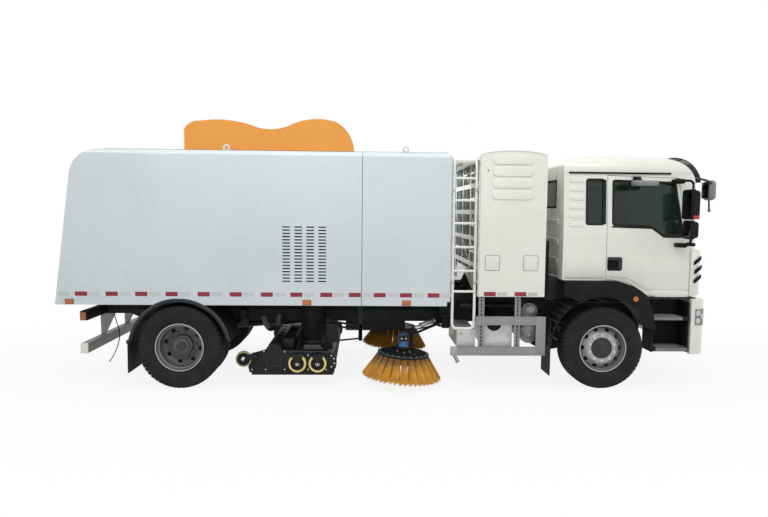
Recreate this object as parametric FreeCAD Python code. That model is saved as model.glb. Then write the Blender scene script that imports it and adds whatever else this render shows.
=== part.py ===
"""Street sweeper truck with a tipping hopper, two side brushes and a suction nozzle.

Lengths are millimetres.  The truck is laid out from its rear axle: X forward,
Y to the left, Z up from the ground.  The cab, the battery cabinet and what stands
beside them are drawn for a front axle at DRAWN_AXLE_X and are set forward by FORE.
write_part moves every piece by ORIGIN_X, so that the written origin is on the
ground under the middle of the truck.
"""

import FreeCAD, Part

import math
import os

# --- whole truck -------------------------------------------------------------
WHEELBASE = 5100.0
DRAWN_AXLE_X = 5100.0
FORE = WHEELBASE - DRAWN_AXLE_X
ORIGIN_X = 2550.0
BODY_HALF = 1245.0
CAB_HALF = 1120.0

# --- frame -------------------------------------------------------------------
RAIL_OUT = 430.0
RAIL_FLANGE = 75.0
RAIL_GAUGE = 10.0
RAIL_TOP = 950.0
RAIL_BOTTOM = 690.0
RAIL_TAIL_BOTTOM = 780.0
RAIL_REAR_X = -1250.0
RAIL_FRONT_X = WHEELBASE + 1188.0
SUBFRAME_TOP = 1065.0
SUBFRAME_WIDTH = 80.0
UNDERRUN_BOTTOM = 384.0
LAMP_BAR_HALF = 1020.0

# --- wheels ------------------------------------------------------------------
TYRE_R = 500.0
TYRE_WIDTH = 276.0
BEAD_R = 286.0
FLANGE_R = 298.0
FLANGE_THICK = 12.0
RIM_INSET = 28.0
TRACK_HALF = BODY_HALF - TYRE_WIDTH / 2
DUAL_PITCH = 310.0
MOTOR_REAR_X = 1950.0
SPINDLE_R = 55.0
BEARING_GAP = 0.5
KINGPIN_Y = 900.0
STEER_ARM = 180.0
REAR_GUARD_GAP = 100.0
FRONT_GUARD_GAP = 140.0
ARCH_GAP = 110.0
GUARD_IN_Y = RAIL_OUT + 210.0

# --- sweeper body ------------------------------------------------------------
BODY_BOTTOM = 1013.0
BODY_TOP = 2839.0
HOPPER_REAR_X = -1435.0
HOPPER_FRONT_X = 2160.0
HOPPER_FLOOR = 1090.0
HOPPER_WALL = 50.0
REAR_LEAN = 237.0
REAR_ROUND_R = 340.0
FAN_WALL_X = 1100.0
PANEL_GAP = 6.0
GATE_HINGE_X = 3.0
GATE_HINGE_Z = 20.0
TANK_FRONT_X = 3230.0
CABINET_REAR_X = 3550.0
CABINET_FRONT_X = 4360.0
CABINET_BOTTOM = 1131.0
CABINET_TOP = 2827.0
CABINET_CROWN = 2877.0
GUARD_BOTTOM = 414.0
BOX_OUT_Y = 1150.0
LADDER_FOOT = 738.0
LADDER_KNEE = 2720.0

# --- steering wheel ------------------------------------------------------------
STEERING_Y = 520.0
STEERING_R = 215.0
WHEEL_HUB_X = 5740.0
WHEEL_HUB_Z = 1950.0
COLUMN_RUN = 270.0
COLUMN_RISE = 350.0

# --- lifting lugs ---------------------------------------------------------------
HOPPER_LUG_X = 560.0
TANK_LUG_X = TANK_FRONT_X - 555.0
LUG_Y = 1150.0
LUG_Z = BODY_TOP + 33.0
LUG_THICKNESS = 16.0
LUG_EYE_R = 20.0

# --- tipping -----------------------------------------------------------------
TIP_X = -1200.0
TIP_Z = 1015.0
TIP_PIN_R = 25.0
BARREL_X = -400.0
BARREL_Z = 840.0
ROD_EYE_X = 1400.0
ROD_EYE_Z = 1050.0
BARREL_R = 55.0
BARREL_PIN_R = 20.0
ROD_R = 30.0
BARREL_LENGTH = 1250.0

# --- bumper and steps --------------------------------------------------------
BUMPER_FRONT_X = 6440.0
BUMPER_REAR_X = 6219.0
BUMPER_HALF = 1150.0
BUMPER_BOTTOM = 414.0
BUMPER_TOP = 1095.0
STEP_REAR_X = 5745.0

# --- cab ---------------------------------------------------------------------
CAB_REAR_X = 4610.0
CAB_FRONT_X = 6370.0
CAB_BOTTOM = 1130.0
CAB_ARCH_Z = 1325.0
CAB_WALL = 60.0
CAB_PIVOT_X = 6330.0
CAB_PIVOT_Z = 860.0
CAB_PIN_R = 20.0
GLASS_INSET = 15.0
GLASS = 6.0
DOOR_GAP = 6.0

# --- sweeping gear -----------------------------------------------------------
NOZZLE_Z = 168.0
NOZZLE_HALF = 1090.0
HOSE_X = 1532.0
HOSE_R = 150.0
HOSE_Y = RAIL_OUT + HOSE_R + 40.0
HOSE_TOP = 1000.0
HOSE_BOTTOM = 500.0
HANGER_X = 2150.0
HANGER_Z = 700.0
DRAG_EYE_X = 1746.0
DRAG_EYE_Z = 770.0
DRAG_PIN_R = 12.0
BRUSH_X = 2685.0
BRUSH_Y = 965.0
BRUSH_DISC_Z = 370.0
BRUSH_DISC_R = 320.0
BRUSH_TIP_Z = 92.0
BRUSH_TIP_R = 500.0
BRUSH_TILT = 4.0
SWING_X = 3250.0
SWING_Y = RAIL_OUT + 190.0
SWING_PIN_R = 18.0
LIFT_REACH = 110.0
LIFT_PIN_R = 12.0


def vec(x, y, z):
    """Point or direction in millimetres."""
    return FreeCAD.Vector(x, y, z)


def box(x0, x1, y0, y1, z0, z1):
    """Block between two corners."""
    return Part.makeBox(x1 - x0, y1 - y0, z1 - z0, vec(x0, y0, z0))


def rod(start, end, radius):
    """Round bar from one point to another."""
    run = end.sub(start)
    return Part.makeCylinder(radius, run.Length, start, run)


def tube(start, end, radius, bore):
    """Round bar with a bore right through it."""
    reach = end.sub(start).normalize()
    drill = rod(start.sub(reach), end.add(reach), bore)
    return rod(start, end, radius).cut(drill)


def outline(path, place):
    """Closed face from a path of corners; a step of two corners is an arc through the first."""
    edges = []
    last = place(*path[0])
    for step in path[1:] + [path[0]]:
        if isinstance(step[0], tuple):
            middle, end = place(*step[0]), place(*step[1])
            edges.append(Part.Arc(last, middle, end).toShape())
        else:
            end = place(*step)
            edges.append(Part.LineSegment(last, end).toShape())
        last = end
    return Part.Face(Part.Wire(edges))


def side_prism(path, y0, y1):
    """Side view outline (X, Z) carried from y0 to y1."""
    return outline(path, lambda x, z: vec(x, y0, z)).extrude(vec(0, y1 - y0, 0))


def plan_prism(path, z0, z1):
    """Plan outline (X, Y) carried from z0 to z1."""
    return outline(path, lambda x, y: vec(x, y, z0)).extrude(vec(0, 0, z1 - z0))


def front_prism(path, x0, x1):
    """Front view outline (Y, Z) carried from x0 to x1."""
    return outline(path, lambda y, z: vec(x0, y, z)).extrude(vec(x1 - x0, 0, 0))


def wheel_turning(profile, x, z):
    """Ring about a wheel's axis from its (radius, Y) section."""
    face = outline(profile, lambda r, y: vec(x, y, z + r))
    return face.revolve(vec(x, 0, z), vec(0, 1, 0), 360)


def upright_turning(profile, x, y):
    """Ring about an upright axis from its (radius, Z) section."""
    face = outline(profile, lambda r, z: vec(x + r, y, z))
    return face.revolve(vec(x, y, 0), vec(0, 0, 1), 360)


def mirrored(shape):
    """The same piece on the other side of the truck."""
    return shape.mirror(vec(0, 0, 0), vec(0, 1, 0))


def both_sides(shapes):
    """Each piece and its mirror image."""
    return shapes + [mirrored(shape) for shape in shapes]


def joined(shapes):
    """One solid from several that touch."""
    return shapes[0].fuse(shapes[1:]).removeSplitter()


def route_wire(points, radius=None):
    """Straight runs joined by tangent arcs, and the arcs' radii.

    Without a radius, each arc takes 0.45 of its shorter run.
    """
    places = [vec(*point) for point in points]
    edges, radii, last = [], [], places[0]
    for before, corner, after in zip(places, places[1:], places[2:]):
        back, ahead = before.sub(corner), after.sub(corner)
        shorter = min(back.Length, ahead.Length)
        back.normalize()
        ahead.normalize()
        half_turn = (math.pi - back.getAngle(ahead)) / 2
        bend = radius or 0.45 * shorter / math.tan(half_turn)
        reach = bend * math.tan(half_turn)
        inward = back.add(ahead).normalize()
        sag = bend / math.cos(half_turn) - bend
        start, middle, end = (
            corner.add(way.multiply(length))
            for way, length in ((back, reach), (inward, sag), (ahead, reach))
        )
        edges.append(Part.LineSegment(last, start).toShape())
        edges.append(Part.Arc(start, middle, end).toShape())
        radii.append(round(bend))
        last = end
    edges.append(Part.LineSegment(last, places[-1]).toShape())
    return Part.Wire(edges), radii


# --- chassis -----------------------------------------------------------------
def frame_rails():
    """Two channel rails with the box rails of the sub-frame on top of them."""
    taper = [(-650.0, RAIL_BOTTOM), (-850.0, RAIL_TAIL_BOTTOM)]
    outer = [(RAIL_REAR_X, RAIL_TOP), (RAIL_FRONT_X, RAIL_TOP), (RAIL_FRONT_X, RAIL_BOTTOM)]
    outer += taper + [(RAIL_REAR_X, RAIL_TAIL_BOTTOM)]
    lift = RAIL_GAUGE
    inner = [(RAIL_REAR_X - 1, RAIL_TOP - lift), (RAIL_FRONT_X + 1, RAIL_TOP - lift)]
    inner += [(RAIL_FRONT_X + 1, RAIL_BOTTOM + lift)]
    inner += [(x, z + lift) for x, z in taper] + [(RAIL_REAR_X - 1, RAIL_TAIL_BOTTOM + lift)]
    rail = side_prism(outer, -RAIL_OUT, -RAIL_OUT + RAIL_FLANGE)
    hollow = side_prism(inner, -RAIL_OUT + RAIL_GAUGE, -RAIL_OUT + RAIL_FLANGE + 1)
    rail = rail.cut(hollow)
    rear_x = RAIL_REAR_X + 10
    upper = box(rear_x, CABINET_FRONT_X + FORE, -RAIL_OUT, -RAIL_OUT + SUBFRAME_WIDTH,
                RAIL_TOP, SUBFRAME_TOP)
    tip_pin = rod(vec(TIP_X, -RAIL_OUT + 40, TIP_Z), vec(TIP_X, -RAIL_OUT - 50, TIP_Z), TIP_PIN_R)
    pivot_x = CAB_PIVOT_X + FORE
    arm_path = [(RAIL_FRONT_X - 160, CAB_PIVOT_Z - 40), (pivot_x, CAB_PIVOT_Z - 40)]
    arm_path += [((pivot_x + 40, CAB_PIVOT_Z), (pivot_x, CAB_PIVOT_Z + 40))]
    arm_path += [(RAIL_FRONT_X - 160, CAB_PIVOT_Z + 40)]
    cab_arm = side_prism(arm_path, -RAIL_OUT, -RAIL_OUT + 35)
    cab_pin = rod(vec(pivot_x, -RAIL_OUT + 30, CAB_PIVOT_Z),
                  vec(pivot_x, -RAIL_OUT - 50, CAB_PIVOT_Z), CAB_PIN_R)
    return both_sides([joined([rail, upper, tip_pin, cab_arm, cab_pin])])


def cross_members():
    """Cross tubes between the rails, and the brackets that hang from the rails."""
    inside = RAIL_OUT - RAIL_GAUGE
    places = [
        # x centre, bottom, top
        (-1160.0, 800.0, 930.0),
        (-440.0, 720.0, 780.0),
        (950.0, 720.0, 800.0),
        (1850.0, 745.0, 930.0),
        (3000.0, 720.0, 930.0),
        (FORE + 4000.0, 720.0, 930.0),
        (FORE + 5500.0, 720.0, 930.0),
        (FORE + 6070.0, 720.0, 930.0),
    ]
    tubes = [box(x - 40, x + 40, -inside, inside, low, high) for x, low, high in places]
    ear = box(BARREL_X - 45, BARREL_X + 45, -80, -60, 760, BARREL_Z + 45)
    other_ear = box(BARREL_X - 45, BARREL_X + 45, 60, 80, 760, BARREL_Z + 45)
    barrel_pin = rod(vec(BARREL_X, -80, BARREL_Z), vec(BARREL_X, 80, BARREL_Z), BARREL_PIN_R)
    tubes[1] = joined([tubes[1], ear, other_ear, barrel_pin])
    hanger = box(HANGER_X - 25, HANGER_X + 25, -905, -885, 530, 1000)
    hanger_arm = box(HANGER_X - 30, HANGER_X + 30, -885, -RAIL_OUT, 860, 930)
    pin = rod(vec(HANGER_X, -885, HANGER_Z), vec(HANGER_X, -850, HANGER_Z), DRAG_PIN_R)
    drag_hanger = joined([hanger, hanger_arm, pin])
    flange = tube(vec(HOSE_X, -HOSE_Y, HOSE_TOP), vec(HOSE_X, -HOSE_Y, HOSE_TOP + 75),
                  HOSE_R + 15, HOSE_R - 10)
    strap = box(HOSE_X - 60, HOSE_X + 60, -HOSE_Y + HOSE_R + 2, -RAIL_OUT,
                RAIL_TOP - 60, HOSE_TOP + 20)
    hose_mount = joined([flange, strap])
    plate = box(SWING_X - 70, SWING_X + 70, -SWING_Y + 50, -RAIL_OUT, 640, 900)
    lugs = [
        box(SWING_X - 45, SWING_X + 45, -SWING_Y - 45, -SWING_Y + 55, low, low + 25)
        for low in (640.0, 790.0)
    ]
    king = rod(vec(SWING_X, -SWING_Y, 640), vec(SWING_X, -SWING_Y, 815), SWING_PIN_R)
    brush_hanger = joined([plate] + lugs + [king])
    guard_arms = [
        box(x - 20, x + 20, -GUARD_IN_Y - 10, -RAIL_OUT - 140, 745, 785) for x in (-650.0, 650.0)
    ]
    return tubes + both_sides([drag_hanger, hose_mount, brush_hanger] + guard_arms)


def leaf_spring(x, half, low):
    """Leaf pack under a rail with its two hangers on the outside of the rail."""
    y0, y1 = -RAIL_OUT - 130, -RAIL_OUT - 50
    eye_z = low + 100
    path = [(x - half, eye_z + 22), ((x, low + 60), (x + half, eye_z + 22))]
    path += [(x + half, eye_z - 22), ((x, low), (x - half, eye_z - 22))]
    pack = side_prism(path, y0, y1)
    hangers = [
        box(x + end - 35, x + end + 35, y0 - 10, -RAIL_OUT, eye_z - 35, RAIL_BOTTOM + 160)
        for end in (-half, half)
    ]
    return joined([pack] + hangers)


def front_axle():
    """Dropped steering beam with kingpin bosses, clamped under its leaf springs."""
    x, z = WHEELBASE, TYRE_R
    beam = box(x - 45, x + 45, -760, 760, z - 95, z - 5)
    parts = [beam]
    for sign in (-1, 1):
        rise = [(sign * 700, z - 95), (sign * 860, z - 25), (sign * 860, z + 45), (sign * 700, z - 5)]
        parts.append(front_prism(rise, x - 45, x + 45))
        boss = rod(vec(x, sign * KINGPIN_Y, z - 55), vec(x, sign * KINGPIN_Y, z + 55), 48)
        parts.append(boss)
    springs = [leaf_spring(x, 690.0, z - 10)]
    seat = box(x - 60, x + 60, -RAIL_OUT - 130, -RAIL_OUT - 50, z - 100, z + 20)
    return [joined(parts + both_sides(springs + [seat]))]


def rear_axle():
    """Driven axle housing with its differential, spindles and leaf springs."""
    z = TYRE_R
    beam = rod(vec(0, -BODY_HALF + 620, z), vec(0, BODY_HALF - 620, z), 75)
    spindle = rod(vec(0, -TRACK_HALF - 60, z), vec(0, TRACK_HALF + 60, z), SPINDLE_R)
    bowl = Part.makeSphere(200, vec(0, 0, z))
    nose = rod(vec(0, 0, z + 20), vec(300, 0, z + 50), 90)
    spring = leaf_spring(0.0, 640.0, z + 70)
    seat = box(-60, 60, -RAIL_OUT - 130, -RAIL_OUT - 50, z, z + 100)
    return [joined([beam, spindle, bowl, nose] + both_sides([spring, seat]))]


def drive_unit():
    """Traction motor as one block between the rails, and the propeller shaft."""
    motor = box(MOTOR_REAR_X, MOTOR_REAR_X + 800, -300, 300, 540, 900)
    shaft = rod(vec(302, 0, TYRE_R + 51), vec(MOTOR_REAR_X - 1, 0, 680), 45)
    return [motor, shaft]


def bumper_side(inset):
    """Plan outline of the bumper, drawn in by an inset."""
    front, half = BUMPER_FRONT_X - inset, BUMPER_HALF - inset
    rear = BUMPER_REAR_X - inset
    bend = 180.0
    path = [(rear, -half), (front - bend, -half)]
    path += [((front - 0.293 * bend, -half + 0.293 * bend), (front - 20, -half + bend))]
    path += [((front, 0), (front - 20, half - bend))]
    path += [((front - 0.293 * bend, half - 0.293 * bend), (front - bend, half)), (rear, half)]
    return path


def front_bumper():
    """Wrap-round bumper, high at its two ends and low under the grille."""
    low, high, middle = BUMPER_BOTTOM, BUMPER_TOP, 725.0
    shell = plan_prism(bumper_side(0.0), low, high)
    shell = shell.cut(plan_prism(bumper_side(60.0), low - 1, high + 1))
    window = box(6200, 6460, -700, 700, middle, high + 1)
    lip = side_prism([(6150, low - 1), (6460, low - 1), (6460, low + 60), (6380, low)], -1200, 1200)
    mounts = [box(6240, 6395, -RAIL_OUT + 10, -RAIL_OUT + 60, 560, 680)]
    drops = [box(6200, 6260, -RAIL_OUT + 10, -RAIL_OUT + 60, 560, RAIL_BOTTOM)]
    return [joined([shell.cut(window).cut(lip)] + both_sides(mounts + drops))]


def cab_steps():
    """Step well under each door with two treads, carried from the rail."""
    x0, x1 = STEP_REAR_X, BUMPER_REAR_X - 19
    y0, y1 = -BUMPER_HALF, -880.0
    back = box(x0, x1, y1, y1 + 20, 436, 1060)
    treads = [box(x0, x1, y0, y1, low, low + 45) for low in (450.0, 835.0)]
    cheeks = [box(x, x + 15, y0 + 20, y1, 436, 1060) for x in (x0, x1 - 15)]
    carrier = box(5900, 5960, y1 + 20, -RAIL_OUT, 760, 820)
    return both_sides([joined([back, carrier] + treads + cheeks)])


def arc_point(x, z, radius, degrees):
    """Point on a circle about a wheel, with degrees from +X towards +Z."""
    turn = math.radians(degrees)
    return (x + radius * math.cos(turn), z + radius * math.sin(turn))


def arc_band(x, z, inner, outer, start, end, y0, y1):
    """Curved guard sheet between two radii and two directions."""
    middle = (start + end) / 2
    path = [arc_point(x, z, outer, start)]
    path.append((arc_point(x, z, outer, middle), arc_point(x, z, outer, end)))
    path.append(arc_point(x, z, inner, end))
    path.append((arc_point(x, z, inner, middle), arc_point(x, z, inner, start)))
    return side_prism(path, y0, y1)


def mudguards():
    """Rear guards with their flaps, and the chassis half of the front guards."""
    y0, y1 = -BODY_HALF + 5, -GUARD_IN_Y
    centre_z, outer = TYRE_R - 20, TYRE_R + REAR_GUARD_GAP
    rear = arc_band(0, centre_z, outer - 15, outer, 8, 172, y0, y1)
    edge = arc_band(0, centre_z, outer - 40, outer, 8, 172, y0, y0 + 15)
    flap = box(-outer - 8, -outer + 6, y0, y1, 195, TYRE_R + 66)
    inner = TYRE_R + FRONT_GUARD_GAP
    front = arc_band(WHEELBASE, TYRE_R, inner, inner + 15, 126, 176, y0, -900)
    front_flap = box(WHEELBASE - inner - 20, WHEELBASE - inner - 6, y0, -900, 169, 880)
    low = TYRE_R + 40
    bridge = box(WHEELBASE - inner - 50, WHEELBASE - inner + 4, y0, -900, low, low + 15)
    stay = box(WHEELBASE - inner - 40, WHEELBASE - inner, -902, -RAIL_OUT, 860, 900)
    reach = box(WHEELBASE - inner - 60, WHEELBASE - inner, -915, -900, low, 900)
    return both_sides([joined([rear, edge, flap]), joined([front, front_flap, bridge, stay, reach])])


def water_tank():
    """Clean-water module between the hopper and the battery cabinet."""
    x0 = HOPPER_FRONT_X + PANEL_GAP
    front = TANK_FRONT_X + FORE
    block = box(x0, front, -BODY_HALF, BODY_HALF, SUBFRAME_TOP, BODY_TOP)
    block = block.cut(body_edges(x0 - 1, front + 1))
    corners = [
        edge for edge in block.Edges
        if abs(edge.CenterOfMass.x - front) < 1 and abs(edge.CenterOfMass.y) > BODY_HALF - 5
    ]
    block = block.makeFillet(40, corners)
    skirt = box(x0, front - 45, -BODY_HALF, -BODY_HALF + HOPPER_WALL,
                BODY_BOTTOM, SUBFRAME_TOP)
    return [joined([block] + both_sides([skirt, lifting_lug(TANK_LUG_X + FORE)]))]


def lifting_lug(x):
    """Plate with an eye on the roof, for a lifting shackle."""
    y, half = -LUG_Y, LUG_THICKNESS / 2
    plate = box(x - 40, x + 40, y - half, y + half, BODY_TOP - 5, LUG_Z)
    dome = rod(vec(x, y - half, LUG_Z), vec(x, y + half, LUG_Z), 40)
    eye = rod(vec(x, y - half - 1, LUG_Z), vec(x, y + half + 1, LUG_Z), LUG_EYE_R)
    return joined([plate, dome]).cut(eye)


def body_edges(x0, x1):
    """What rounding the two long roof edges takes off the sweeper body."""
    radius = 70.0
    corner = box(x0, x1, -BODY_HALF - 1, -BODY_HALF + radius, BODY_TOP - radius, BODY_TOP + 1)
    centre = vec(x0 - 1, -BODY_HALF + radius, BODY_TOP - radius)
    corner = corner.cut(rod(centre, centre.add(vec(x1 - x0 + 2, 0, 0)), radius))
    return corner.fuse(mirrored(corner))


def battery_cabinet():
    """Traction battery housing with an arched roof and recessed pack bays."""
    middle = (CABINET_REAR_X + CABINET_FRONT_X) / 2
    path = [(CABINET_REAR_X, CABINET_BOTTOM), (CABINET_REAR_X, CABINET_TOP)]
    path += [((middle, CABINET_CROWN), (CABINET_FRONT_X, CABINET_TOP))]
    path += [(CABINET_FRONT_X, CABINET_BOTTOM)]
    shell = side_prism(path, -BODY_HALF, BODY_HALF)
    rows, columns = 5, 4
    post, depth = 60.0, 35.0
    wide = (2 * BODY_HALF - post) / columns
    tall = (CABINET_TOP - CABINET_BOTTOM - post) / rows
    for row in range(rows):
        for column in range(columns):
            y = -BODY_HALF + post + column * wide
            z = CABINET_BOTTOM + post + row * tall
            shell = shell.cut(box(CABINET_REAR_X - 1, CABINET_REAR_X + depth,
                                  y, y + wide - post, z, z + tall - post))
    feet = [
        box(x - 50, x + 50, -RAIL_OUT, -RAIL_OUT + SUBFRAME_WIDTH, SUBFRAME_TOP, CABINET_BOTTOM)
        for x in (CABINET_REAR_X + 100, CABINET_FRONT_X - 100)
    ]
    return [joined([shell] + both_sides(feet))]


def ladder():
    """Tubular access ladder between the tank and the battery cabinet."""
    y = -BODY_HALF + 40
    left, right = TANK_FRONT_X + 24, CABINET_REAR_X - 30
    foot, knee = LADDER_FOOT, LADDER_KNEE
    bend, stile_r, rung_r = 60.0, 17.0, 14.0
    hooked = [(x, y + 120, knee + 80) for x in (left, right)]
    path = [hooked[0], (left, y, knee), (left, y, foot), (right, y, foot), (right, y, knee)]
    wire, _ = route_wire(path + [hooked[1]], bend)
    ring = Part.Wire(Part.makeCircle(stile_r, vec(*path[0]), vec(*path[1]).sub(vec(*path[0]))))
    loop = wire.makePipeShell([ring], True, False)
    rungs = [
        rod(vec(left, y, z), vec(right, y, z), rung_r)
        for z in (1188.0, 1437.0, 1722.0, 2008.0, 2279.0, 2541.0)
    ]
    stays = []
    for z in (1300.0, 2400.0):
        stays.append(rod(vec(left, y, z), vec(TANK_FRONT_X, y, z), 12))
        stays.append(rod(vec(right, y, z), vec(CABINET_REAR_X, y, z), 12))
    return [joined([loop] + rungs + stays)]


def side_guards():
    """Aluminium side guard of two rails on three posts under each side."""
    y0, y1 = -BODY_HALF, -BODY_HALF + 30
    rear, front = CABINET_REAR_X, CABINET_FRONT_X + 25
    rails = [
        box(rear - 10, front, y0, y1, 787, 890),
        box(TANK_FRONT_X + 13, front, y0, y1, GUARD_BOTTOM, GUARD_BOTTOM + 104),
    ]
    posts = [
        box(x0, x1, y1, y1 + 25, GUARD_BOTTOM, CABINET_BOTTOM)
        for x0, x1 in ((rear + 25, rear + 90), (rear + 465, rear + 530))
    ]
    posts.append(box(front - 93, front - 35, y1, y1 + 25, GUARD_BOTTOM, 890))
    return both_sides([joined(rails + posts)])


def air_tanks():
    """Two compressed-air tanks across the right side, with domed ends."""
    tanks = []
    x, end = CABINET_FRONT_X - 118, -1020
    for radius, z in ((98.0, 921.0), (115.0, 640.0)):
        shell = rod(vec(x, end, z), vec(x, -RAIL_OUT, z), radius)
        dome = Part.makeSphere(radius * 1.25, vec(x, end + radius * 0.75, z))
        keep = box(x - 200, x + 200, end - 180, end, z - radius, z + radius)
        tanks.append(joined([shell, dome.common(keep)]))
    return tanks


def side_boxes():
    """Equipment boxes behind the side guards."""
    right = [
        box(CABINET_REAR_X - 225, CABINET_REAR_X, -BOX_OUT_Y, -RAIL_OUT, 500, 715),
        box(CABINET_REAR_X + 110, CABINET_REAR_X + 450, -BOX_OUT_Y, -RAIL_OUT, 500, 785),
    ]
    left = [box(CABINET_REAR_X - 150, CABINET_FRONT_X - 60, RAIL_OUT, BOX_OUT_Y, 540, 860)]
    return right + left


def rear_bars():
    """Underrun bar on its two struts, and the two halves of the lamp bar."""
    x0, x1 = RAIL_REAR_X + 5, RAIL_REAR_X + 90
    top = UNDERRUN_BOTTOM + 120
    under = box(x0, x1, -LAMP_BAR_HALF, LAMP_BAR_HALF, UNDERRUN_BOTTOM, top)
    strut_path = [(RAIL_REAR_X, RAIL_TAIL_BOTTOM), (RAIL_REAR_X + 195, RAIL_TAIL_BOTTOM)]
    strut_path += [(RAIL_REAR_X + 65, top), (x0, top)]
    strut = side_prism(strut_path, -RAIL_OUT + 12, -RAIL_OUT + 24)
    lamp_bar = box(x0, x1, -LAMP_BAR_HALF, -RAIL_OUT, 789, 897)
    return [joined([under, strut, mirrored(strut)])] + both_sides([lamp_bar])


# --- suction hose and earth strap ---------------------------------------------
def suction_hose():
    """Two round hoses from the nozzle up to the flanges under the hopper."""
    hose = tube(vec(HOSE_X, -HOSE_Y, HOSE_BOTTOM), vec(HOSE_X, -HOSE_Y, HOSE_TOP),
                HOSE_R, HOSE_R - 12)
    return both_sides([hose])


STRAP_R = 6.0
STRAP_ROUTE = [
    (-1062.0, -447.0, 775.0),
    (-1040.0, -450.0, 690.0),
    (-1006.0, -452.0, 600.0),
    (-991.0, -452.0, 500.0),
    (-1010.0, -450.0, 390.0),
    (-1049.0, -447.0, 285.0),
    (-1098.0, -444.0, 195.0),
    (-1140.0, -442.0, 135.0),
]


def earth_strap():
    """Earthing cable that hangs free from the end of the right rail."""
    wire, radii = route_wire(STRAP_ROUTE)
    first = vec(*STRAP_ROUTE[0])
    along = vec(*STRAP_ROUTE[1]).sub(first)
    ring = Part.Wire(Part.makeCircle(STRAP_R, first, along))
    cable = wire.makePipeShell([ring], True, False)
    expected = math.pi * STRAP_R**2 * wire.Length
    print("earth strap radii", radii, "length", round(wire.Length),
          "volume share", round(cable.Volume / expected, 4))
    return [cable]


# --- wheels ------------------------------------------------------------------
def tyre(x, y):
    """Plain tyre body about its own axle."""
    half = TYRE_WIDTH / 2
    bead = half - RIM_INSET - FLANGE_THICK - 1
    profile = [
        (BEAD_R, y - bead), (FLANGE_R + 4, y - bead), (BEAD_R + 90, y - half),
        (TYRE_R - 70, y - half),
        ((TYRE_R - 22, y - half + 12), (TYRE_R, y - half + 38)),
        (TYRE_R, y + half - 38), ((TYRE_R - 22, y + half - 12), (TYRE_R - 70, y + half)),
        (BEAD_R + 90, y + half), (FLANGE_R + 4, y + bead), (BEAD_R, y + bead),
    ]
    return wheel_turning(profile, x, TYRE_R)


def rim(x, y, outward, disc_depth, holes):
    """Rim well with a dished disc and its ring of hand holes.

    outward is the sign of the side that shows, and disc_depth is how far the disc
    lies behind the outer flange.
    """
    half = TYRE_WIDTH / 2 - RIM_INSET

    def section(pairs):
        return [(r, y + outward * (half - depth)) for r, depth in pairs]

    full = 2 * half
    well = wheel_turning(section([
        (FLANGE_R, 0), (FLANGE_R, FLANGE_THICK), (BEAD_R, FLANGE_THICK),
        (BEAD_R, full - FLANGE_THICK), (FLANGE_R, full - FLANGE_THICK),
        (FLANGE_R, full), (BEAD_R - 14, full), (BEAD_R - 14, 0),
    ]), x, TYRE_R)
    disc = wheel_turning(section([
        (BEAD_R - 13, disc_depth + 45), (BEAD_R - 13, disc_depth + 57), (190, disc_depth + 12),
        (SPINDLE_R + 25, disc_depth + 12), (SPINDLE_R + 25, disc_depth), (185, disc_depth),
    ]), x, TYRE_R)
    for index in range(holes):
        turn = 2 * math.pi * index / holes
        place = (x + 225 * math.cos(turn), TYRE_R + 225 * math.sin(turn))
        disc = disc.cut(rod(vec(place[0], y - 200, place[1]), vec(place[0], y + 200, place[1]), 30))
    return well.fuse(disc)


def front_rims(side):
    """Front rim and hub; the hub turns on the knuckle's spindle."""
    y = side * TRACK_HALF
    hub = tube(vec(WHEELBASE, y - side * 70, TYRE_R), vec(WHEELBASE, y + side * 100, TYRE_R),
               SPINDLE_R + 40, SPINDLE_R - 10 + BEARING_GAP)
    cap = rod(vec(WHEELBASE, y + side * 92, TYRE_R), vec(WHEELBASE, y + side * 128, TYRE_R), 80)
    return [joined([rim(WHEELBASE, y, side, 20.0, 10), hub, cap])]


def rear_rims(side):
    """Pair of rear rims on one hub, both discs towards the gap between them."""
    outer = side * TRACK_HALF
    inner = side * (TRACK_HALF - DUAL_PITCH)
    hub = tube(vec(0, side * (TRACK_HALF - DUAL_PITCH - 60), TYRE_R),
               vec(0, side * (TRACK_HALF + 70), TYRE_R), SPINDLE_R + 60, SPINDLE_R + BEARING_GAP)
    cap = rod(vec(0, side * (TRACK_HALF + 62), TYRE_R), vec(0, side * (TRACK_HALF + 95), TYRE_R), 100)
    return [joined([rim(0, outer, side, 130.0, 8), rim(0, inner, -side, 130.0, 8), hub, cap])]


def knuckle(side):
    """Stub axle with its kingpin yoke and the straight steering arm."""
    x, y, z = WHEELBASE, side * KINGPIN_Y, TYRE_R
    forks = [rod(vec(x, y, z + low), vec(x, y, z + low + 35), 50) for low in (-95.0, 60.0)]
    web = box(x - 45, x + 45, min(y + side * 55, y + side * 80), max(y + side * 55, y + side * 80),
              z - 95, z + 95)
    links = [
        box(x - 45, x + 45, min(y, y + side * 60), max(y, y + side * 60), z + low, z + low + 35)
        for low in (-95.0, 60.0)
    ]
    spindle = rod(vec(x, y + side * 75, z), vec(x, side * (TRACK_HALF + 85), z), SPINDLE_R - 10)
    arm = box(x - STEER_ARM, x - 20, y - 25, y + 25, z - 95, z - 65)
    eye = rod(vec(x - STEER_ARM, y, z - 95), vec(x - STEER_ARM, y, z - 65), 30)
    return [joined(forks + links + [web, spindle, arm, eye])]


def tie_rod():
    """Bar behind the front axle that joins the two steering arms."""
    x, z = WHEELBASE - STEER_ARM, TYRE_R - 130
    bar = rod(vec(x, -KINGPIN_Y, z), vec(x, KINGPIN_Y, z), 18)
    ends = [
        rod(vec(x, side * KINGPIN_Y, z - 25), vec(x, side * KINGPIN_Y, z + 29), 26)
        for side in (-1, 1)
    ]
    return [joined([bar] + ends)]


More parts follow.
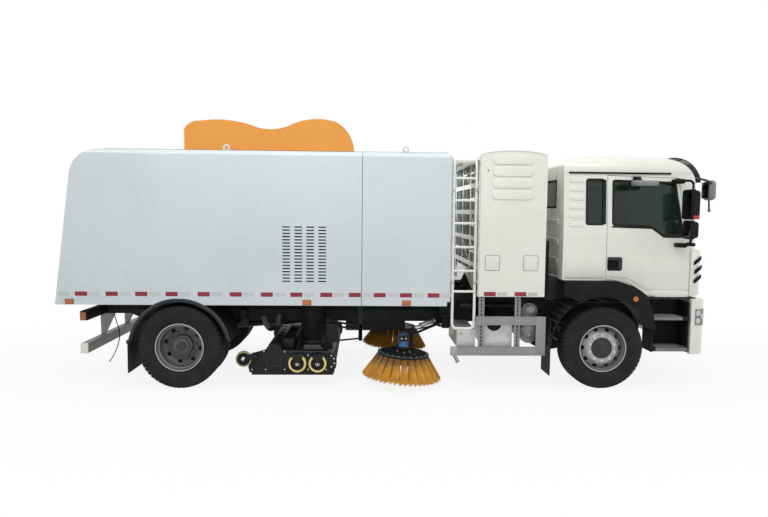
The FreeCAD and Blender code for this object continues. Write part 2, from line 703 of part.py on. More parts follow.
# --- hopper ------------------------------------------------------------------
def hopper_path(inset, bottom):
    """Side outline of the hopper: leaning rear, big round, flat roof."""
    lean = REAR_LEAN / (BODY_TOP - BODY_BOTTOM)
    tilt = math.atan(lean)
    radius = REAR_ROUND_R - inset
    rear_low = HOPPER_REAR_X + inset / math.cos(tilt) + (bottom - BODY_BOTTOM) * lean
    tangent = REAR_ROUND_R * math.tan((math.pi / 2 - tilt) / 2)
    centre_x = HOPPER_REAR_X + REAR_LEAN + tangent
    centre_z = BODY_TOP - REAR_ROUND_R
    turn = math.pi - tilt
    start = (centre_x + radius * math.cos(turn), centre_z + radius * math.sin(turn))
    half = (turn + math.pi / 2) / 2
    middle = (centre_x + radius * math.cos(half), centre_z + radius * math.sin(half))
    end = (centre_x, BODY_TOP - inset)
    return [(rear_low, bottom), start, (middle, end)]


def hopper_box(inset, bottom, front, half):
    """Solid of the hopper's outline drawn in by an inset."""
    path = hopper_path(inset, bottom) + [(front, BODY_TOP - inset), (front, bottom)]
    return side_prism(path, -half, half)


def tailgate_limit():
    """X where the tailgate's top edge meets the roof."""
    return hopper_path(0.0, BODY_BOTTOM)[2][1][0]


def hopper():
    """Hollow body with a partition before the fan room and ears for its pivot."""
    inside = BODY_HALF - HOPPER_WALL
    shell = hopper_box(0.0, BODY_BOTTOM, HOPPER_FRONT_X, BODY_HALF)
    shell = shell.cut(body_edges(HOPPER_REAR_X, HOPPER_FRONT_X + 1))
    room = hopper_box(HOPPER_WALL, HOPPER_FLOOR + HOPPER_WALL, FAN_WALL_X, inside)
    fan_room = box(FAN_WALL_X + HOPPER_WALL, HOPPER_FRONT_X - HOPPER_WALL, -inside, inside,
                   HOPPER_FLOOR + HOPPER_WALL, BODY_TOP - HOPPER_WALL)
    under = box(HOPPER_REAR_X - 1, HOPPER_FRONT_X + 1, -inside, inside, BODY_BOTTOM - 1,
                HOPPER_FLOOR)
    gate = side_prism(
        hopper_path(-1.0, BODY_BOTTOM - 1) + [(tailgate_limit(), BODY_TOP - HOPPER_WALL - 1)]
        + [(HOPPER_REAR_X + 430, BODY_TOP - 600), (HOPPER_REAR_X + 150, HOPPER_FLOOR - 1)]
        + [(HOPPER_REAR_X + 150, BODY_BOTTOM - 1)],
        -inside, inside)
    arch_z, arch_r = TYRE_R - 20, TYRE_R + REAR_GUARD_GAP + 12
    arch = rod(vec(0, -BODY_HALF - 1, arch_z), vec(0, BODY_HALF + 1, arch_z), arch_r)
    shell = shell.cut([room, fan_room, under, gate])
    shell = shell.cut(arch.common(box(-700, 700, -BODY_HALF - 1, BODY_HALF + 1, 900, HOPPER_FLOOR - 1)))
    floor_rear = HOPPER_REAR_X + 150
    sill = box(floor_rear - 30, floor_rear + 30, -inside, inside, HOPPER_FLOOR, HOPPER_FLOOR + 30)
    ears = []
    for side in (-1, 1):
        y0, y1 = sorted((side * (RAIL_OUT + 8), side * (RAIL_OUT + 38)))
        path = [(TIP_X - 90, HOPPER_FLOOR + 10), (TIP_X - 45, TIP_Z)]
        path += [((TIP_X, TIP_Z - 45), (TIP_X + 45, TIP_Z)), (TIP_X + 90, HOPPER_FLOOR + 10)]
        ear = side_prism(path, y0, y1)
        ears.append(ear.cut(rod(vec(TIP_X, y0 - 1, TIP_Z), vec(TIP_X, y1 + 1, TIP_Z),
                                TIP_PIN_R + BEARING_GAP)))
    shell = shell.cut(both_sides([rod(vec(HOSE_X, -HOSE_Y, HOPPER_FLOOR - 1),
                                      vec(HOSE_X, -HOSE_Y, HOPPER_FLOOR + HOPPER_WALL + 1),
                                      HOSE_R - 10)]))
    return [joined([shell, sill] + ears + both_sides([lifting_lug(HOPPER_LUG_X)]))]


def tailgate():
    """Rear door of the hopper, hung from the roof edge and curved over at its top."""
    inside = BODY_HALF - HOPPER_WALL - PANEL_GAP
    limit = tailgate_limit() - PANEL_GAP
    outer = hopper_box(0.0, BODY_BOTTOM + 5, limit + 100, inside)
    inner = hopper_box(HOPPER_WALL, BODY_BOTTOM, limit + 110, inside + 1)
    skin = outer.cut(inner)
    skin = skin.cut(box(limit, limit + 120, -inside - 2, inside + 2, BODY_BOTTOM, BODY_TOP + 1))
    hinges = []
    for y in (-800.0, 0.0, 800.0):
        hinges.append(box(limit - 60, limit + GATE_HINGE_X, y - 40, y + 40,
                          BODY_TOP - 14, BODY_TOP + 8))
        hinges.append(rod(vec(limit + GATE_HINGE_X, y - 60, BODY_TOP + GATE_HINGE_Z),
                          vec(limit + GATE_HINGE_X, y + 60, BODY_TOP + GATE_HINGE_Z), 14))
    return [joined([skin] + hinges)]


def roof_fairing():
    """Hollow cover on the hopper's roof with a wavy top."""
    def path(inset):
        top = BODY_TOP
        base = top - (1 if inset else 0)
        rear, front = 12.0 + inset, 2057.0 - inset
        return [
            (rear, base), (rear, top + 271 - inset),
            ((rear + 60, top + 336 - inset), (200.0, top + 369 - inset)),
            ((560.0, top + 379 - inset), (900.0, top + 296 - inset)),
            ((1080.0, top + 281 - inset), (1250.0, top + 316 - inset)),
            ((1560.0, top + 406 - inset), (1840.0 - inset / 2, top + 376 - inset)),
            ((1990.0 - inset, top + 241), (front, base)),
        ]
    cover = side_prism(path(0.0), -950, 950)
    return [cover.cut(side_prism(path(30.0), -920, 920))]


def cylinder_axis():
    """Unit direction of the tip cylinder and its closed length."""
    run = vec(ROD_EYE_X - BARREL_X, 0, ROD_EYE_Z - BARREL_Z)
    return vec(*(n / run.Length for n in run)), run.Length


def tip_cylinder():
    """Barrel of the tip cylinder with the eye on its frame pin."""
    way, _ = cylinder_axis()
    foot = vec(BARREL_X, 0, BARREL_Z)
    start = foot.add(vec(*(30 * n for n in way)))
    end = foot.add(vec(*(BARREL_LENGTH * n for n in way)))
    eye = rod(vec(BARREL_X, -54, BARREL_Z), vec(BARREL_X, 54, BARREL_Z), 42)
    barrel = rod(start, end, BARREL_R)
    bore = rod(foot.add(vec(*(150 * n for n in way))), end.add(way), ROD_R + BEARING_GAP)
    pin_hole = rod(vec(BARREL_X, -56, BARREL_Z), vec(BARREL_X, 56, BARREL_Z),
                   BARREL_PIN_R + BEARING_GAP)
    return [joined([eye, barrel]).cut(bore).cut(pin_hole)]


def tip_rod():
    """Rod of the tip cylinder with the eye under the hopper floor."""
    way, length = cylinder_axis()
    foot = vec(BARREL_X, 0, BARREL_Z)
    start = foot.add(vec(*(650 * n for n in way)))
    end = foot.add(vec(*((length - 20) * n for n in way)))
    eye = rod(vec(ROD_EYE_X, -30, ROD_EYE_Z), vec(ROD_EYE_X, 30, ROD_EYE_Z), 34)
    return [joined([rod(start, end, ROD_R), eye])]


# --- cab ---------------------------------------------------------------------
def cab_profile(inset):
    """Side outline of the cab drawn in by an inset."""
    rear, front = CAB_REAR_X + inset, CAB_FRONT_X - inset
    return [
        (rear, CAB_BOTTOM - 400), (rear, 2720.0),
        ((rear + 45, 2830.0 - inset), (4800.0, 2890.0 - inset)),
        ((5050.0, 2903.0 - inset), (5350.0, 2898.0 - inset)),
        (5920.0, 2820.0 - inset),
        ((6110.0 - inset / 2, 2735.0 - inset), (6225.0 - inset, 2590.0)),
        (front - 30, 1830.0), (front, 1500.0), (front, CAB_BOTTOM - 400),
    ]


def cab_section(inset):
    """Front view outline of the cab: upright sides, leaning window band, crowned roof."""
    half = CAB_HALF - inset
    eave = 1072.0 - inset
    return [
        (-half, 700.0), (-half, 1880.0), (-eave, 2620.0),
        ((-1035.0 + inset, 2770.0 - inset * 0.7), (-930.0 + inset / 2, 2835.0 - inset)),
        ((0.0, 2905.0 - inset), (930.0 - inset / 2, 2835.0 - inset)),
        ((1035.0 - inset, 2770.0 - inset * 0.7), (eave, 2620.0)), (half, 1880.0), (half, 700.0),
    ]


def cab_plan(inset):
    """Plan outline of the cab: square behind, bowed and rounded in front."""
    half, front, rear = CAB_HALF - inset, CAB_FRONT_X - inset, CAB_REAR_X + inset
    bend = 220.0 - inset
    corner = front - 45
    return [
        (rear, -half), (corner - bend, -half),
        ((corner - 0.293 * bend, -half + 0.293 * bend), (corner, -half + bend)),
        ((front, 0.0), (corner, half - bend)),
        ((corner - 0.293 * bend, half - 0.293 * bend), (corner - bend, half)), (rear, half),
    ]


def cab_solid(inset):
    """Solid of the cab's outer shape drawn in by an inset."""
    solid = side_prism(cab_profile(inset), -CAB_HALF - 10, CAB_HALF + 10)
    solid = solid.common(front_prism(cab_section(inset), CAB_REAR_X - 10, CAB_FRONT_X + 10))
    return solid.common(plan_prism(cab_plan(inset), 600, 3000))


def under_cab():
    """Space below the cab: level sill in front, raised floor over the wheels."""
    path = [(4500, 600), (4500, CAB_ARCH_Z), (5170, CAB_ARCH_Z)]
    path += [((5440, 1270), (5640, CAB_BOTTOM)), (6500, CAB_BOTTOM), (6500, 600)]
    return side_prism(path, -1300, 1300)


def cab_floor_cut():
    """Space inside the cab above its floor."""
    path = [(4500, 3000), (4500, CAB_ARCH_Z + CAB_WALL), (5200, CAB_ARCH_Z + CAB_WALL)]
    path += [(5760, CAB_ARCH_Z + CAB_WALL), (5800, CAB_BOTTOM + CAB_WALL)]
    path += [(6500, CAB_BOTTOM + CAB_WALL), (6500, 3000)]
    return side_prism(path, -1300, 1300)


DOOR_PATH = [
    (5150.0, 1345.0), (5150.0, 2600.0), (6025.0, 2575.0), (6140.0, 1850.0), (6200.0, 1700.0),
    (6200.0, 1125.0), (5780.0, 1125.0), (5650.0, 1150.0), (5440.0, 1300.0),
]
DOOR_WINDOW = [
    (5215.0, 2000.0), (5215.0, 2545.0), (5985.0, 2525.0), (6090.0, 1880.0), (5830.0, 1880.0),
    (5690.0, 1985.0),
]
QUARTER_WINDOW = [(4890.0, 2007.0), (4890.0, 2555.0), (5105.0, 2553.0), (5105.0, 2007.0)]
WINDSCREEN = [(-960.0, 1830.0), (-900.0, 2560.0), (900.0, 2560.0), (960.0, 1830.0)]
REAR_WINDOW = [(-800.0, 2200.0), (-800.0, 2560.0), (800.0, 2560.0), (800.0, 2200.0)]


def grown(path, gap):
    """Outline moved outwards by a gap, with its corners kept sharp."""
    wire = outline(path, lambda a, b: vec(a, 0, b)).OuterWire
    wide = wire.makeOffset2D(gap, 2)
    return Part.Face(wide)


def right_side(path, gap=0.0):
    """Prism of a side outline through the right wall only."""
    if gap:
        face = grown(path, gap)
        face.translate(vec(0, -1300, 0))
        return face.extrude(vec(0, 700, 0))
    return side_prism(path, -1300, -600)


def cab_shell():
    """Cab body with its floor, door openings, window openings and centre grille."""
    shell = cab_solid(0.0).cut(under_cab())
    room = cab_solid(CAB_WALL).common(cab_floor_cut())
    shell = shell.cut(room)
    for path, gap in ((DOOR_PATH, DOOR_GAP), (QUARTER_WINDOW, 0.0)):
        hole = right_side(path, gap)
        shell = shell.cut([hole, mirrored(hole)])
    shell = shell.cut(front_prism(WINDSCREEN, 6000, 6500))
    shell = shell.cut(front_prism(REAR_WINDOW, 4500, 4700))
    grille = side_prism([(6380, 775), (6430, 790), (6425, 1140), (6380, 1140)], -690, 690)
    neck = box(6290, 6430, -690, 690, CAB_BOTTOM, CAB_BOTTOM + 50)
    ears = []
    for side in (-1, 1):
        y0, y1 = sorted((side * (RAIL_OUT + 8), side * (RAIL_OUT + 38)))
        path = [(CAB_PIVOT_X - 35, CAB_BOTTOM + 10), (CAB_PIVOT_X - 35, CAB_PIVOT_Z)]
        path += [((CAB_PIVOT_X, CAB_PIVOT_Z - 35), (CAB_PIVOT_X + 35, CAB_PIVOT_Z))]
        path += [(CAB_PIVOT_X + 35, CAB_BOTTOM + 10)]
        hole = rod(vec(CAB_PIVOT_X, y0 - 1, CAB_PIVOT_Z), vec(CAB_PIVOT_X, y1 + 1, CAB_PIVOT_Z),
                   CAB_PIN_R + BEARING_GAP)
        ears.append(side_prism(path, y0, y1).cut(hole))
    return [joined([shell, grille, neck] + ears)]


def glass_layer():
    """Thin layer of the cab's shape in which its panes lie."""
    return cab_solid(GLASS_INSET).cut(cab_solid(GLASS_INSET + GLASS))


def cab_glass():
    """Windscreen, rear window and the two quarter windows."""
    layer = glass_layer()
    quarter = right_side(QUARTER_WINDOW)
    panes = [
        layer.common(front_prism(WINDSCREEN, 6000, 6500)),
        layer.common(front_prism(REAR_WINDOW, 4500, 4700)),
        layer.common(quarter),
        layer.common(mirrored(quarter)),
    ]
    return panes


def door(side):
    """Door panel with its window cut, hinged along its front edge."""
    wall = cab_solid(0.0).cut(cab_solid(CAB_WALL))
    panel = wall.common(right_side(DOOR_PATH)).cut(right_side(DOOR_WINDOW))
    return [panel if side < 0 else mirrored(panel)]


def door_glass(side):
    """Pane of the door window."""
    pane = glass_layer().common(right_side(DOOR_WINDOW))
    return [pane if side < 0 else mirrored(pane)]


def mirror_set(side):
    """Main and wide-angle mirrors on one post, carried by two arms from the door."""
    x, y = 6080.0, -1325.0
    main = box(x - 60, x + 60, y - 125, y + 125, 2079, 2435)
    wide = box(x - 50, x + 60, y - 115, y + 115, 1842, 2070)
    post = rod(vec(x, y, 1760), vec(x, y, 2540), 14)
    lower = rod(vec(x, y, 1765), vec(5995, -1119, 1765), 16)
    upper = rod(vec(x, y, 2525), vec(5950, -1085, 2540), 16)
    group = joined([main, wide, post, lower, upper]).cut(cab_solid(0.0))
    kerb = box(5360, 5640, -1400, -1230, 2462, 2535)
    kerb_arm = rod(vec(5500, -1300, 2500), vec(5500, -1083, 2575), 14)
    if side > 0:
        return [mirrored(group)]
    return [group, joined([kerb, kerb_arm]).cut(cab_solid(0.0))]


def front_mirror():
    """Mirror held out ahead of the right front corner of the cab."""
    housing = box(6425, 6535, -1050, -850, 2313, 2566)
    arm = rod(vec(6480, -1030, 2500), vec(6190, -1040, 2600), 14)
    hook = rod(vec(6480, -950, 2320), vec(6490, -950, 2171), 10)
    return [joined([housing, arm, hook]).cut(cab_solid(0.0))]


def sun_visor():
    """Curved shade over the top of the windscreen."""
    path = [
        (5960.0, 2832.0), ((6170.0, 2790.0), (6330.0, 2600.0)), (6345.0, 2535.0), (6337.0, 2533.0),
        (6322.0, 2597.0), ((6164.0, 2782.0), (5958.0, 2822.0)),
    ]
    blade = side_prism(path, -1000, 1000)
    return [blade]


def wheel_arches():
    """Black arch mouldings under the cab, open round the steered wheels."""
    x, z, gap = DRAWN_AXLE_X, TYRE_R + 20, TYRE_R + ARCH_GAP
    outer = [(4605, 1150), (4605, CAB_ARCH_Z - 1), (5170, CAB_ARCH_Z - 1)]
    outer += [((5440, 1269), (5640, CAB_BOTTOM - 1)), (5700, 960), (5740, 740)]
    outer += [(5560, 740)]
    face = side_prism(outer, -BODY_HALF + 10, -BODY_HALF + 30)
    wheel_gap = rod(vec(x, -1300, z), vec(x, -800, z), gap)
    front_band = arc_band(x, z, gap, gap + 15, 22, 122, -BODY_HALF + 10, -900)
    keep = side_prism([(4605, 740), (4605, CAB_ARCH_Z - 1), (5170, CAB_ARCH_Z - 1),
                       ((5440, 1269), (5640, CAB_BOTTOM - 1)), (5700, 960), (5740, 740)],
                      -BODY_HALF + 10, -900)
    roof = [box(4605, 5170, -BODY_HALF + 30, -CAB_HALF + 5, CAB_ARCH_Z - 16, CAB_ARCH_Z - 1)]
    hangers = [
        box(px - 15, px + 15, -1110, -1090, z + gap - drop, CAB_ARCH_Z - 1)
        for px, drop in ((x - 200, 30.0), (x + 50, 5.0))
    ]
    return both_sides([joined([face.cut(wheel_gap), front_band.common(keep)] + roof + hangers)])


def seats():
    """Driver's and passenger's seats."""
    floor = CAB_ARCH_Z + CAB_WALL
    parts = []
    for y in (-520.0, 520.0):
        base = box(4960, 5380, y - 180, y + 180, floor, floor + 260)
        cushion = box(4900, 5420, y - 250, y + 250, floor + 260, floor + 390)
        back = side_prism([(4900, floor + 380), (5030, floor + 380), (4930, floor + 1000),
                           (4810, floor + 1000)], y - 240, y + 240)
        head = box(4790, 4890, y - 130, y + 130, floor + 1000, floor + 1180)
        parts.append(joined([base, cushion, back, head]))
    return parts


def dashboard():
    """Dashboard across the cab with the steering column and wheel."""
    floor = CAB_BOTTOM + CAB_WALL
    path = [(6060, floor), (6060, 1560), (5960, 1640), (5980, 1800), (6230, 1815), (6270, 1700)]
    path += [(6270, floor)]
    board = side_prism(path, -930, 930).common(cab_solid(CAB_WALL + 5))
    centre = vec(WHEEL_HUB_X, STEERING_Y, WHEEL_HUB_Z)
    axis = vec(-COLUMN_RUN, 0, COLUMN_RISE)
    axis.normalize()
    foot = rod(vec(WHEEL_HUB_X + COLUMN_RUN, STEERING_Y, WHEEL_HUB_Z - COLUMN_RISE), centre, 30)
    hub = rod(centre.sub(axis * 14), centre.add(axis * 26), 55)
    ring = Part.makeTorus(STEERING_R, 16, centre, axis)
    down = vec(-axis.z, 0, axis.x)
    spokes = [
        rod(centre.add(way * 40), centre.add(way * (STEERING_R - 3)), 11)
        for way in (down, vec(0, 1, 0), vec(0, -1, 0))
    ]
    return [joined([board, foot, hub, ring] + spokes)]


# --- brushes and nozzle --------------------------------------------------------
def arm_direction():
    """Unit plan direction from the swing pin to the right brush's centre."""
    run = vec(BRUSH_X - SWING_X, -(BRUSH_Y - SWING_Y), 0)
    return vec(*(n / run.Length for n in run)), run.Length


def brush_bracket(side):
    """Swivelling block on the frame's pin, forked for the lifting arm."""
    way, _ = arm_direction()
    pin = vec(SWING_X, -SWING_Y, 0)
    sleeve = tube(vec(SWING_X, -SWING_Y, 670), vec(SWING_X, -SWING_Y, 785), 45,
                  SWING_PIN_R + BEARING_GAP)
    lift = pin.add(vec(*(LIFT_REACH * n for n in way)))
    across = vec(-way.y, way.x, 0)
    low = vec(lift.x, lift.y, 700)
    cheeks = []
    for sign in (-1, 1):
        plate = Part.makeBox(110, 16, 60, vec(0, -8, -30))
        plate.rotate(vec(0, 0, 0), vec(0, 0, 1), math.degrees(math.atan2(way.y, way.x)))
        plate.translate(vec(pin.x + 30 * way.x + sign * 30 * across.x,
                            pin.y + 30 * way.y + sign * 30 * across.y, 700))
        cheeks.append(plate)
    bolt = rod(vec(low.x - 38 * across.x, low.y - 38 * across.y, 700),
               vec(low.x + 38 * across.x, low.y + 38 * across.y, 700), LIFT_PIN_R)
    block = joined([sleeve] + cheeks + [bolt])
    block = block.cut(rod(vec(SWING_X, -SWING_Y, 600), vec(SWING_X, -SWING_Y, 900),
                          SWING_PIN_R + BEARING_GAP))
    return [block if side < 0 else mirrored(block)]


def brush_arm(side):
    """Lifting arm with the hydraulic motor that carries the brush."""
    way, length = arm_direction()
    pin = vec(SWING_X, -SWING_Y, 0)
    across = vec(-way.y, way.x, 0)
    start = pin.add(vec(*(LIFT_REACH * n for n in way)))
    eye = rod(vec(start.x - 18 * across.x, start.y - 18 * across.y, 700),
              vec(start.x + 18 * across.x, start.y + 18 * across.y, 700), 26)
    bolt_hole = rod(vec(start.x - 40 * across.x, start.y - 40 * across.y, 700),
                    vec(start.x + 40 * across.x, start.y + 40 * across.y, 700),
                    LIFT_PIN_R + BEARING_GAP)
    knee = pin.add(vec(*((length - 130) * n for n in way)))
    beam = rod(vec(start.x + 15 * way.x, start.y + 15 * way.y, 700), vec(knee.x, knee.y, 600), 16)
    drop = rod(vec(knee.x, knee.y, 622), vec(knee.x, knee.y, 452), 24)
    plate = rod(vec(BRUSH_X, -BRUSH_Y, 448), vec(BRUSH_X, -BRUSH_Y, 468), 75)
    ledge = rod(vec(knee.x, knee.y, 482), vec(BRUSH_X - 15 * way.x, -BRUSH_Y - 15 * way.y, 482), 17)
    motor = rod(vec(BRUSH_X, -BRUSH_Y, 458), vec(BRUSH_X, -BRUSH_Y, 640), 60)
    arm = joined([eye, beam, drop, plate, ledge, motor]).cut(bolt_hole)
    return [arm if side < 0 else mirrored(arm)]


def side_brush(side):
    """Brush disc and its flaring ring of bristles, tilted down towards the front."""
    profile = [
        (0, BRUSH_DISC_Z), (200, BRUSH_DISC_Z), (330, BRUSH_TIP_Z), (BRUSH_TIP_R, BRUSH_TIP_Z),
        (BRUSH_DISC_R - 15, BRUSH_DISC_Z), (BRUSH_DISC_R, BRUSH_DISC_Z),
        (BRUSH_DISC_R, BRUSH_DISC_Z + 24), (60, BRUSH_DISC_Z + 34), (60, BRUSH_DISC_Z + 70),
        (0, BRUSH_DISC_Z + 70),
    ]
    turned = upright_turning(profile, BRUSH_X, side * BRUSH_Y)
    turned.rotate(vec(BRUSH_X, side * BRUSH_Y, BRUSH_DISC_Z), vec(0, 1, 0), BRUSH_TILT)
    return [turned]


CASTORS = [
    # name, x, z, radius
    ("rear", 744.0, 345.0, 96.0),
    ("middle", 1389.0, 290.0, 109.0),
    ("front", 1634.0, 290.0, 109.0),
]


def castor(x, z, radius, side):
    """Castor wheel outside the nozzle's side plate."""
    y = side * (NOZZLE_HALF + 50)
    return [tube(vec(x, y - 25, z), vec(x, y + 25, z), radius, 12 + BEARING_GAP)]


def nozzle():
    """Full-width suction nozzle with its side plates, blow tube and castor stubs."""
    z = NOZZLE_Z
    path = [(1250, z + 20), (1250, z + 180), (1330, z + 250), (1740, z + 250), (1820, z + 150)]
    path += [(1820, z + 20)]
    hood = side_prism(path, -NOZZLE_HALF, NOZZLE_HALF)
    inner = [(1275, z), (1275, z + 170), (1340, z + 225), (1730, z + 225), (1795, z + 140), (1795, z)]
    hood = hood.cut(side_prism(inner, -NOZZLE_HALF + 20, NOZZLE_HALF - 20))
    cheek_path = [(804, z), (1831, z), (1850, z + 120), (1780, z + 260), (1020, z + 290)]
    cheek_path += [(820, z + 230), (790, z + 60)]
    plate = side_prism(cheek_path, -NOZZLE_HALF - 10, -NOZZLE_HALF + 5)
    blow_tube = rod(vec(1098, -NOZZLE_HALF, 413), vec(1098, NOZZLE_HALF, 413), 103)
    stubs = [
        rod(vec(x, -NOZZLE_HALF - 78, level), vec(x, -NOZZLE_HALF, level), 12)
        for _, x, level, _ in CASTORS[1:]
    ]
    _, x, level, _ = CASTORS[0]
    fork = side_prism([(x - 22, level - 22), (x + 30, level - 22), (940, z + 190), (860, z + 250)],
                      -NOZZLE_HALF - 15, -NOZZLE_HALF)
    stubs.append(rod(vec(x, -NOZZLE_HALF - 78, level), vec(x, -NOZZLE_HALF, level), 12))
    neck = tube(vec(HOSE_X, -HOSE_Y, z + 240), vec(HOSE_X, -HOSE_Y, HOSE_BOTTOM),
                HOSE_R, HOSE_R - 12)
    mouth = rod(vec(HOSE_X, -HOSE_Y, z + 200), vec(HOSE_X, -HOSE_Y, z + 300), HOSE_R - 12)
    lug = side_prism([(DRAG_EYE_X - 30, DRAG_EYE_Z), (DRAG_EYE_X + 30, DRAG_EYE_Z),
                      (DRAG_EYE_X + 60, z + 235), (DRAG_EYE_X - 60, z + 235)], -845, -825)
    body = joined([hood, blow_tube] + both_sides([plate, fork, neck, lug] + stubs))
    return [body.cut([mouth, mirrored(mouth)])]


def drag_arms():
    """Two links from the frame hangers to the nozzle's lugs, open at the nozzle."""
    hub = tube(vec(HANGER_X, -880, HANGER_Z), vec(HANGER_X, -852, HANGER_Z), 28,
               DRAG_PIN_R + BEARING_GAP)
    link = rod(vec(HANGER_X - 26, -866, HANGER_Z + 4), vec(DRAG_EYE_X, -866, DRAG_EYE_Z), 13)
    eye = rod(vec(DRAG_EYE_X, -880, DRAG_EYE_Z), vec(DRAG_EYE_X, -852, DRAG_EYE_Z), 24)
    return both_sides([joined([hub, link, eye])])


def write_part(name, solids, forward=0.0):
    """Write one node, set forward and then moved to the truck's own origin."""
    shape = solids[0] if len(solids) == 1 else Part.makeCompound(solids)
    shape = shape.copy()
    shape.translate(vec(forward - ORIGIN_X, 0, 0))
    shape.exportStep(f"parts/{name}.step")
    count = len(shape.Solids)
    good = all(solid.isValid() for solid in shape.Solids)
    print(f"{name}: {count} solids, {shape.Volume / 1e6:.1f} litres, valid {good}")


def build():
    """Build and write every node."""
    os.makedirs("parts", exist_ok=True)
    placed = [
        frame_rails, cross_members, front_axle, rear_axle, drive_unit, mudguards, water_tank,
        rear_bars, suction_hose, earth_strap, hopper, tailgate, roof_fairing, tip_cylinder,
        tip_rod, tie_rod, nozzle, drag_arms,
    ]
    for maker in placed:
        write_part(maker.__name__, maker())
    drawn_ahead = [
        front_bumper, cab_steps, battery_cabinet, ladder, side_guards, air_tanks, side_boxes,
        cab_shell, cab_glass, seats, dashboard, sun_visor, wheel_arches, front_mirror,
    ]
    for maker in drawn_ahead:
        write_part(maker.__name__, maker(), FORE)
    for side, word in ((-1, "right"), (1, "left")):
        write_part(f"door_{word}", door(side), FORE)
        write_part(f"door_glass_{word}", door_glass(side), FORE)
        write_part(f"mirrors_{word}", mirror_set(side), FORE)
        write_part(f"knuckle_{word}", knuckle(side))
        write_part(f"front_rim_{word}", front_rims(side))
        write_part(f"front_tyre_{word}", [tyre(WHEELBASE, side * TRACK_HALF)])
        write_part(f"rear_rims_{word}", rear_rims(side))
        inner = side * (TRACK_HALF - DUAL_PITCH)
        write_part(f"rear_tyres_{word}", [tyre(0, side * TRACK_HALF), tyre(0, inner)])
        write_part(f"brush_bracket_{word}", brush_bracket(side))
        write_part(f"brush_arm_{word}", brush_arm(side))
        write_part(f"side_brush_{word}", side_brush(side))
        for place, x, z, radius in CASTORS:
            write_part(f"castor_{place}_{word}", castor(x, z, radius, side))


build()
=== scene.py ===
"""Street sweeper truck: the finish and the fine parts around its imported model.

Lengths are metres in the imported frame: X forward, Y to the left, Z up from the
ground.  Stations along the truck are given forward of the rear axle, and heights
from the ground, as a body builder's drawing gives them.
"""

import logging
import math
from dataclasses import dataclass, field
from enum import Enum
from typing import Callable, Iterable, Sequence

import bpy
from mathutils import Matrix, Vector


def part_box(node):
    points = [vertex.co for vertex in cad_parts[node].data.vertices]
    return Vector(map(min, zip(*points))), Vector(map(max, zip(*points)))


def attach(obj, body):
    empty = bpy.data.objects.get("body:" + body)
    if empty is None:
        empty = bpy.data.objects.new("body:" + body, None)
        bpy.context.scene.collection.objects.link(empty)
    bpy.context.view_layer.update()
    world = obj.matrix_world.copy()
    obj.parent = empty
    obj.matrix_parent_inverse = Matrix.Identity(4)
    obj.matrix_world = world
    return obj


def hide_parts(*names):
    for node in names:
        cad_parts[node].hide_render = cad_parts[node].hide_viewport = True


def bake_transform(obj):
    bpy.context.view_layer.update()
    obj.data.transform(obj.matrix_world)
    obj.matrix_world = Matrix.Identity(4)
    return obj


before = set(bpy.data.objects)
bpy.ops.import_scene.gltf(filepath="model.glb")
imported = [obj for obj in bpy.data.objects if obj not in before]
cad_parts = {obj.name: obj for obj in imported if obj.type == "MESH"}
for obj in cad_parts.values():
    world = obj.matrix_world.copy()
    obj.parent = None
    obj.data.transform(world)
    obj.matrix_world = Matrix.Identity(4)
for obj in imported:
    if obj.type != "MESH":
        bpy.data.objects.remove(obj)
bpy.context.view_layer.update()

log = logging.getLogger("sweeper")
Obj = bpy.types.Object
Node = bpy.types.Node
Socket = bpy.types.NodeSocket
Point = Sequence[float]
Outline = Sequence[tuple[float, float]]

REAR_AXLE = (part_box("rear_rims_right")[0].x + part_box("rear_rims_right")[1].x) / 2
SIDE = -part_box("water_tank")[0].y


class Side(Enum):
    """The truck's two sides, with the sign of Y on each."""

    RIGHT = -1
    LEFT = 1

    @property
    def word(self) -> str:
        """The side's name as the bodies and nodes spell it."""
        return self.name.lower()


def at(station: float, y: float, z: float) -> Vector:
    """Point from a station forward of the rear axle.

    Args:
        station: metres forward of the rear axle.
        y: metres to the left of the middle.
        z: height above the ground.

    Returns:
        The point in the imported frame.
    """
    return Vector((REAR_AXLE + station, y, z))


def stations(*corners: tuple[float, float]) -> list[tuple[float, float]]:
    """Outline whose first values are stations, for a plate seen from the side.

    Args:
        corners: pairs of station and height, or of station and Y.

    Returns:
        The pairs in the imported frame.
    """
    return [(REAR_AXLE + s, other) for s, other in corners]


def rectangle(low: tuple[float, float], high: tuple[float, float]) -> list[tuple[float, float]]:
    """Four corners of an oblong between two opposite ones."""
    (a, b), (c, d) = low, high
    return [(a, b), (c, b), (c, d), (a, d)]


def oblong(low: tuple[float, float], high: tuple[float, float]) -> list[tuple[float, float]]:
    """Four corners of an oblong between two whose first values are stations."""
    return stations(*rectangle(low, high))


def bent_strip(centre: tuple[float, float], outer: tuple[float, float],
               inner: tuple[float, float], start: float, end: float,
               count: int = 9) -> list[tuple[float, float]]:
    """Outline, seen from above, of a strip bent round a corner.

    Args:
        centre: station and Y of the bend's centre.
        outer: radii of the outer face along X and along Y.
        inner: radii of the inner face.
        start: direction of the strip's start in degrees.
        end: direction of its end.
        count: corners along each face.

    Returns:
        The outline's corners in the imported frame.
    """
    corners = []
    for (rx, ry), angles in ((outer, band(count, start, end)), (inner, band(count, end, start))):
        for degrees in angles:
            a = math.radians(degrees)
            place = at(centre[0] + rx * math.cos(a), centre[1] + ry * math.sin(a), 0)
            corners.append((place.x, place.y))
    return corners


# --- modelling operators -----------------------------------------------------
def nothing_picked() -> None:
    """Deselect everything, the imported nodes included."""
    for obj in bpy.context.selected_objects:
        obj.select_set(False)


def pick(*objs: Obj) -> Obj:
    """Select these objects alone, with the first one active.

    Args:
        objs: the objects to select.

    Returns:
        The first object.
    """
    nothing_picked()
    for obj in objs:
        obj.select_set(True)
    bpy.context.view_layer.objects.active = objs[0]
    return objs[0]


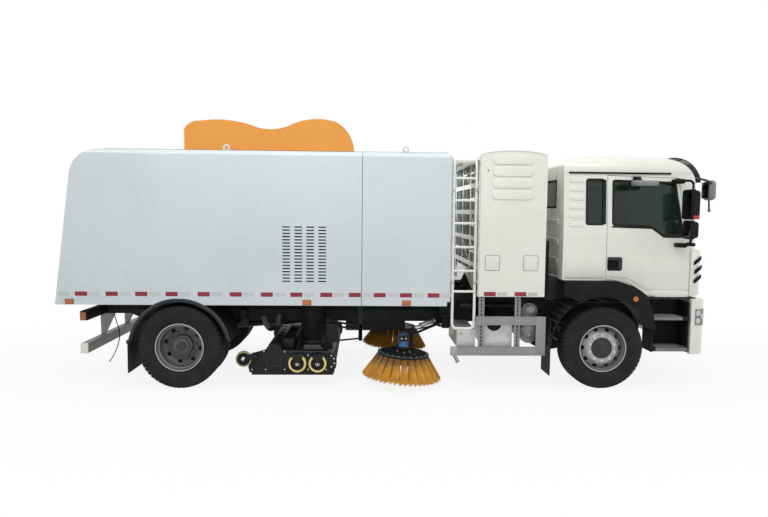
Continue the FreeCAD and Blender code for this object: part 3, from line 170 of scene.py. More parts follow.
def settle(obj: Obj, name: str) -> Obj:
    """Name a new object and put its place, turn and size into its mesh.

    Args:
        obj: a mesh object.
        name: its name.

    Returns:
        The same object, at the origin.
    """
    pick(obj)
    obj.name = name
    bpy.ops.object.transform_apply(location=True, rotation=True, scale=True)
    return obj


def apply_modifier(obj: Obj, kind: str, **settings: object) -> Obj:
    """Add a modifier with these settings and apply it.

    Args:
        obj: a mesh object.
        kind: the modifier's type, such as BEVEL.
        settings: the modifier's properties by name.

    Returns:
        The same object.
    """
    pick(obj)
    modifier = obj.modifiers.new(kind.lower(), kind)
    for key, value in settings.items():
        setattr(modifier, key, value)
    bpy.ops.object.modifier_apply(modifier=modifier.name)
    return obj


def rounded(obj: Obj, width: float, segments: int = 2, angle: float = 35.0) -> Obj:
    """Round the edges that are sharper than an angle in degrees."""
    return apply_modifier(obj, "BEVEL", width=width, segments=segments,
                          limit_method="ANGLE", angle_limit=math.radians(angle))


def block(name: str, low: Point, high: Point, edge: float = 0.0, segments: int = 2) -> Obj:
    """Block between two corners, with its edges rounded.

    Args:
        name: the object's name.
        low: one corner.
        high: the opposite corner.
        edge: radius of the edges, or 0 for sharp ones.
        segments: faces across a rounded edge.

    Returns:
        The block.
    """
    nothing_picked()
    a, b = Vector(low), Vector(high)
    bpy.ops.mesh.primitive_cube_add(size=1.0, location=(a + b) / 2)
    obj = bpy.context.object
    obj.scale = [max(abs(n), 1e-5) for n in b - a]
    settle(obj, name)
    return rounded(obj, edge, segments) if edge else obj


def drum(name: str, start: Point, end: Point, radius: float, edge: float = 0.0,
         sides: int = 32, taper: float = 1.0) -> Obj:
    """Round bar or disc from one point to another.

    Args:
        name: the object's name.
        start: centre of the first end.
        end: centre of the other end.
        radius: radius at the start.
        edge: radius of the rims, or 0 for sharp ones.
        sides: faces around.
        taper: the end's radius as a share of the start's.

    Returns:
        The bar.
    """
    nothing_picked()
    a, b = Vector(start), Vector(end)
    run = b - a
    bpy.ops.mesh.primitive_cone_add(vertices=sides, radius1=radius, radius2=radius * taper,
                                    depth=run.length, location=(a + b) / 2,
                                    rotation=run.to_track_quat("Z", "Y").to_euler())
    obj = settle(bpy.context.object, name)
    return rounded(obj, edge) if edge else obj


def edit_all() -> None:
    """Open the active mesh for editing with every vertex selected."""
    bpy.ops.object.mode_set(mode="EDIT")
    bpy.ops.mesh.select_mode(type="VERT")
    bpy.ops.mesh.select_all(action="SELECT")


def lone_vertex(name: str, place: Point) -> Obj:
    """Object with one vertex, from which edges are extruded.

    Args:
        name: the object's name.
        place: where the vertex stands.

    Returns:
        The object, in edit mode.
    """
    nothing_picked()
    bpy.ops.mesh.primitive_plane_add(size=0.01, location=place)
    obj = settle(bpy.context.object, name)
    edit_all()
    bpy.ops.mesh.merge(type="CENTER")
    return obj


def turned(name: str, section: Outline, centre: Point, axis: Point, steps: int = 48,
           closed: bool = False) -> Obj:
    """Ring or bowl turned about an axis, as on a lathe.

    Args:
        name: the object's name.
        section: pairs of radius and distance along the axis.
        centre: the point on the axis where that distance is 0.
        axis: direction of the axis.
        steps: faces around.
        closed: join the last pair to the first, as for a ring.

    Returns:
        The turned shape with its normals outwards.
    """
    along, middle = Vector(axis).normalized(), Vector(centre)
    out = along.orthogonal().normalized()
    places = [middle + out * radius + along * reach for radius, reach in section]
    if closed:
        places.append(places[0])
    obj = lone_vertex(name, places[0])
    for here, there in zip(places, places[1:]):
        bpy.ops.mesh.extrude_region_move(TRANSFORM_OT_translate={"value": there - here})
    bpy.ops.mesh.select_all(action="SELECT")
    bpy.ops.mesh.spin(steps=steps, angle=math.tau, center=middle, axis=along)
    bpy.ops.mesh.select_all(action="SELECT")
    bpy.ops.mesh.remove_doubles(threshold=1e-5)
    bpy.ops.mesh.normals_make_consistent(inside=False)
    bpy.ops.object.mode_set(mode="OBJECT")
    return obj


class Face(Enum):
    """The way a flat outline faces: its two drawing axes and the axis it is thick along."""

    SIDE = (Vector((1, 0, 0)), Vector((0, 0, 1)), Vector((0, 1, 0)))
    FRONT = (Vector((0, 1, 0)), Vector((0, 0, 1)), Vector((1, 0, 0)))
    PLAN = (Vector((1, 0, 0)), Vector((0, 1, 0)), Vector((0, 0, 1)))


def plate(name: str, corners: Outline, face: Face, low: float, high: float, edge: float = 0.0,
          corner_radius: float = 0.0, segments: int = 2, rim: float = 0.0) -> Obj:
    """Plate cut to an outline.

    Args:
        name: the object's name.
        corners: the outline's corners on the face's two drawing axes.
        face: the way it faces.
        low: where its thickness starts.
        high: where its thickness ends.
        edge: radius of its edges.
        corner_radius: radius of the outline's corners.
        segments: faces across a rounded edge.
        rim: width of the frame that is left when the middle is cut out, or 0.

    Returns:
        The plate.
    """
    across, up, thick = face.value
    nothing_picked()
    bpy.ops.mesh.primitive_circle_add(vertices=len(corners), radius=1.0, fill_type="NGON")
    obj = settle(bpy.context.object, name)
    for vertex, (a, b) in zip(obj.data.vertices, corners):
        vertex.co = across * a + up * b + thick * low
    edit_all()
    if corner_radius:
        bpy.ops.mesh.bevel(offset=corner_radius, segments=5, affect="VERTICES")
        bpy.ops.mesh.select_all(action="SELECT")
    if rim:
        bpy.ops.mesh.select_mode(type="FACE")
        bpy.ops.mesh.inset(thickness=rim)
        bpy.ops.mesh.delete(type="FACE")
        bpy.ops.mesh.select_mode(type="VERT")
        bpy.ops.mesh.select_all(action="SELECT")
    bpy.ops.mesh.extrude_region_move(TRANSFORM_OT_translate={"value": thick * (high - low)})
    bpy.ops.mesh.select_all(action="SELECT")
    bpy.ops.mesh.normals_make_consistent(inside=False)
    bpy.ops.object.mode_set(mode="OBJECT")
    return rounded(obj, edge, segments) if edge else obj


def routed(points: Sequence[Point], radius: float, steps: int, rounding: int) -> Obj:
    """Curve with a round section, drawn smoothly near the points of a route.

    Args:
        points: the route.
        radius: radius of its section.
        steps: divisions of each span.
        rounding: how finely the section is rounded.

    Returns:
        The curve's object, at the origin.
    """
    nothing_picked()
    bpy.ops.curve.primitive_nurbs_path_add(location=(0, 0, 0))
    obj = bpy.context.object
    curve = obj.data
    curve.splines.clear()
    spline = curve.splines.new("NURBS")
    spline.points.add(len(points) - 1)
    for knot, place in zip(spline.points, points):
        knot.co = (*place, 1.0)
    spline.order_u = 3
    spline.use_endpoint_u = True
    curve.dimensions = "3D"
    curve.resolution_u = steps
    curve.bevel_depth = radius
    curve.bevel_resolution = rounding
    curve.use_fill_caps = True
    return obj


def pipe(name: str, points: Sequence[Point], radius: float, sides: int = 6) -> Obj:
    """Bar, hose or wire that follows a route.

    Args:
        name: the object's name.
        points: the route.
        radius: radius of its section.
        sides: how finely the section is rounded.

    Returns:
        The pipe as a mesh with closed ends.
    """
    pick(routed(points, radius, 6, sides // 2 - 1))
    bpy.ops.object.convert(target="MESH")
    obj = settle(bpy.context.object, name)
    edit_all()
    bpy.ops.mesh.remove_doubles(threshold=1e-6)
    bpy.ops.mesh.normals_make_consistent(inside=False)
    bpy.ops.object.mode_set(mode="OBJECT")
    return obj


def copy_at(obj: Obj, name: str, place: Matrix) -> Obj:
    """Copy with its own mesh, moved by a matrix.

    Args:
        obj: the piece to copy.
        name: the copy's name.
        place: the move, which may mirror.

    Returns:
        The copy.
    """
    twin = obj.copy()
    twin.data = obj.data.copy()
    twin.name = name
    bpy.context.collection.objects.link(twin)
    twin.data.transform(place)
    if place.determinant() < 0:
        twin.data.flip_normals()
    return twin


def moved(obj: Obj, place: Matrix) -> Obj:
    """The piece itself, its mesh carried by a matrix that doesn't mirror."""
    obj.data.transform(place)
    return obj


def joined(name: str, parts: Sequence[Obj]) -> Obj:
    """One object of several.

    Args:
        name: the object's name.
        parts: the objects, which are used up.

    Returns:
        The joined object.
    """
    pick(*parts)
    if len(parts) > 1:
        bpy.ops.object.join()
    obj = bpy.context.view_layer.objects.active
    obj.name = name
    return obj


def repeated(obj: Obj, name: str, places: Iterable[Matrix]) -> Obj:
    """Copies of one piece as one object; the first is used up.

    Args:
        obj: the piece that repeats.
        name: the new object's name.
        places: a move for each copy.

    Returns:
        The copies, joined.
    """
    twins = [copy_at(obj, name, place) for place in places]
    bpy.data.objects.remove(obj)
    return joined(name, twins)


def shift(x: float = 0.0, y: float = 0.0, z: float = 0.0) -> Matrix:
    """Move along the axes."""
    return Matrix.Translation((x, y, z))


def about(centre: Point, axis: str | Vector, degrees: float) -> Matrix:
    """Turn about a line through a point.

    Args:
        centre: a point on the line.
        axis: X, Y, Z or the line's direction.
        degrees: how far to turn.

    Returns:
        The turn.
    """
    middle = Vector(centre)
    turn = Matrix.Rotation(math.radians(degrees), 4, axis)
    return Matrix.Translation(middle) @ turn @ Matrix.Translation(-middle)


MIRROR = Matrix.Scale(-1, 4, (0, 1, 0))


def both(obj: Obj) -> Obj:
    """The piece and its mirror image on the other side, as one object."""
    return joined(obj.name, [obj, copy_at(obj, obj.name, MIRROR)])


def for_side(obj: Obj, side: Side) -> Obj:
    """Move a piece made for the right side to the side that it is for.

    Args:
        obj: the piece, modelled on the right.
        side: its own side.

    Returns:
        The same object.
    """
    if side is Side.LEFT:
        obj.data.transform(MIRROR)
        obj.data.flip_normals()
    return obj


def band(count: int, start: float, end: float) -> list[float]:
    """Evenly spaced values from start to end."""
    return [start + (end - start) * n / max(count - 1, 1) for n in range(count)]


# --- finishes ----------------------------------------------------------------
def new_group(name: str, inputs: dict[str, tuple[str, object]], outputs: dict[str, str]) -> tuple:
    """Empty shader node group with named sockets.

    Args:
        name: the group's name.
        inputs: socket type and default value by name.
        outputs: socket type by name.

    Returns:
        The group, its input node and its output node.
    """
    group = bpy.data.node_groups.new(name, "ShaderNodeTree")
    for key, (kind, value) in inputs.items():
        group.interface.new_socket(key, in_out="INPUT", socket_type=kind).default_value = value
    for key, kind in outputs.items():
        group.interface.new_socket(key, in_out="OUTPUT", socket_type=kind)
    return group, group.nodes.new("NodeGroupInput"), group.nodes.new("NodeGroupOutput")


class Wiring:
    """Short ways to add and link the nodes of one tree."""

    def __init__(self, tree: bpy.types.NodeTree) -> None:
        """Keep the tree that the nodes go into."""
        self.tree = tree

    def node(self, kind: str, **values: object) -> Node:
        """Add a node.

        Args:
            kind: the node's type.
            values: properties by name; in_0, in_1 and so on are the node's inputs,
                linked when the value is a socket and set to it otherwise.

        Returns:
            The node.
        """
        node = self.tree.nodes.new(kind)
        for key, value in values.items():
            if not key.startswith("in_"):
                setattr(node, key, value)
        for key, value in values.items():
            if key.startswith("in_"):
                self.feed(node.inputs[int(key[3:])], value)
        return node

    def feed(self, socket: Socket, value: object) -> None:
        """Link an input to another socket, or set its default.

        Args:
            socket: the input.
            value: a socket, or the default's value.
        """
        if isinstance(value, Socket):
            self.tree.links.new(value, socket)
        else:
            socket.default_value = value

    def coords(self) -> Socket:
        """Coordinates that lie still on the piece."""
        return self.node("ShaderNodeTexCoord").outputs["Object"]

    def noise(self, coords: Socket, scale: object, detail: float = 3.0,
              rough: float = 0.55) -> Socket:
        """Noise over the coordinates.

        Args:
            coords: the coordinates.
            scale: waves a metre, or a socket that gives them.
            detail: octaves.
            rough: strength of each octave against the last.

        Returns:
            The noise's value.
        """
        node = self.node("ShaderNodeTexNoise")
        self.feed(node.inputs["Vector"], coords)
        self.feed(node.inputs["Scale"], scale)
        node.inputs["Detail"].default_value = detail
        node.inputs["Roughness"].default_value = rough
        return node.outputs["Fac"]

    def ramp(self, value: Socket, low: object, high: object, to_low: object = 0.0,
             to_high: object = 1.0) -> Socket:
        """Carry a value smoothly from one range to another.

        Args:
            value: the value.
            low: start of its range.
            high: end of its range.
            to_low: the result at the start.
            to_high: the result at the end.

        Returns:
            The result.
        """
        node = self.node("ShaderNodeMapRange", interpolation_type="SMOOTHSTEP")
        for socket, number in zip(node.inputs, (value, low, high, to_low, to_high)):
            self.feed(socket, number)
        return node.outputs[0]

    def math(self, kind: str, a: object, b: object = 0.0) -> Socket:
        """Sum, product or other function of two values."""
        return self.node("ShaderNodeMath", operation=kind, in_0=a, in_1=b).outputs[0]

    def mix(self, share: object, a: object, b: object) -> Socket:
        """Colour between two colours.

        Args:
            share: 0 for the first, 1 for the second.
            a: the first colour.
            b: the second colour.

        Returns:
            The mixed colour.
        """
        node = self.node("ShaderNodeMix", data_type="RGBA")
        self.feed(node.inputs[0], share)
        self.feed(node.inputs[6], a)
        self.feed(node.inputs[7], b)
        return node.outputs[2]


def weathering_group() -> bpy.types.NodeTree:
    """Colour that drifts over the surface and gathers road dust low down.

    Returns:
        The group, which gives the colour and the dust's mask.
    """
    group, given, out = new_group("weathering", {
        "Base": ("NodeSocketColor", (1, 1, 1, 1)), "Drifted": ("NodeSocketColor", (1, 1, 1, 1)),
        "Drift Scale": ("NodeSocketFloat", 2.0), "Dust": ("NodeSocketFloat", 0.2),
        "Dust Top": ("NodeSocketFloat", 1.4),
    }, {"Color": "NodeSocketColor", "Dust Mask": "NodeSocketFloat"})
    w = Wiring(group)
    coords = w.coords()
    drift = w.ramp(w.noise(coords, given.outputs["Drift Scale"], 4.0), 0.35, 0.68)
    colour = w.mix(drift, given.outputs["Base"], given.outputs["Drifted"])
    height = w.node("ShaderNodeSeparateXYZ", in_0=coords).outputs[2]
    low = w.ramp(height, given.outputs["Dust Top"], 0.05)
    patches = w.ramp(w.noise(coords, 5.5, 8.0, 0.68), 0.38, 0.72)
    fine = w.ramp(w.noise(coords, 90.0, 3.0), 0.3, 0.75, 0.55, 1.0)
    mask = w.math("MULTIPLY", w.math("MULTIPLY", low, patches), fine)
    mask = w.math("MULTIPLY", mask, given.outputs["Dust"])
    w.feed(out.inputs["Color"], w.mix(mask, colour, (0.235, 0.205, 0.165, 1)))
    w.feed(out.inputs["Dust Mask"], mask)
    return group


def grain_group() -> bpy.types.NodeTree:
    """Fine height for moulded grain, cast skin or the ripple of sprayed paint.

    Returns:
        The group, which gives an even height and one drawn into streaks.
    """
    group, given, out = new_group("grain", {
        "Scale": ("NodeSocketFloat", 300.0), "Second Scale": ("NodeSocketFloat", 40.0),
        "Second Share": ("NodeSocketFloat", 0.3),
    }, {"Height": "NodeSocketFloat", "Streak": "NodeSocketFloat"})
    w = Wiring(group)
    coords = w.coords()
    first = w.noise(coords, given.outputs["Scale"], 2.0)
    second = w.noise(coords, given.outputs["Second Scale"], 3.0)
    node = w.node("ShaderNodeMix", data_type="FLOAT")
    w.feed(node.inputs[0], given.outputs["Second Share"])
    w.feed(node.inputs[2], first)
    w.feed(node.inputs[3], second)
    w.feed(out.inputs["Height"], node.outputs[0])
    drawn = w.node("ShaderNodeMapping", in_3=(0.02, 1.0, 1.0), in_0=coords).outputs[0]
    w.feed(out.inputs["Streak"], w.noise(drawn, given.outputs["Scale"], 2.0))
    return group


GROUPS: dict[str, bpy.types.NodeTree] = {}


def group_node(w: Wiring, name: str, maker: Callable[[], bpy.types.NodeTree],
               values: dict[str, object]) -> Node:
    """Place a shared group in a material.

    Args:
        w: wiring of the material.
        name: the group's name.
        maker: builds the group the first time.
        values: this material's value for each input by name.

    Returns:
        The group's node.
    """
    if name not in GROUPS:
        GROUPS[name] = maker()
    node = w.node("ShaderNodeGroup", node_tree=GROUPS[name])
    for key, value in values.items():
        w.feed(node.inputs[key], value)
    return node


Colour = tuple[float, float, float]


@dataclass(frozen=True)
class Finish:
    """A surface: its colour, gloss, grain and how it weathers."""

    name: str
    slot: str
    base: Colour
    drifted: Colour
    roughness: float = 0.4
    metallic: float = 0.0
    coat: float = 0.0
    coat_roughness: float = 0.04
    drift_scale: float = 2.0
    dust: float = 0.15
    dust_top: float = 1.3
    grain_scale: float = 300.0
    grain_height: float = 0.0002
    second_scale: float = 30.0
    second_share: float = 0.3
    brushed: float = 0.0
    specular: float = 0.5
    transmission: float = 0.0
    alpha: float = 1.0
    ior: float = 1.45
    sheen: float = 0.0

    def material(self) -> bpy.types.Material:
        """Material of this finish, built once."""
        found = bpy.data.materials.get(self.name)
        return found if found else self.build()

    def build(self) -> bpy.types.Material:
        """Build the nodes of the finish.

        Returns:
            The new material.
        """
        made = bpy.data.materials.new(self.name)
        made.use_nodes = True
        w = Wiring(made.node_tree)
        shader = made.node_tree.nodes["Principled BSDF"]
        skin = group_node(w, "weathering", weathering_group, {
            "Base": (*self.base, 1), "Drifted": (*self.drifted, 1),
            "Drift Scale": self.drift_scale, "Dust": self.dust, "Dust Top": self.dust_top})
        grain = group_node(w, "grain", grain_group, {
            "Scale": self.grain_scale, "Second Scale": self.second_scale,
            "Second Share": self.second_share})
        self.colour(w, shader, skin, grain)
        bump = w.node("ShaderNodeBump")
        bump.inputs["Distance"].default_value = self.grain_height
        bump.inputs["Strength"].default_value = 1.0
        w.feed(bump.inputs["Height"], grain.outputs["Streak" if self.brushed else "Height"])
        w.feed(shader.inputs["Normal"], bump.outputs[0])
        for key, value in (("Metallic", self.metallic), ("Coat Weight", self.coat),
                           ("Coat Roughness", self.coat_roughness), ("IOR", self.ior),
                           ("Specular IOR Level", self.specular), ("Alpha", self.alpha),
                           ("Transmission Weight", self.transmission),
                           ("Sheen Weight", self.sheen)):
            shader.inputs[key].default_value = value
        return made

    def colour(self, w: Wiring, shader: Node, skin: Node, grain: Node) -> None:
        """Feed the shader's colour and roughness.

        Args:
            w: wiring of the material.
            shader: its Principled BSDF.
            skin: its weathering group.
            grain: its grain group.
        """
        w.feed(shader.inputs["Base Color"], skin.outputs["Color"])
        spread = 0.05 + 0.35 * self.brushed
        rough = w.ramp(grain.outputs["Streak" if self.brushed else "Height"], 0.3, 0.7,
                       max(self.roughness - spread, 0.02), min(self.roughness + spread, 1.0))
        dusty = w.math("MULTIPLY", skin.outputs["Dust Mask"], 0.5)
        w.feed(shader.inputs["Roughness"], w.math("MINIMUM", w.math("ADD", rough, dusty), 0.95))


@dataclass(frozen=True)
class Bristle(Finish):
    """Plastic bristle, painted darker towards the disc as shade under it."""

    # Colour of the painted shade at the bristles' roots, under the disc.
    root: Colour = (0.13, 0.055, 0.007)
    tip_z: float = 0.10
    root_z: float = 0.38

    def colour(self, w: Wiring, shader: Node, skin: Node, grain: Node) -> None:
        """Paint shade on the bristles: darker towards the disc.

        Args:
            w: wiring of the material.
            shader: its Principled BSDF.
            skin: its weathering group.
            grain: its grain group.
        """
        super().colour(w, shader, skin, grain)
        coords = w.coords()
        height = w.node("ShaderNodeSeparateXYZ", in_0=coords).outputs[2]
        # Painted shade: the colour goes over to the root colour from 0.1 m above the tips up to
        # root_z.
        share = w.ramp(height, self.tip_z + 0.1, self.root_z)
        w.feed(shader.inputs["Base Color"], w.mix(share, skin.outputs["Color"], (*self.root, 1)))


@dataclass(frozen=True)
class Woven(Finish):
    """Seat cloth with a small weave."""

    thread: float = 900.0

    def colour(self, w: Wiring, shader: Node, skin: Node, grain: Node) -> None:
        """Cross two sets of threads over the cloth's colour.

        Args:
            w: wiring of the material.
            shader: its Principled BSDF.
            skin: its weathering group.
            grain: its grain group.
        """
        super().colour(w, shader, skin, grain)
        coords = w.coords()
        threads = [
            w.node("ShaderNodeTexWave", bands_direction=way, in_0=coords, in_1=self.thread / 3)
            for way in ("Y", "Z")
        ]
        weave = w.math("MULTIPLY", threads[0].outputs[1], threads[1].outputs[1])
        shade = w.ramp(weave, 0.0, 1.0, 0.0, 0.5)
        pale = tuple(min(1.0, 2.2 * n + 0.03) for n in self.base)
        w.feed(shader.inputs["Base Color"], w.mix(shade, skin.outputs["Color"], (*pale, 1)))


@dataclass(frozen=True)
class Prismatic(Finish):
    """Reflective tape with its fine prism cells."""

    def colour(self, w: Wiring, shader: Node, skin: Node, grain: Node) -> None:
        """Lay a honeycomb of lighter lines over the tape.

        Args:
            w: wiring of the material.
            shader: its Principled BSDF.
            skin: its weathering group.
            grain: its grain group.
        """
        super().colour(w, shader, skin, grain)
        coords = w.coords()
        cells = w.node("ShaderNodeTexVoronoi", feature="DISTANCE_TO_EDGE", in_0=coords)
        cells.inputs["Scale"].default_value = 190.0
        cells.inputs["Randomness"].default_value = 0.12
        line = w.ramp(cells.outputs["Distance"], 0.09, 0.02, 0.0, 0.35)
        pale = tuple(min(1.0, n * 1.3 + 0.10) for n in self.base)
        w.feed(shader.inputs["Base Color"], w.mix(line, skin.outputs["Color"], (*pale, 1)))


BODY_PAINT = Finish("body_paint", "body_white", (0.53, 0.585, 0.61), (0.57, 0.62, 0.64), 0.30,
                    coat=0.6, dust=0.022, dust_top=1.5, grain_scale=55.0, grain_height=0.00012,
                    second_scale=3.0, second_share=0.6, drift_scale=0.7)
CAB_PAINT = Finish("cab_paint", "cab_white", (0.69, 0.70, 0.64), (0.72, 0.73, 0.67), 0.28,
                   coat=0.6, dust=0.05, dust_top=1.5, grain_scale=70.0, grain_height=0.0001,
                   second_scale=5.0, second_share=0.5, drift_scale=0.9)
ORANGE_PAINT = Finish("orange_paint", "fairing_orange", (0.66, 0.258, 0.024), (0.69, 0.275, 0.028),
                      0.42, coat=0.25, dust=0.05, grain_scale=80.0, grain_height=0.0002)
FRAME_PAINT = Finish("frame_paint", "frame_black", (0.013, 0.014, 0.016), (0.021, 0.022, 0.024),
                     0.5, specular=0.2, dust=0.13, dust_top=1.1, grain_scale=160.0,
                     grain_height=0.0004, drift_scale=5.0)
CAST_IRON = Finish("cast_iron", "axle_iron", (0.018, 0.018, 0.02), (0.035, 0.033, 0.032), 0.6,
                   metallic=0.2, dust=0.35, dust_top=1.0, grain_scale=220.0, grain_height=0.0009,
                   drift_scale=7.0)
# Light grey rim paint of the front wheels; on the dark rear rims the lip rings in it are painted
# highlights.
RIM_PAINT_AND_HIGHLIGHT = Finish("rim_paint_and_highlight", "steel_rim", (0.42, 0.42, 0.41), (0.36, 0.355, 0.345), 0.42,
                   metallic=0.45, dust=0.35, dust_top=1.1, grain_scale=180.0,
                   grain_height=0.0003, drift_scale=9.0)
# Dark rim steel of the rear wheels; on the front wheels' barrels the same dark is painted shade
# between lip and disc.
DARK_RIM_AND_SHADE = Finish("dark_rim_and_shade", "steel_rim", (0.10, 0.10, 0.10), (0.14, 0.135, 0.13), 0.55,
                  metallic=0.3, dust=0.45, dust_top=1.1, grain_scale=180.0, grain_height=0.0003)
TYRE = Finish("tread_rubber", "tyre_rubber", (0.012, 0.0135, 0.015), (0.017, 0.0185, 0.020), 0.78,
              dust=0.08, dust_top=1.2, grain_scale=380.0, grain_height=0.0006, drift_scale=6.0,
              specular=0.20)
MOULDED = Finish("moulded_plastic", "black_plastic", (0.008, 0.008, 0.009), (0.013, 0.013, 0.014),
                 0.6, specular=0.14, dust=0.07, dust_top=1.2, grain_scale=900.0,
                 grain_height=0.0004, drift_scale=4.0)
SMOOTH_PLASTIC = Finish("smooth_plastic", "black_plastic", (0.014, 0.015, 0.016),
                        (0.020, 0.021, 0.022), 0.30, dust=0.06, grain_scale=500.0,
                        grain_height=0.00015)
RUBBER = Finish("seal_rubber", "hose_rubber", (0.010, 0.010, 0.010), (0.018, 0.018, 0.018), 0.65,
                dust=0.10, grain_scale=600.0, grain_height=0.0004, specular=0.2)
# Dark green glass: partly its own tint, partly a painted reflection of dark green surroundings
# that darkens the panes.
GLASS = Finish("tinted_glass", "cab_glass", (0.075, 0.125, 0.098), (0.068, 0.112, 0.088), 0.02,
               dust=0.0, grain_scale=2.0, grain_height=0.00002, transmission=0.92,
               specular=0.23)
SMOKED = Finish("smoked_visor", "visor_smoke", (0.012, 0.013, 0.015), (0.017, 0.018, 0.020), 0.08,
                dust=0.02, grain_scale=20.0, grain_height=0.0001, transmission=0.25, alpha=0.93)
SEAT_CLOTH = Woven("seat_cloth", "seat_fabric", (0.035, 0.037, 0.042), (0.05, 0.052, 0.057), 0.85,
                   dust=0.02, grain_scale=600.0, grain_height=0.0005, sheen=0.3)
GOLD_BRISTLE = Bristle("gold_bristle", "bristle", (0.66, 0.320, 0.028), (0.52, 0.235, 0.018), 0.5,
                       dust=0.25, dust_top=0.25, grain_scale=260.0, grain_height=0.0008,
                       drift_scale=14.0)
CASTOR_YELLOW = Finish("castor_yellow", "castor_tread", (0.72, 0.60, 0.20), (0.62, 0.50, 0.17),
                       0.4, dust=0.30, dust_top=0.5, grain_scale=300.0, grain_height=0.0002)
BRIGHT_STEEL = Finish("bright_steel", "hydraulic_steel", (0.60, 0.60, 0.60), (0.50, 0.50, 0.49),
                      0.28, metallic=0.95, dust=0.12, grain_scale=500.0, grain_height=0.00008,
                      brushed=0.15)
ZINC = Finish("zinc_plate", "hydraulic_steel", (0.50, 0.50, 0.48), (0.40, 0.39, 0.35), 0.42,
              metallic=0.8, dust=0.3, grain_scale=300.0, grain_height=0.0002, drift_scale=20.0)
MOTOR_BLUE = Finish("motor_blue", "motor_case", (0.03, 0.13, 0.33), (0.05, 0.18, 0.42), 0.38,
                    dust=0.15, dust_top=0.9, grain_scale=200.0, grain_height=0.0003)
TAPE_RED = Prismatic("tape_red", "body_white", (0.20, 0.004, 0.011), (0.24, 0.005, 0.014), 0.36,
                     coat=0.15, dust=0.02, grain_scale=200.0, grain_height=0.0001)
TAPE_WHITE = Prismatic("tape_white", "body_white", (0.47, 0.50, 0.505), (0.42, 0.45, 0.455), 0.34,
                       coat=0.4, dust=0.05, grain_scale=200.0, grain_height=0.0001)
AMBER_LENS = Finish("amber_lens", "black_plastic", (0.52, 0.125, 0.012), (0.44, 0.10, 0.01), 0.16,
                    coat=0.5, dust=0.08, grain_scale=160.0, grain_height=0.0003)
RED_LENS = Finish("red_lens", "black_plastic", (0.45, 0.012, 0.012), (0.34, 0.01, 0.01), 0.15,
                  coat=0.5, dust=0.05, grain_scale=160.0, grain_height=0.0003)
CLEAR_LENS = Finish("clear_lens", "cab_glass", (0.80, 0.82, 0.84), (0.76, 0.78, 0.80), 0.06,
                    dust=0.03, grain_scale=90.0, grain_height=0.0004, transmission=0.9,
                    alpha=0.45, coat=0.3)
# Mirror glass nearly black: its colour is a painted reflection of dark surroundings, since the
# world shows white to glossy rays.
MIRROR_GLASS = Finish("mirror_glass", "cab_glass", (0.045, 0.048, 0.050), (0.040, 0.043, 0.045),
                      0.05, metallic=1.0, dust=0.02, grain_scale=3.0, grain_height=0.00003)
# Near black: painted shade in the vent slots, post slots, handle bowl, deflector gills and low
# pocket; also the dark of the joint lines and the lock's slot.
DEEP_SHADE = Finish("deep_shade", "black_plastic", (0.006, 0.006, 0.007), (0.010, 0.010, 0.010),
                    0.9, dust=0.1, grain_scale=100.0, grain_height=0.0003, specular=0.1)
PACK_PAINT = Finish("pack_paint", "motor_case", (0.36, 0.385, 0.365), (0.30, 0.325, 0.31), 0.5,
                    metallic=0.15, dust=0.15, dust_top=2.6, grain_scale=200.0,
                    grain_height=0.0003)
DASH_GREY = Finish("dash_grey", "black_plastic", (0.045, 0.047, 0.05), (0.06, 0.062, 0.065), 0.6,
                   dust=0.03, grain_scale=1200.0, grain_height=0.0004)
DULL_ALUMINIUM = Finish("dull_aluminium", "aluminium_bare", (0.27, 0.275, 0.27),
                        (0.23, 0.235, 0.23), 0.45, metallic=0.45, dust=0.22, grain_scale=420.0,
                        grain_height=0.0001, brushed=0.25, drift_scale=4.0)
NOZZLE_BLACK = Finish("nozzle_black", "frame_black", (0.007, 0.0075, 0.009), (0.012, 0.013, 0.014),
                      0.48, specular=0.25, dust=0.05, dust_top=0.8, grain_scale=180.0,
                      grain_height=0.0003, drift_scale=5.0)
BOX_PAINT = Finish("box_paint", "aluminium_bare", (0.66, 0.67, 0.66), (0.60, 0.61, 0.60), 0.35,
                   metallic=0.1, coat=0.2, dust=0.25, dust_top=1.0, grain_scale=60.0,
                   grain_height=0.0001)
GUARD_GREY = Finish("guard_grey", "black_plastic", (0.040, 0.046, 0.050), (0.052, 0.058, 0.062),
                    0.6, dust=0.2, grain_scale=400.0, grain_height=0.0003, specular=0.3)
MIRROR_GREY = Finish("mirror_grey", "black_plastic", (0.17, 0.175, 0.18), (0.20, 0.205, 0.21),
                     0.45, dust=0.05, grain_scale=700.0, grain_height=0.0003)
# Dark grey; as the ring on the brush disc's edge it is a painted highlight.
DISC_GREY = Finish("disc_grey", "bristle", (0.040, 0.042, 0.045), (0.060, 0.061, 0.063), 0.5,
                   dust=0.35, dust_top=0.6, grain_scale=160.0, grain_height=0.0005,
                   drift_scale=8.0)
CASTOR_DULL = Finish("castor_dull", "castor_tread", (0.27, 0.285, 0.13), (0.22, 0.235, 0.10), 0.5,
                     dust=0.25, dust_top=0.5, grain_scale=300.0, grain_height=0.0002)
HOSE_BROWN = Finish("hose_brown", "hose_rubber", (0.105, 0.098, 0.080), (0.075, 0.070, 0.058),
                    0.6, dust=0.3, grain_scale=350.0, grain_height=0.0003)

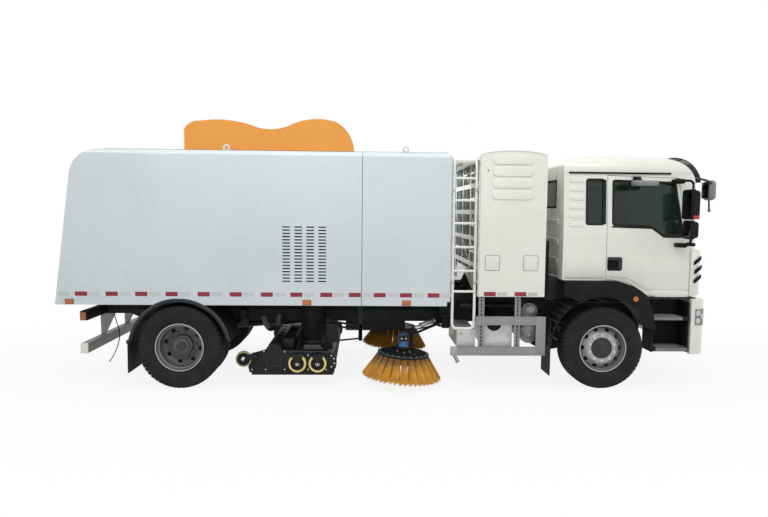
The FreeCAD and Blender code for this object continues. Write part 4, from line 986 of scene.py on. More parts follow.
NODE_FINISHES: dict[str, Finish] = {
    "frame_rails": FRAME_PAINT, "cross_members": FRAME_PAINT, "front_axle": CAST_IRON,
    "rear_axle": CAST_IRON, "drive_unit": FRAME_PAINT, "front_bumper": CAB_PAINT,
    "cab_steps": MOULDED, "mudguards": MOULDED, "water_tank": BODY_PAINT,
    "battery_cabinet": CAB_PAINT, "ladder": CAB_PAINT, "side_guards": DULL_ALUMINIUM,
    "air_tanks": DULL_ALUMINIUM, "side_boxes": BOX_PAINT, "rear_bars": DULL_ALUMINIUM,
    "suction_hose": RUBBER, "earth_strap": RUBBER, "cab_shell": CAB_PAINT, "cab_glass": GLASS,
    "seats": SEAT_CLOTH, "dashboard": DASH_GREY, "sun_visor": SMOKED, "wheel_arches": MOULDED,
    "front_mirror": MOULDED, "hopper": BODY_PAINT, "tailgate": BODY_PAINT,
    "roof_fairing": ORANGE_PAINT, "tip_cylinder": FRAME_PAINT, "tip_rod": BRIGHT_STEEL,
    "tie_rod": CAST_IRON, "nozzle": NOZZLE_BLACK, "drag_arms": FRAME_PAINT, "door": CAB_PAINT,
    "door_glass": GLASS, "mirrors": MOULDED, "knuckle": CAST_IRON, "front_rim": RIM_PAINT_AND_HIGHLIGHT,
    "front_tyre": TYRE, "rear_rims": DARK_RIM_AND_SHADE, "rear_tyres": TYRE, "brush_bracket": FRAME_PAINT,
    "brush_arm": FRAME_PAINT, "side_brush": GOLD_BRISTLE, "castor_rear": CASTOR_YELLOW,
    "castor_middle": CASTOR_YELLOW, "castor_front": CASTOR_YELLOW,
}


def dress(obj: Obj, finish: Finish) -> Obj:
    """Give an object one finish all over.

    Args:
        obj: the object.
        finish: its surface.

    Returns:
        The same object.
    """
    obj.data.materials.clear()
    obj.data.materials.append(finish.material())
    return obj


def dress_nodes() -> None:
    """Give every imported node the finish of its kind."""
    for name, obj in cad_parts.items():
        kind = name.removesuffix("_right").removesuffix("_left")
        for slot in obj.material_slots:
            slot.material = NODE_FINISHES[kind].material()


def fit(obj: Obj, finish: Finish, body: str, smooth: float = 40.0) -> Obj:
    """Finish a piece and let it ride on its body.

    Args:
        obj: the finished shape, at the origin.
        finish: its surface.
        body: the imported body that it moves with.
        smooth: edges under this angle in degrees are shaded smooth.

    Returns:
        The same object.
    """
    pick(obj)
    bpy.ops.object.shade_smooth_by_angle(angle=math.radians(smooth))
    dress(obj, finish)
    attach(obj, body)
    log.info("%s: %d faces on %s", obj.name, len(obj.data.polygons), body)
    return obj


# --- earthing strap ------------------------------------------------------------
@dataclass
class EarthStrap:
    """Rubber earthing strap that hangs behind the right rear wheel."""

    width: float = 0.012
    length: float = 0.683
    route: tuple[tuple[float, float, float], ...] = (
        (-1.062, -0.447, 0.775), (-1.040, -0.450, 0.690), (-1.006, -0.452, 0.600),
        (-0.991, -0.452, 0.500), (-1.010, -0.450, 0.390), (-1.049, -0.447, 0.285),
        (-1.098, -0.444, 0.195), (-1.140, -0.442, 0.135),
    )

    def build(self) -> Obj:
        """Hang the strap from the frame rail.

        Returns:
            The strap's curve.
        """
        obj = routed([at(*place) for place in self.route], self.width / 2, 12, 4)
        obj.name = "earthing_strap"
        dress(obj, RUBBER)
        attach(obj, "chassis")
        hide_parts("earth_strap")
        return obj


# --- sweeper body ----------------------------------------------------------------
@dataclass
class BodySide:
    """What stands on the long sides of the hopper and the tank."""

    slot_columns: tuple[float, ...] = (1.269, 1.411, 1.551, 1.693)
    slot_low: float = 1.306
    slot_high: float = 1.949
    slot_rows: int = 18
    slot_length: float = 0.089
    slot_height: float = 0.021
    tape_stations: tuple[float, ...] = (-1.201, -0.846, -0.503, -0.148, 0.226, 0.602, 0.968,
                                        1.317, 1.671, 2.010, 2.307, 2.620, 2.951)
    tape_low: float = 1.117
    tape_high: float = 1.169
    red_length: float = 0.143
    white_length: float = 0.125
    tape_gap: float = 0.020
    first_white: float = -1.383
    lamp_stations: tuple[float, ...] = (-1.268, 1.513, 2.699)
    lamp_height: float = 1.048

    def build(self) -> None:
        """Model the slots, tape, marker lamps, seam lines and roof fittings."""
        self.louvres()
        self.tape()
        self.lamps()
        self.seams()
        self.roof()

    def louvres(self) -> None:
        """Four columns of pressed ventilation slots with a hood over each."""
        x, z, half = self.slot_columns[0], self.slot_high, self.slot_length / 2
        a = at(x - half, -SIDE - 0.0008, z - self.slot_height / 2)
        b = at(x + half, -SIDE + 0.001, z + self.slot_height / 2)
        dark = block("vent_slots", a, b, 0.0004, 1)
        hood_path = [(-SIDE - 0.0002, b.z + 0.004), (-SIDE - 0.0045, b.z + 0.0005),
                     (-SIDE - 0.0060, b.z - 0.0045), (-SIDE - 0.0050, b.z - 0.0050),
                     (-SIDE - 0.0002, b.z - 0.0005)]
        hood = plate("vent_hoods", hood_path, Face.FRONT, a.x - 0.003, b.x + 0.003, edge=0.0008)
        lip = plate("vent_hoods", [(-SIDE, a.z - 0.002), (-SIDE - 0.0016, a.z - 0.0015),
                                   (-SIDE - 0.0016, a.z + 0.0005), (-SIDE, a.z + 0.001)],
                    Face.FRONT, a.x - 0.002, b.x + 0.002, edge=0.0005)
        hood = joined("vent_hoods", [hood, lip])
        places = [shift(c - x, 0, row - z) for c in self.slot_columns
                  for row in band(self.slot_rows, self.slot_low, self.slot_high)]
        fit(both(repeated(dark, "vent_slots", places)), DEEP_SHADE, "hopper_body")
        fit(both(repeated(hood, "vent_hoods", places)), BODY_PAINT, "hopper_body")

    @staticmethod
    def strip(name: str, length: float, low: float, high: float) -> Obj:
        """Piece of tape that starts at station 0."""
        return block(name, at(0, -SIDE - 0.0007, low), at(length, -SIDE + 0.0005, high), 0.0003, 1)

    def tape(self) -> None:
        """Red and white reflective tape along the skirt."""
        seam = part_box("water_tank")[0].x - REAR_AXLE
        low, high = self.tape_low, self.tape_high
        for body, kept in (("hopper_body", lambda s: s < seam), ("chassis", lambda s: s > seam)):
            reds = [s for s in self.tape_stations if kept(s)]
            red = self.strip("tape_red", self.red_length, low, high)
            fit(both(repeated(red, f"tape_red_{body}", [shift(s) for s in reds])), TAPE_RED, body)
            pale = self.strip("tape_white", self.white_length, low + 0.003, high - 0.003)
            starts = [s + self.red_length + self.tape_gap for s in reds]
            starts = [s for s in starts if not s < seam < s + self.white_length]
            starts += [self.first_white] if body == "hopper_body" else []
            fit(both(repeated(pale, f"tape_white_{body}", [shift(s) for s in starts])),
                TAPE_WHITE, body)

    def lamps(self) -> None:
        """Amber side marker lamps on black bases under the tape."""
        centre = at(self.lamp_stations[0], -SIDE, self.lamp_height)
        base = block("lamp", centre + Vector((-0.051, -0.004, -0.030)),
                     centre + Vector((0.051, 0.001, 0.032)), 0.003)
        lens = block("lamp", centre + Vector((-0.047, -0.016, -0.027)),
                     centre + Vector((0.047, -0.003, 0.028)), 0.006, 3)
        flutes = [block("lamp", centre + Vector((x - 0.0015, -0.0170, -0.022)),
                        centre + Vector((x + 0.0015, -0.015, 0.023)), 0.0008, 1)
                  for x in band(9, -0.038, 0.038)]
        lens = joined("lamp", [lens] + flutes)
        for name, part, finish in (("marker_bases", base, MOULDED),
                                   ("marker_lenses", lens, AMBER_LENS)):
            for n, station in enumerate(self.lamp_stations):
                body = "hopper_body" if n < 2 else "chassis"
                move = shift(station - self.lamp_stations[0])
                fit(both(copy_at(part, f"{name}_{n + 1}", move)), finish, body)
            bpy.data.objects.remove(part)

    def seams(self) -> None:
        """Drip rail under the roof's edge and the rubber in the gap before the tank."""
        lo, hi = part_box("hopper")
        gap, tank_front = (corner.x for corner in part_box("water_tank"))
        roof_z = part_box("roof_fairing")[0].z
        rails = {"hopper_body": (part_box("tailgate")[1].x + 0.03, hi.x),
                 "chassis": (gap, tank_front - 0.05)}
        for body, (x0, x1) in rails.items():
            path = [(-SIDE + 0.088, roof_z + 0.0002), (-SIDE + 0.076, roof_z + 0.0045),
                    (-SIDE + 0.066, roof_z + 0.0015), (-SIDE + 0.070, roof_z - 0.0020)]
            bead = plate(f"roof_bead_{body}", path, Face.FRONT, x0, x1, edge=0.001)
            fit(both(bead), RUBBER, body)
        seal = plate("tank_seal", [(-SIDE + 0.004, lo.z + 0.02), (SIDE - 0.004, lo.z + 0.02),
                                   (SIDE - 0.004, roof_z - 0.075), (SIDE - 0.075, roof_z - 0.004),
                                   (-SIDE + 0.075, roof_z - 0.004),
                                   (-SIDE + 0.004, roof_z - 0.075)],
                     Face.FRONT, gap - 0.0045, gap + 0.0005, rim=0.022)
        fit(seal, RUBBER, "chassis")

    def roof(self) -> None:
        """Hatch over the hopper, the fairing's seams and the small lugs on the roof."""
        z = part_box("roof_fairing")[0].z
        lid = block("roof_hatch", at(-0.64, -0.93, z + 0.001), at(-0.36, -0.35, z + 0.024), 0.008)
        rim = block("roof_hatch", at(-0.67, -0.96, z - 0.0005), at(-0.33, -0.32, z + 0.010), 0.004)
        fit(both(joined("roof_hatch", [lid, rim])), BODY_PAINT, "hopper_body")
        hinge = drum("hatch_hinges", at(-0.645, -0.86, z + 0.018), at(-0.645, -0.78, z + 0.018),
                     0.009, 0.001, 16)
        leaf = block("hatch_hinges", at(-0.69, -0.86, z + 0.0002), at(-0.63, -0.78, z + 0.006),
                     0.001)
        hinge = joined("hatch_hinges", [hinge, leaf])
        fit(both(repeated(hinge, "hatch_hinges", [shift(), shift(0, 0.30)])), ZINC, "hopper_body")
        lug = plate("fairing_lugs", stations((0.992, z), (1.016, z + 0.026), (1.028, z + 0.034),
                                             (1.040, z + 0.026), (1.064, z)), Face.SIDE,
                    -0.966, -0.955, edge=0.001, corner_radius=0.004)
        fit(both(lug), ORANGE_PAINT, "hopper_body")
        foot = block("fairing_flange", at(0.02, -0.968, z + 0.0002), at(2.05, -0.948, z + 0.0045),
                     0.001)
        screws = repeated(drum("s", at(0.10, -0.960, z + 0.004), at(0.10, -0.960, z + 0.010),
                               0.007, 0.001, 6), "s", [shift(x) for x in band(11, 0.0, 1.80)])
        fit(both(joined("fairing_flange", [foot, screws])), ORANGE_PAINT, "hopper_body")


@dataclass
class TailgateFittings:
    """Ribs, clamps, seal and grips on the hopper's rear door."""

    lean: float = 0.237 / 1.826
    rib_heights: tuple[float, ...] = (1.30, 1.55, 1.80, 2.05, 2.28)
    clamp_height: float = 1.075

    def build(self) -> None:
        """Model the fittings on the tailgate and round its opening."""
        lo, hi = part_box("tailgate")
        half = hi.y - 0.004

        def skin(z: float) -> float:
            """Station of the door's leaning face at a height."""
            return lo.x + (z - lo.z) * self.lean

        ribs = []
        for z in self.rib_heights:
            x = skin(z)
            path = [(x + 0.004, z - 0.055), (x - 0.014, z - 0.040), (x - 0.010, z + 0.040),
                    (x + 0.012, z + 0.055)]
            ribs.append(plate("rib", path, Face.SIDE, -half + 0.17, half - 0.17, edge=0.004))
        posts = []
        for y in (-half + 0.07, half - 0.17):
            path = [(skin(1.14) + 0.004, 1.14), (skin(1.14) - 0.016, 1.14),
                    (skin(2.40) - 0.016, 2.40), (skin(2.40) + 0.006, 2.42)]
            posts.append(plate("rib", path, Face.SIDE, y, y + 0.10, edge=0.004))
        fit(joined("tailgate_ribs", ribs + posts), BODY_PAINT, "tailgate_body")
        x = skin(1.10)
        arm = block("clamp", (x - 0.009, -half + 0.10, 1.060), (x + 0.004, -half + 0.14, 1.130),
                    0.004)
        hook = drum("clamp", (x - 0.002, -half + 0.085, self.clamp_height),
                    (x - 0.002, -half + 0.155, self.clamp_height), 0.009, 0.002, 20)
        fit(both(joined("tailgate_clamps", [arm, hook])), ZINC, "tailgate_body")
        seal = plate("tailgate_seal", rectangle((-half + 0.006, lo.z + 0.012),
                                                (half - 0.006, lo.z + 0.030)),
                     Face.FRONT, lo.x + 0.020, lo.x + 0.050, edge=0.003)
        fit(seal, RUBBER, "tailgate_body")
        grip = pipe("tailgate_grips", [(skin(z) - off, 0.36 - half, z) for z, off in
                                       ((1.42, 0.006), (1.42, 0.016), (1.47, 0.018),
                                        (1.52, 0.016), (1.52, 0.004))], 0.007, 8)
        fit(both(grip), BRIGHT_STEEL, "tailgate_body")


# --- battery cabinet, ladder bay and side guard ---------------------------------
@dataclass
class Cabinet:
    """What the battery cabinet carries on its sides and its rear."""

    rear: float = 3.550
    front: float = 4.360
    low: float = 1.131
    top: float = 2.827
    bulge_heights: tuple[float, ...] = (2.764, 2.6245, 2.485, 2.3505)
    flap_starts: tuple[float, ...] = (3.632, 4.096)
    tape_starts: tuple[float, ...] = (3.628, 3.998)
    rows: int = 5
    columns: int = 4
    post: float = 0.060

    def build(self) -> None:
        """Model the bulges, flaps, hinges, tape and the packs in their bays."""
        bulge = plate("cabinet_bulges", oblong((3.704, 2.706), (4.186, 2.822)), Face.SIDE,
                      -SIDE - 0.011, -SIDE + 0.002, edge=0.009, corner_radius=0.052, segments=4)
        bulges = repeated(bulge, "cabinet_bulges",
                          [shift(0, 0, z - self.bulge_heights[0]) for z in self.bulge_heights])
        fit(both(bulges), CAB_PAINT, "chassis", 60.0)
        self.flaps()
        self.seam()
        self.tape()
        self.packs()

    def flaps(self) -> None:
        """Two charging flaps with their dark joint lines, hinges and a lock."""
        a, b = (self.flap_starts[0], 1.443), (self.flap_starts[0] + 0.180, 1.630)
        line = plate("flap_joints", oblong(a, b), Face.SIDE, -SIDE - 0.0007, -SIDE + 0.0005,
                     corner_radius=0.018, rim=0.0045)
        lid = plate("flap_lids", oblong((a[0] + 0.005, a[1] + 0.005),
                                        (b[0] - 0.005, b[1] - 0.005)), Face.SIDE,
                    -SIDE - 0.0024, -SIDE + 0.001, edge=0.001, corner_radius=0.015)
        pins = [drum("flap_hinges", at(a[0] + 0.002, -SIDE - 0.004, z),
                     at(a[0] + 0.002, -SIDE - 0.004, z + 0.026), 0.0045, 0.0008, 12)
                for z in (1.468, 1.580)]
        lock = drum("flap_hinges", at(b[0] - 0.022, -SIDE + 0.001, 1.536),
                    at(b[0] - 0.022, -SIDE - 0.0042, 1.536), 0.008, 0.001, 20)
        moves = [shift(s - self.flap_starts[0]) for s in self.flap_starts]
        fit(both(repeated(line, "flap_joints", moves)), DEEP_SHADE, "chassis")
        fit(both(repeated(lid, "flap_lids", moves)), CAB_PAINT, "chassis")
        fit(both(repeated(joined("flap_hinges", pins + [lock]), "flap_hinges", moves)), ZINC,
            "chassis")

    def seam(self) -> None:
        """Door joint along the rear edge with its hinges, and the lock above."""
        line = block("cabinet_seam", at(3.5585, -SIDE - 0.0005, 1.140),
                     at(3.5612, -SIDE + 0.0005, 2.818))
        slot = block("cabinet_seam", at(3.6485, -SIDE - 0.0048, 2.627),
                     at(3.6535, -SIDE - 0.002, 2.647))
        fit(both(joined("cabinet_seam", [line, slot])), DEEP_SHADE, "chassis")
        hinge = [drum("h", at(3.553, -SIDE - 0.005, z), at(3.553, -SIDE - 0.005, z + 0.045),
                      0.007, 0.001, 16) for z in (1.300, 1.530, 1.780, 2.005, 2.420, 2.700)]
        rose = drum("h", at(3.651, -SIDE + 0.001, 2.637), at(3.651, -SIDE - 0.004, 2.637), 0.013,
                    0.0012, 24)
        fit(both(joined("cabinet_hinges", hinge + [rose])), ZINC, "chassis")
        arch = ((3.552, 2.822), (3.640, 2.851), (3.780, 2.869), (3.955, 2.8755),
                (4.130, 2.869), (4.270, 2.851), (4.358, 2.822))
        rain = plate("cabinet_drip", stations(*arch, *((s, z - 0.010) for s, z in arch[::-1])),
                     Face.SIDE, -SIDE - 0.006, -SIDE + 0.001, edge=0.002)
        fit(both(rain), CAB_PAINT, "chassis")

    def tape(self) -> None:
        """Red and white tape along the bottom."""
        first = self.tape_starts[0]
        for name, start, length, low, high, finish in (
                ("cabinet_tape_red", 0.0, 0.143, 1.137, 1.189, TAPE_RED),
                ("cabinet_tape_white", 0.158, 0.120, 1.141, 1.184, TAPE_WHITE)):
            strip = block(name, at(first + start, -SIDE - 0.0007, low),
                          at(first + start + length, -SIDE + 0.0005, high), 0.0003, 1)
            fit(both(repeated(strip, name, [shift(s - first) for s in self.tape_starts])), finish,
                "chassis")

    def packs(self) -> None:
        """Battery packs in the bays of the rear face, their ledges and a low cover."""
        rear, post = self.rear, self.post
        wide = (2 * SIDE - post) / self.columns
        tall = (self.top - self.low - post) / self.rows
        y, z = -SIDE + post, self.low + post
        right, ceiling = y + wide - post, z + tall - post
        pack = block("packs", at(rear + 0.008, y + 0.004, z + 0.004),
                     at(rear + 0.034, right - 0.004, ceiling - 0.004), 0.006)
        ribs = [block("packs", at(rear + 0.003, y + 0.05, z + h),
                      at(rear + 0.010, right - 0.05, z + h + 0.012), 0.002)
                for h in (0.040, 0.215)]
        plug = drum("packs", at(rear + 0.010, y + 0.09, z + 0.175),
                    at(rear - 0.004, y + 0.09, z + 0.175), 0.015, 0.002, 18)
        cells = [shift(0, c * wide, r * tall) for c in range(self.columns)
                 for r in range(self.rows)]
        fit(repeated(joined("packs", [pack, plug] + ribs), "packs", cells), PACK_PAINT, "chassis")
        ledge = block("pack_ledges", at(rear - 0.006, y - 0.002, z + 0.120),
                      at(rear + 0.010, right + 0.002, z + 0.146), 0.002)
        fit(repeated(ledge, "pack_ledges", cells), CAB_PAINT, "chassis")
        strut = plate("pack_struts", [(y + 0.03, z + 0.004), (y + 0.075, z + 0.004),
                                      (right - 0.01, ceiling - 0.004),
                                      (right - 0.055, ceiling - 0.004)], Face.FRONT,
                      REAR_AXLE + rear - 0.003, REAR_AXLE + rear + 0.004, edge=0.001)
        fit(repeated(strut, "pack_struts", [cells[r + c * self.rows] for c, r in
                                            ((0, 1), (0, 2), (1, 1), (1, 4), (2, 2), (3, 3))]),
            CAB_PAINT, "chassis")
        sheet = block("low_cover", at(rear - 0.016, -1.190, 1.134), at(rear - 0.010, 0.35, 1.425),
                      0.002)
        fit(sheet, CAB_PAINT, "chassis")
        wedge = plate("low_pocket", [(-1.150, 1.137), (0.10, 1.137), (-0.35, 1.335)], Face.FRONT,
                      REAR_AXLE + rear - 0.020, REAR_AXLE + rear - 0.0155)
        fit(wedge, DEEP_SHADE, "chassis")


@dataclass
class LadderBay:
    """Walkway, seal and small pieces between the tank and the cabinet."""

    rear: float = 3.240
    front: float = 3.542
    rungs: tuple[float, ...] = (1.188, 1.437, 1.722, 2.008, 2.279, 2.541)
    ladder_y: float = -1.205

    def build(self) -> None:
        """Model the walkway grating, the tank's corner seal and the ladder's clamps."""
        bars = repeated(block("walkway", at(self.rear, -1.06, 2.742),
                              at(self.front, -1.052, 2.768),
                              0.001, 1), "walkway", [shift(0, y) for y in band(28, 0.0, 2.112)])
        sills = [block("walkway", at(s, -1.08, 2.722), at(s + 0.026, 1.08, 2.770), 0.002)
                 for s in (self.rear, self.rear + 0.135, self.front - 0.026)]
        fit(joined("walkway", [bars] + sills), CAB_PAINT, "chassis")
        beams = [block("bay_beams", at(self.rear - 0.004, -1.10, z),
                       at(self.rear + 0.030, 1.10, z + 0.045), 0.003) for z in (1.42, 2.03)]
        fit(joined("bay_beams", beams), CAB_PAINT, "chassis")
        seal = block("tank_corner_seal", at(3.231, -1.170, 1.95), at(3.2365, -1.140, 2.62), 0.002)
        fit(both(seal), RUBBER, "chassis")
        y, foot = self.ladder_y, self.rungs[0]
        clamps = []
        for z in (1.300, 2.400):
            for s in (3.254, 3.520):
                clamps.append(drum("ladder_clamps", at(s, y, z - 0.016), at(s, y, z + 0.016),
                                   0.0215, 0.002, 28))
                clamps.append(drum("ladder_clamps", at(s, -1.225, z), at(s, -1.234, z), 0.009,
                                   0.001, 6))
        fit(joined("ladder_clamps", clamps), ZINC, "chassis")
        grips = repeated(drum("rung_grips", at(3.300, y, foot), at(3.475, y, foot), 0.0152, 0.001,
                              20), "rung_grips", [shift(0, 0, z - foot) for z in self.rungs])
        fit(grips, CAB_PAINT, "chassis")


@dataclass
class SideGuard:
    """Details of the side guard and of what stands behind it."""

    post_stations: tuple[float, ...] = (3.6075, 4.0475)
    tanks: tuple[tuple[float, float], ...] = ((0.921, 0.098), (0.640, 0.115))
    tank_station: float = 4.242

    def build(self) -> None:
        """Model the perforated posts, end plate, leg, tanks' fittings and boxes' lids."""
        self.posts()
        self.ends()
        self.air()
        self.boxes()

    def posts(self) -> None:
        """Slots and edge flanges of the perforated posts, with bolts on the rails."""
        first = self.post_stations[0]
        moves = [shift(s - first) for s in self.post_stations]
        slot = plate("post_slots", oblong((first - 0.008, -0.015), (first + 0.008, 0.015)),
                     Face.SIDE, -1.2162, -1.2145, corner_radius=0.0078)
        heights = band(6, 0.912, 1.118) + band(6, 0.545, 0.762)
        slots = repeated(slot, "post_slots", [shift(0, 0, z) for z in heights])
        fit(both(repeated(slots, "post_slots", moves)), DEEP_SHADE, "chassis")
        flange = [block("post_flanges", at(first + s, -1.2225, 0.44),
                        at(first + s + 0.0035, -1.192, 1.130), 0.0008, 1)
                  for s in (-0.0330, 0.0295)]
        studs = [drum("post_flanges", at(first + s, -SIDE + 0.001, z),
                      at(first + s, -SIDE - 0.006, z), 0.008, 0.001, 6)
                 for s in (-0.018, 0.018) for z in (0.466, 0.838)]
        fit(both(repeated(joined("post_flanges", flange + studs), "post_flanges", moves)), ZINC,
            "chassis")

    def ends(self) -> None:
        """Upright plate at the front, dark cap and leg at the rear, black panels painted as shade.
        """
        cap = plate("guard_end", oblong((4.268, 0.4145), (4.3855, 0.8895)), Face.SIDE,
                    -SIDE - 0.0025, -SIDE + 0.006, edge=0.0015)
        fit(both(cap), DULL_ALUMINIUM, "chassis")
        sleeve = block("guard_leg", at(3.2400, -SIDE - 0.0022, 0.4118), at(3.318, -1.2125, 0.5202),
                       0.003)
        leg = drum("guard_leg", at(3.268, -1.228, 0.455), at(3.330, -1.228, 0.334), 0.024, 0.003,
                   4)
        foot = drum("guard_leg", at(3.326, -1.228, 0.342), at(3.333, -1.228, 0.328), 0.028, 0.003,
                    4)
        fit(both(joined("guard_leg", [sleeve, leg, foot])), PACK_PAINT, "chassis")
        # Black panels in the gaps between frame, body, cabinet and cab, put where only shade
        # shows: painted shade.
        panel = plate("gap_shade_panel", oblong((3.250, 0.955), (4.520, 1.128)), Face.SIDE, -0.640,
                      -0.620)
        shelf = block("gap_shade_panel", at(3.40, -0.90, 0.955), at(4.10, -0.62, 0.985), 0.004)
        filler = block("gap_shade_panel", at(4.440, -0.985, 1.060), at(4.597, -0.440, 1.345), 0.012)
        under_cab_shade = block("gap_shade_panel", at(4.600, -0.880, 1.070), at(4.930, -0.450, 1.320), 0.012)
        fit(both(joined("gap_shade_panel", [panel, shelf, filler, under_cab_shade])), FRAME_PAINT, "chassis")
        jar = drum("guard_canister", at(3.778, -0.60, 0.793), at(3.778, -1.168, 0.793), 0.092,
                   0.008, 48)
        lid = drum("guard_canister", at(3.778, -1.166, 0.793), at(3.778, -1.176, 0.793), 0.070,
                   0.004, 48)
        fit(joined("guard_canister", [jar, lid]), MOULDED, "chassis")

    def air(self) -> None:
        """Bosses, seams and straps of the two air tanks."""
        steel, straps, x = [], [], self.tank_station
        for z, radius in self.tanks:
            tip = -1.02 - radius / 2
            steel.append(drum("air_bosses", at(x, tip + 0.006, z), at(x, tip - 0.010, z), 0.016,
                              0.002, 20))
            steel.append(drum("air_bosses", at(x, tip - 0.008, z), at(x, tip - 0.018, z), 0.010,
                              0.001, 6))
            seam = [(radius - 0.004, 0.003), (radius + 0.0026, 0.002), (radius + 0.0026, -0.002),
                    (radius - 0.004, -0.003)]
            steel.append(turned("air_bosses", seam, at(x, -1.016, z), (0, -1, 0), 72,
                                closed=True))
            hoop = [(radius - 0.002, 0.018), (radius + 0.003, 0.017), (radius + 0.003, -0.017),
                    (radius - 0.002, -0.018)]
            for y in (-0.92, -0.60):
                straps.append(turned("air_straps", hoop, at(x, y, z), (0, -1, 0), 72,
                                     closed=True))
                straps.append(block("air_straps", at(x - 0.02, y - 0.016, z + radius - 0.002),
                                    at(x + 0.02, y + 0.016, z + radius + 0.012), 0.003))
        fit(joined("air_bosses", steel), ZINC, "chassis")
        fit(joined("air_straps", straps), FRAME_PAINT, "chassis")

    def boxes(self) -> None:
        """Lids and latches on the equipment boxes."""
        lids, latches = [], []
        for start, end, low, high, side in ((3.325, 3.550, 0.500, 0.715, -1),
                                            (3.660, 4.000, 0.500, 0.690, -1),
                                            (3.400, 3.820, 0.540, 0.860, 1),
                                            (3.840, 4.300, 0.540, 0.860, 1)):
            y = side * 1.150
            lids.append(plate("box_lids", oblong((start + 0.010, low + 0.010),
                                                 (end - 0.010, high - 0.010)), Face.SIDE,
                              *sorted((y - side * 0.002, y + side * 0.006)), edge=0.003,
                              corner_radius=0.012))
            for s in (start + 0.05, end - 0.05):
                latches.append(block("box_latches", at(s - 0.012, y + side * 0.004, high - 0.060),
                                     at(s + 0.012, y + side * 0.013, high - 0.018), 0.003))
        fit(joined("box_lids", lids), BOX_PAINT, "chassis")
        fit(joined("box_latches", latches), ZINC, "chassis")


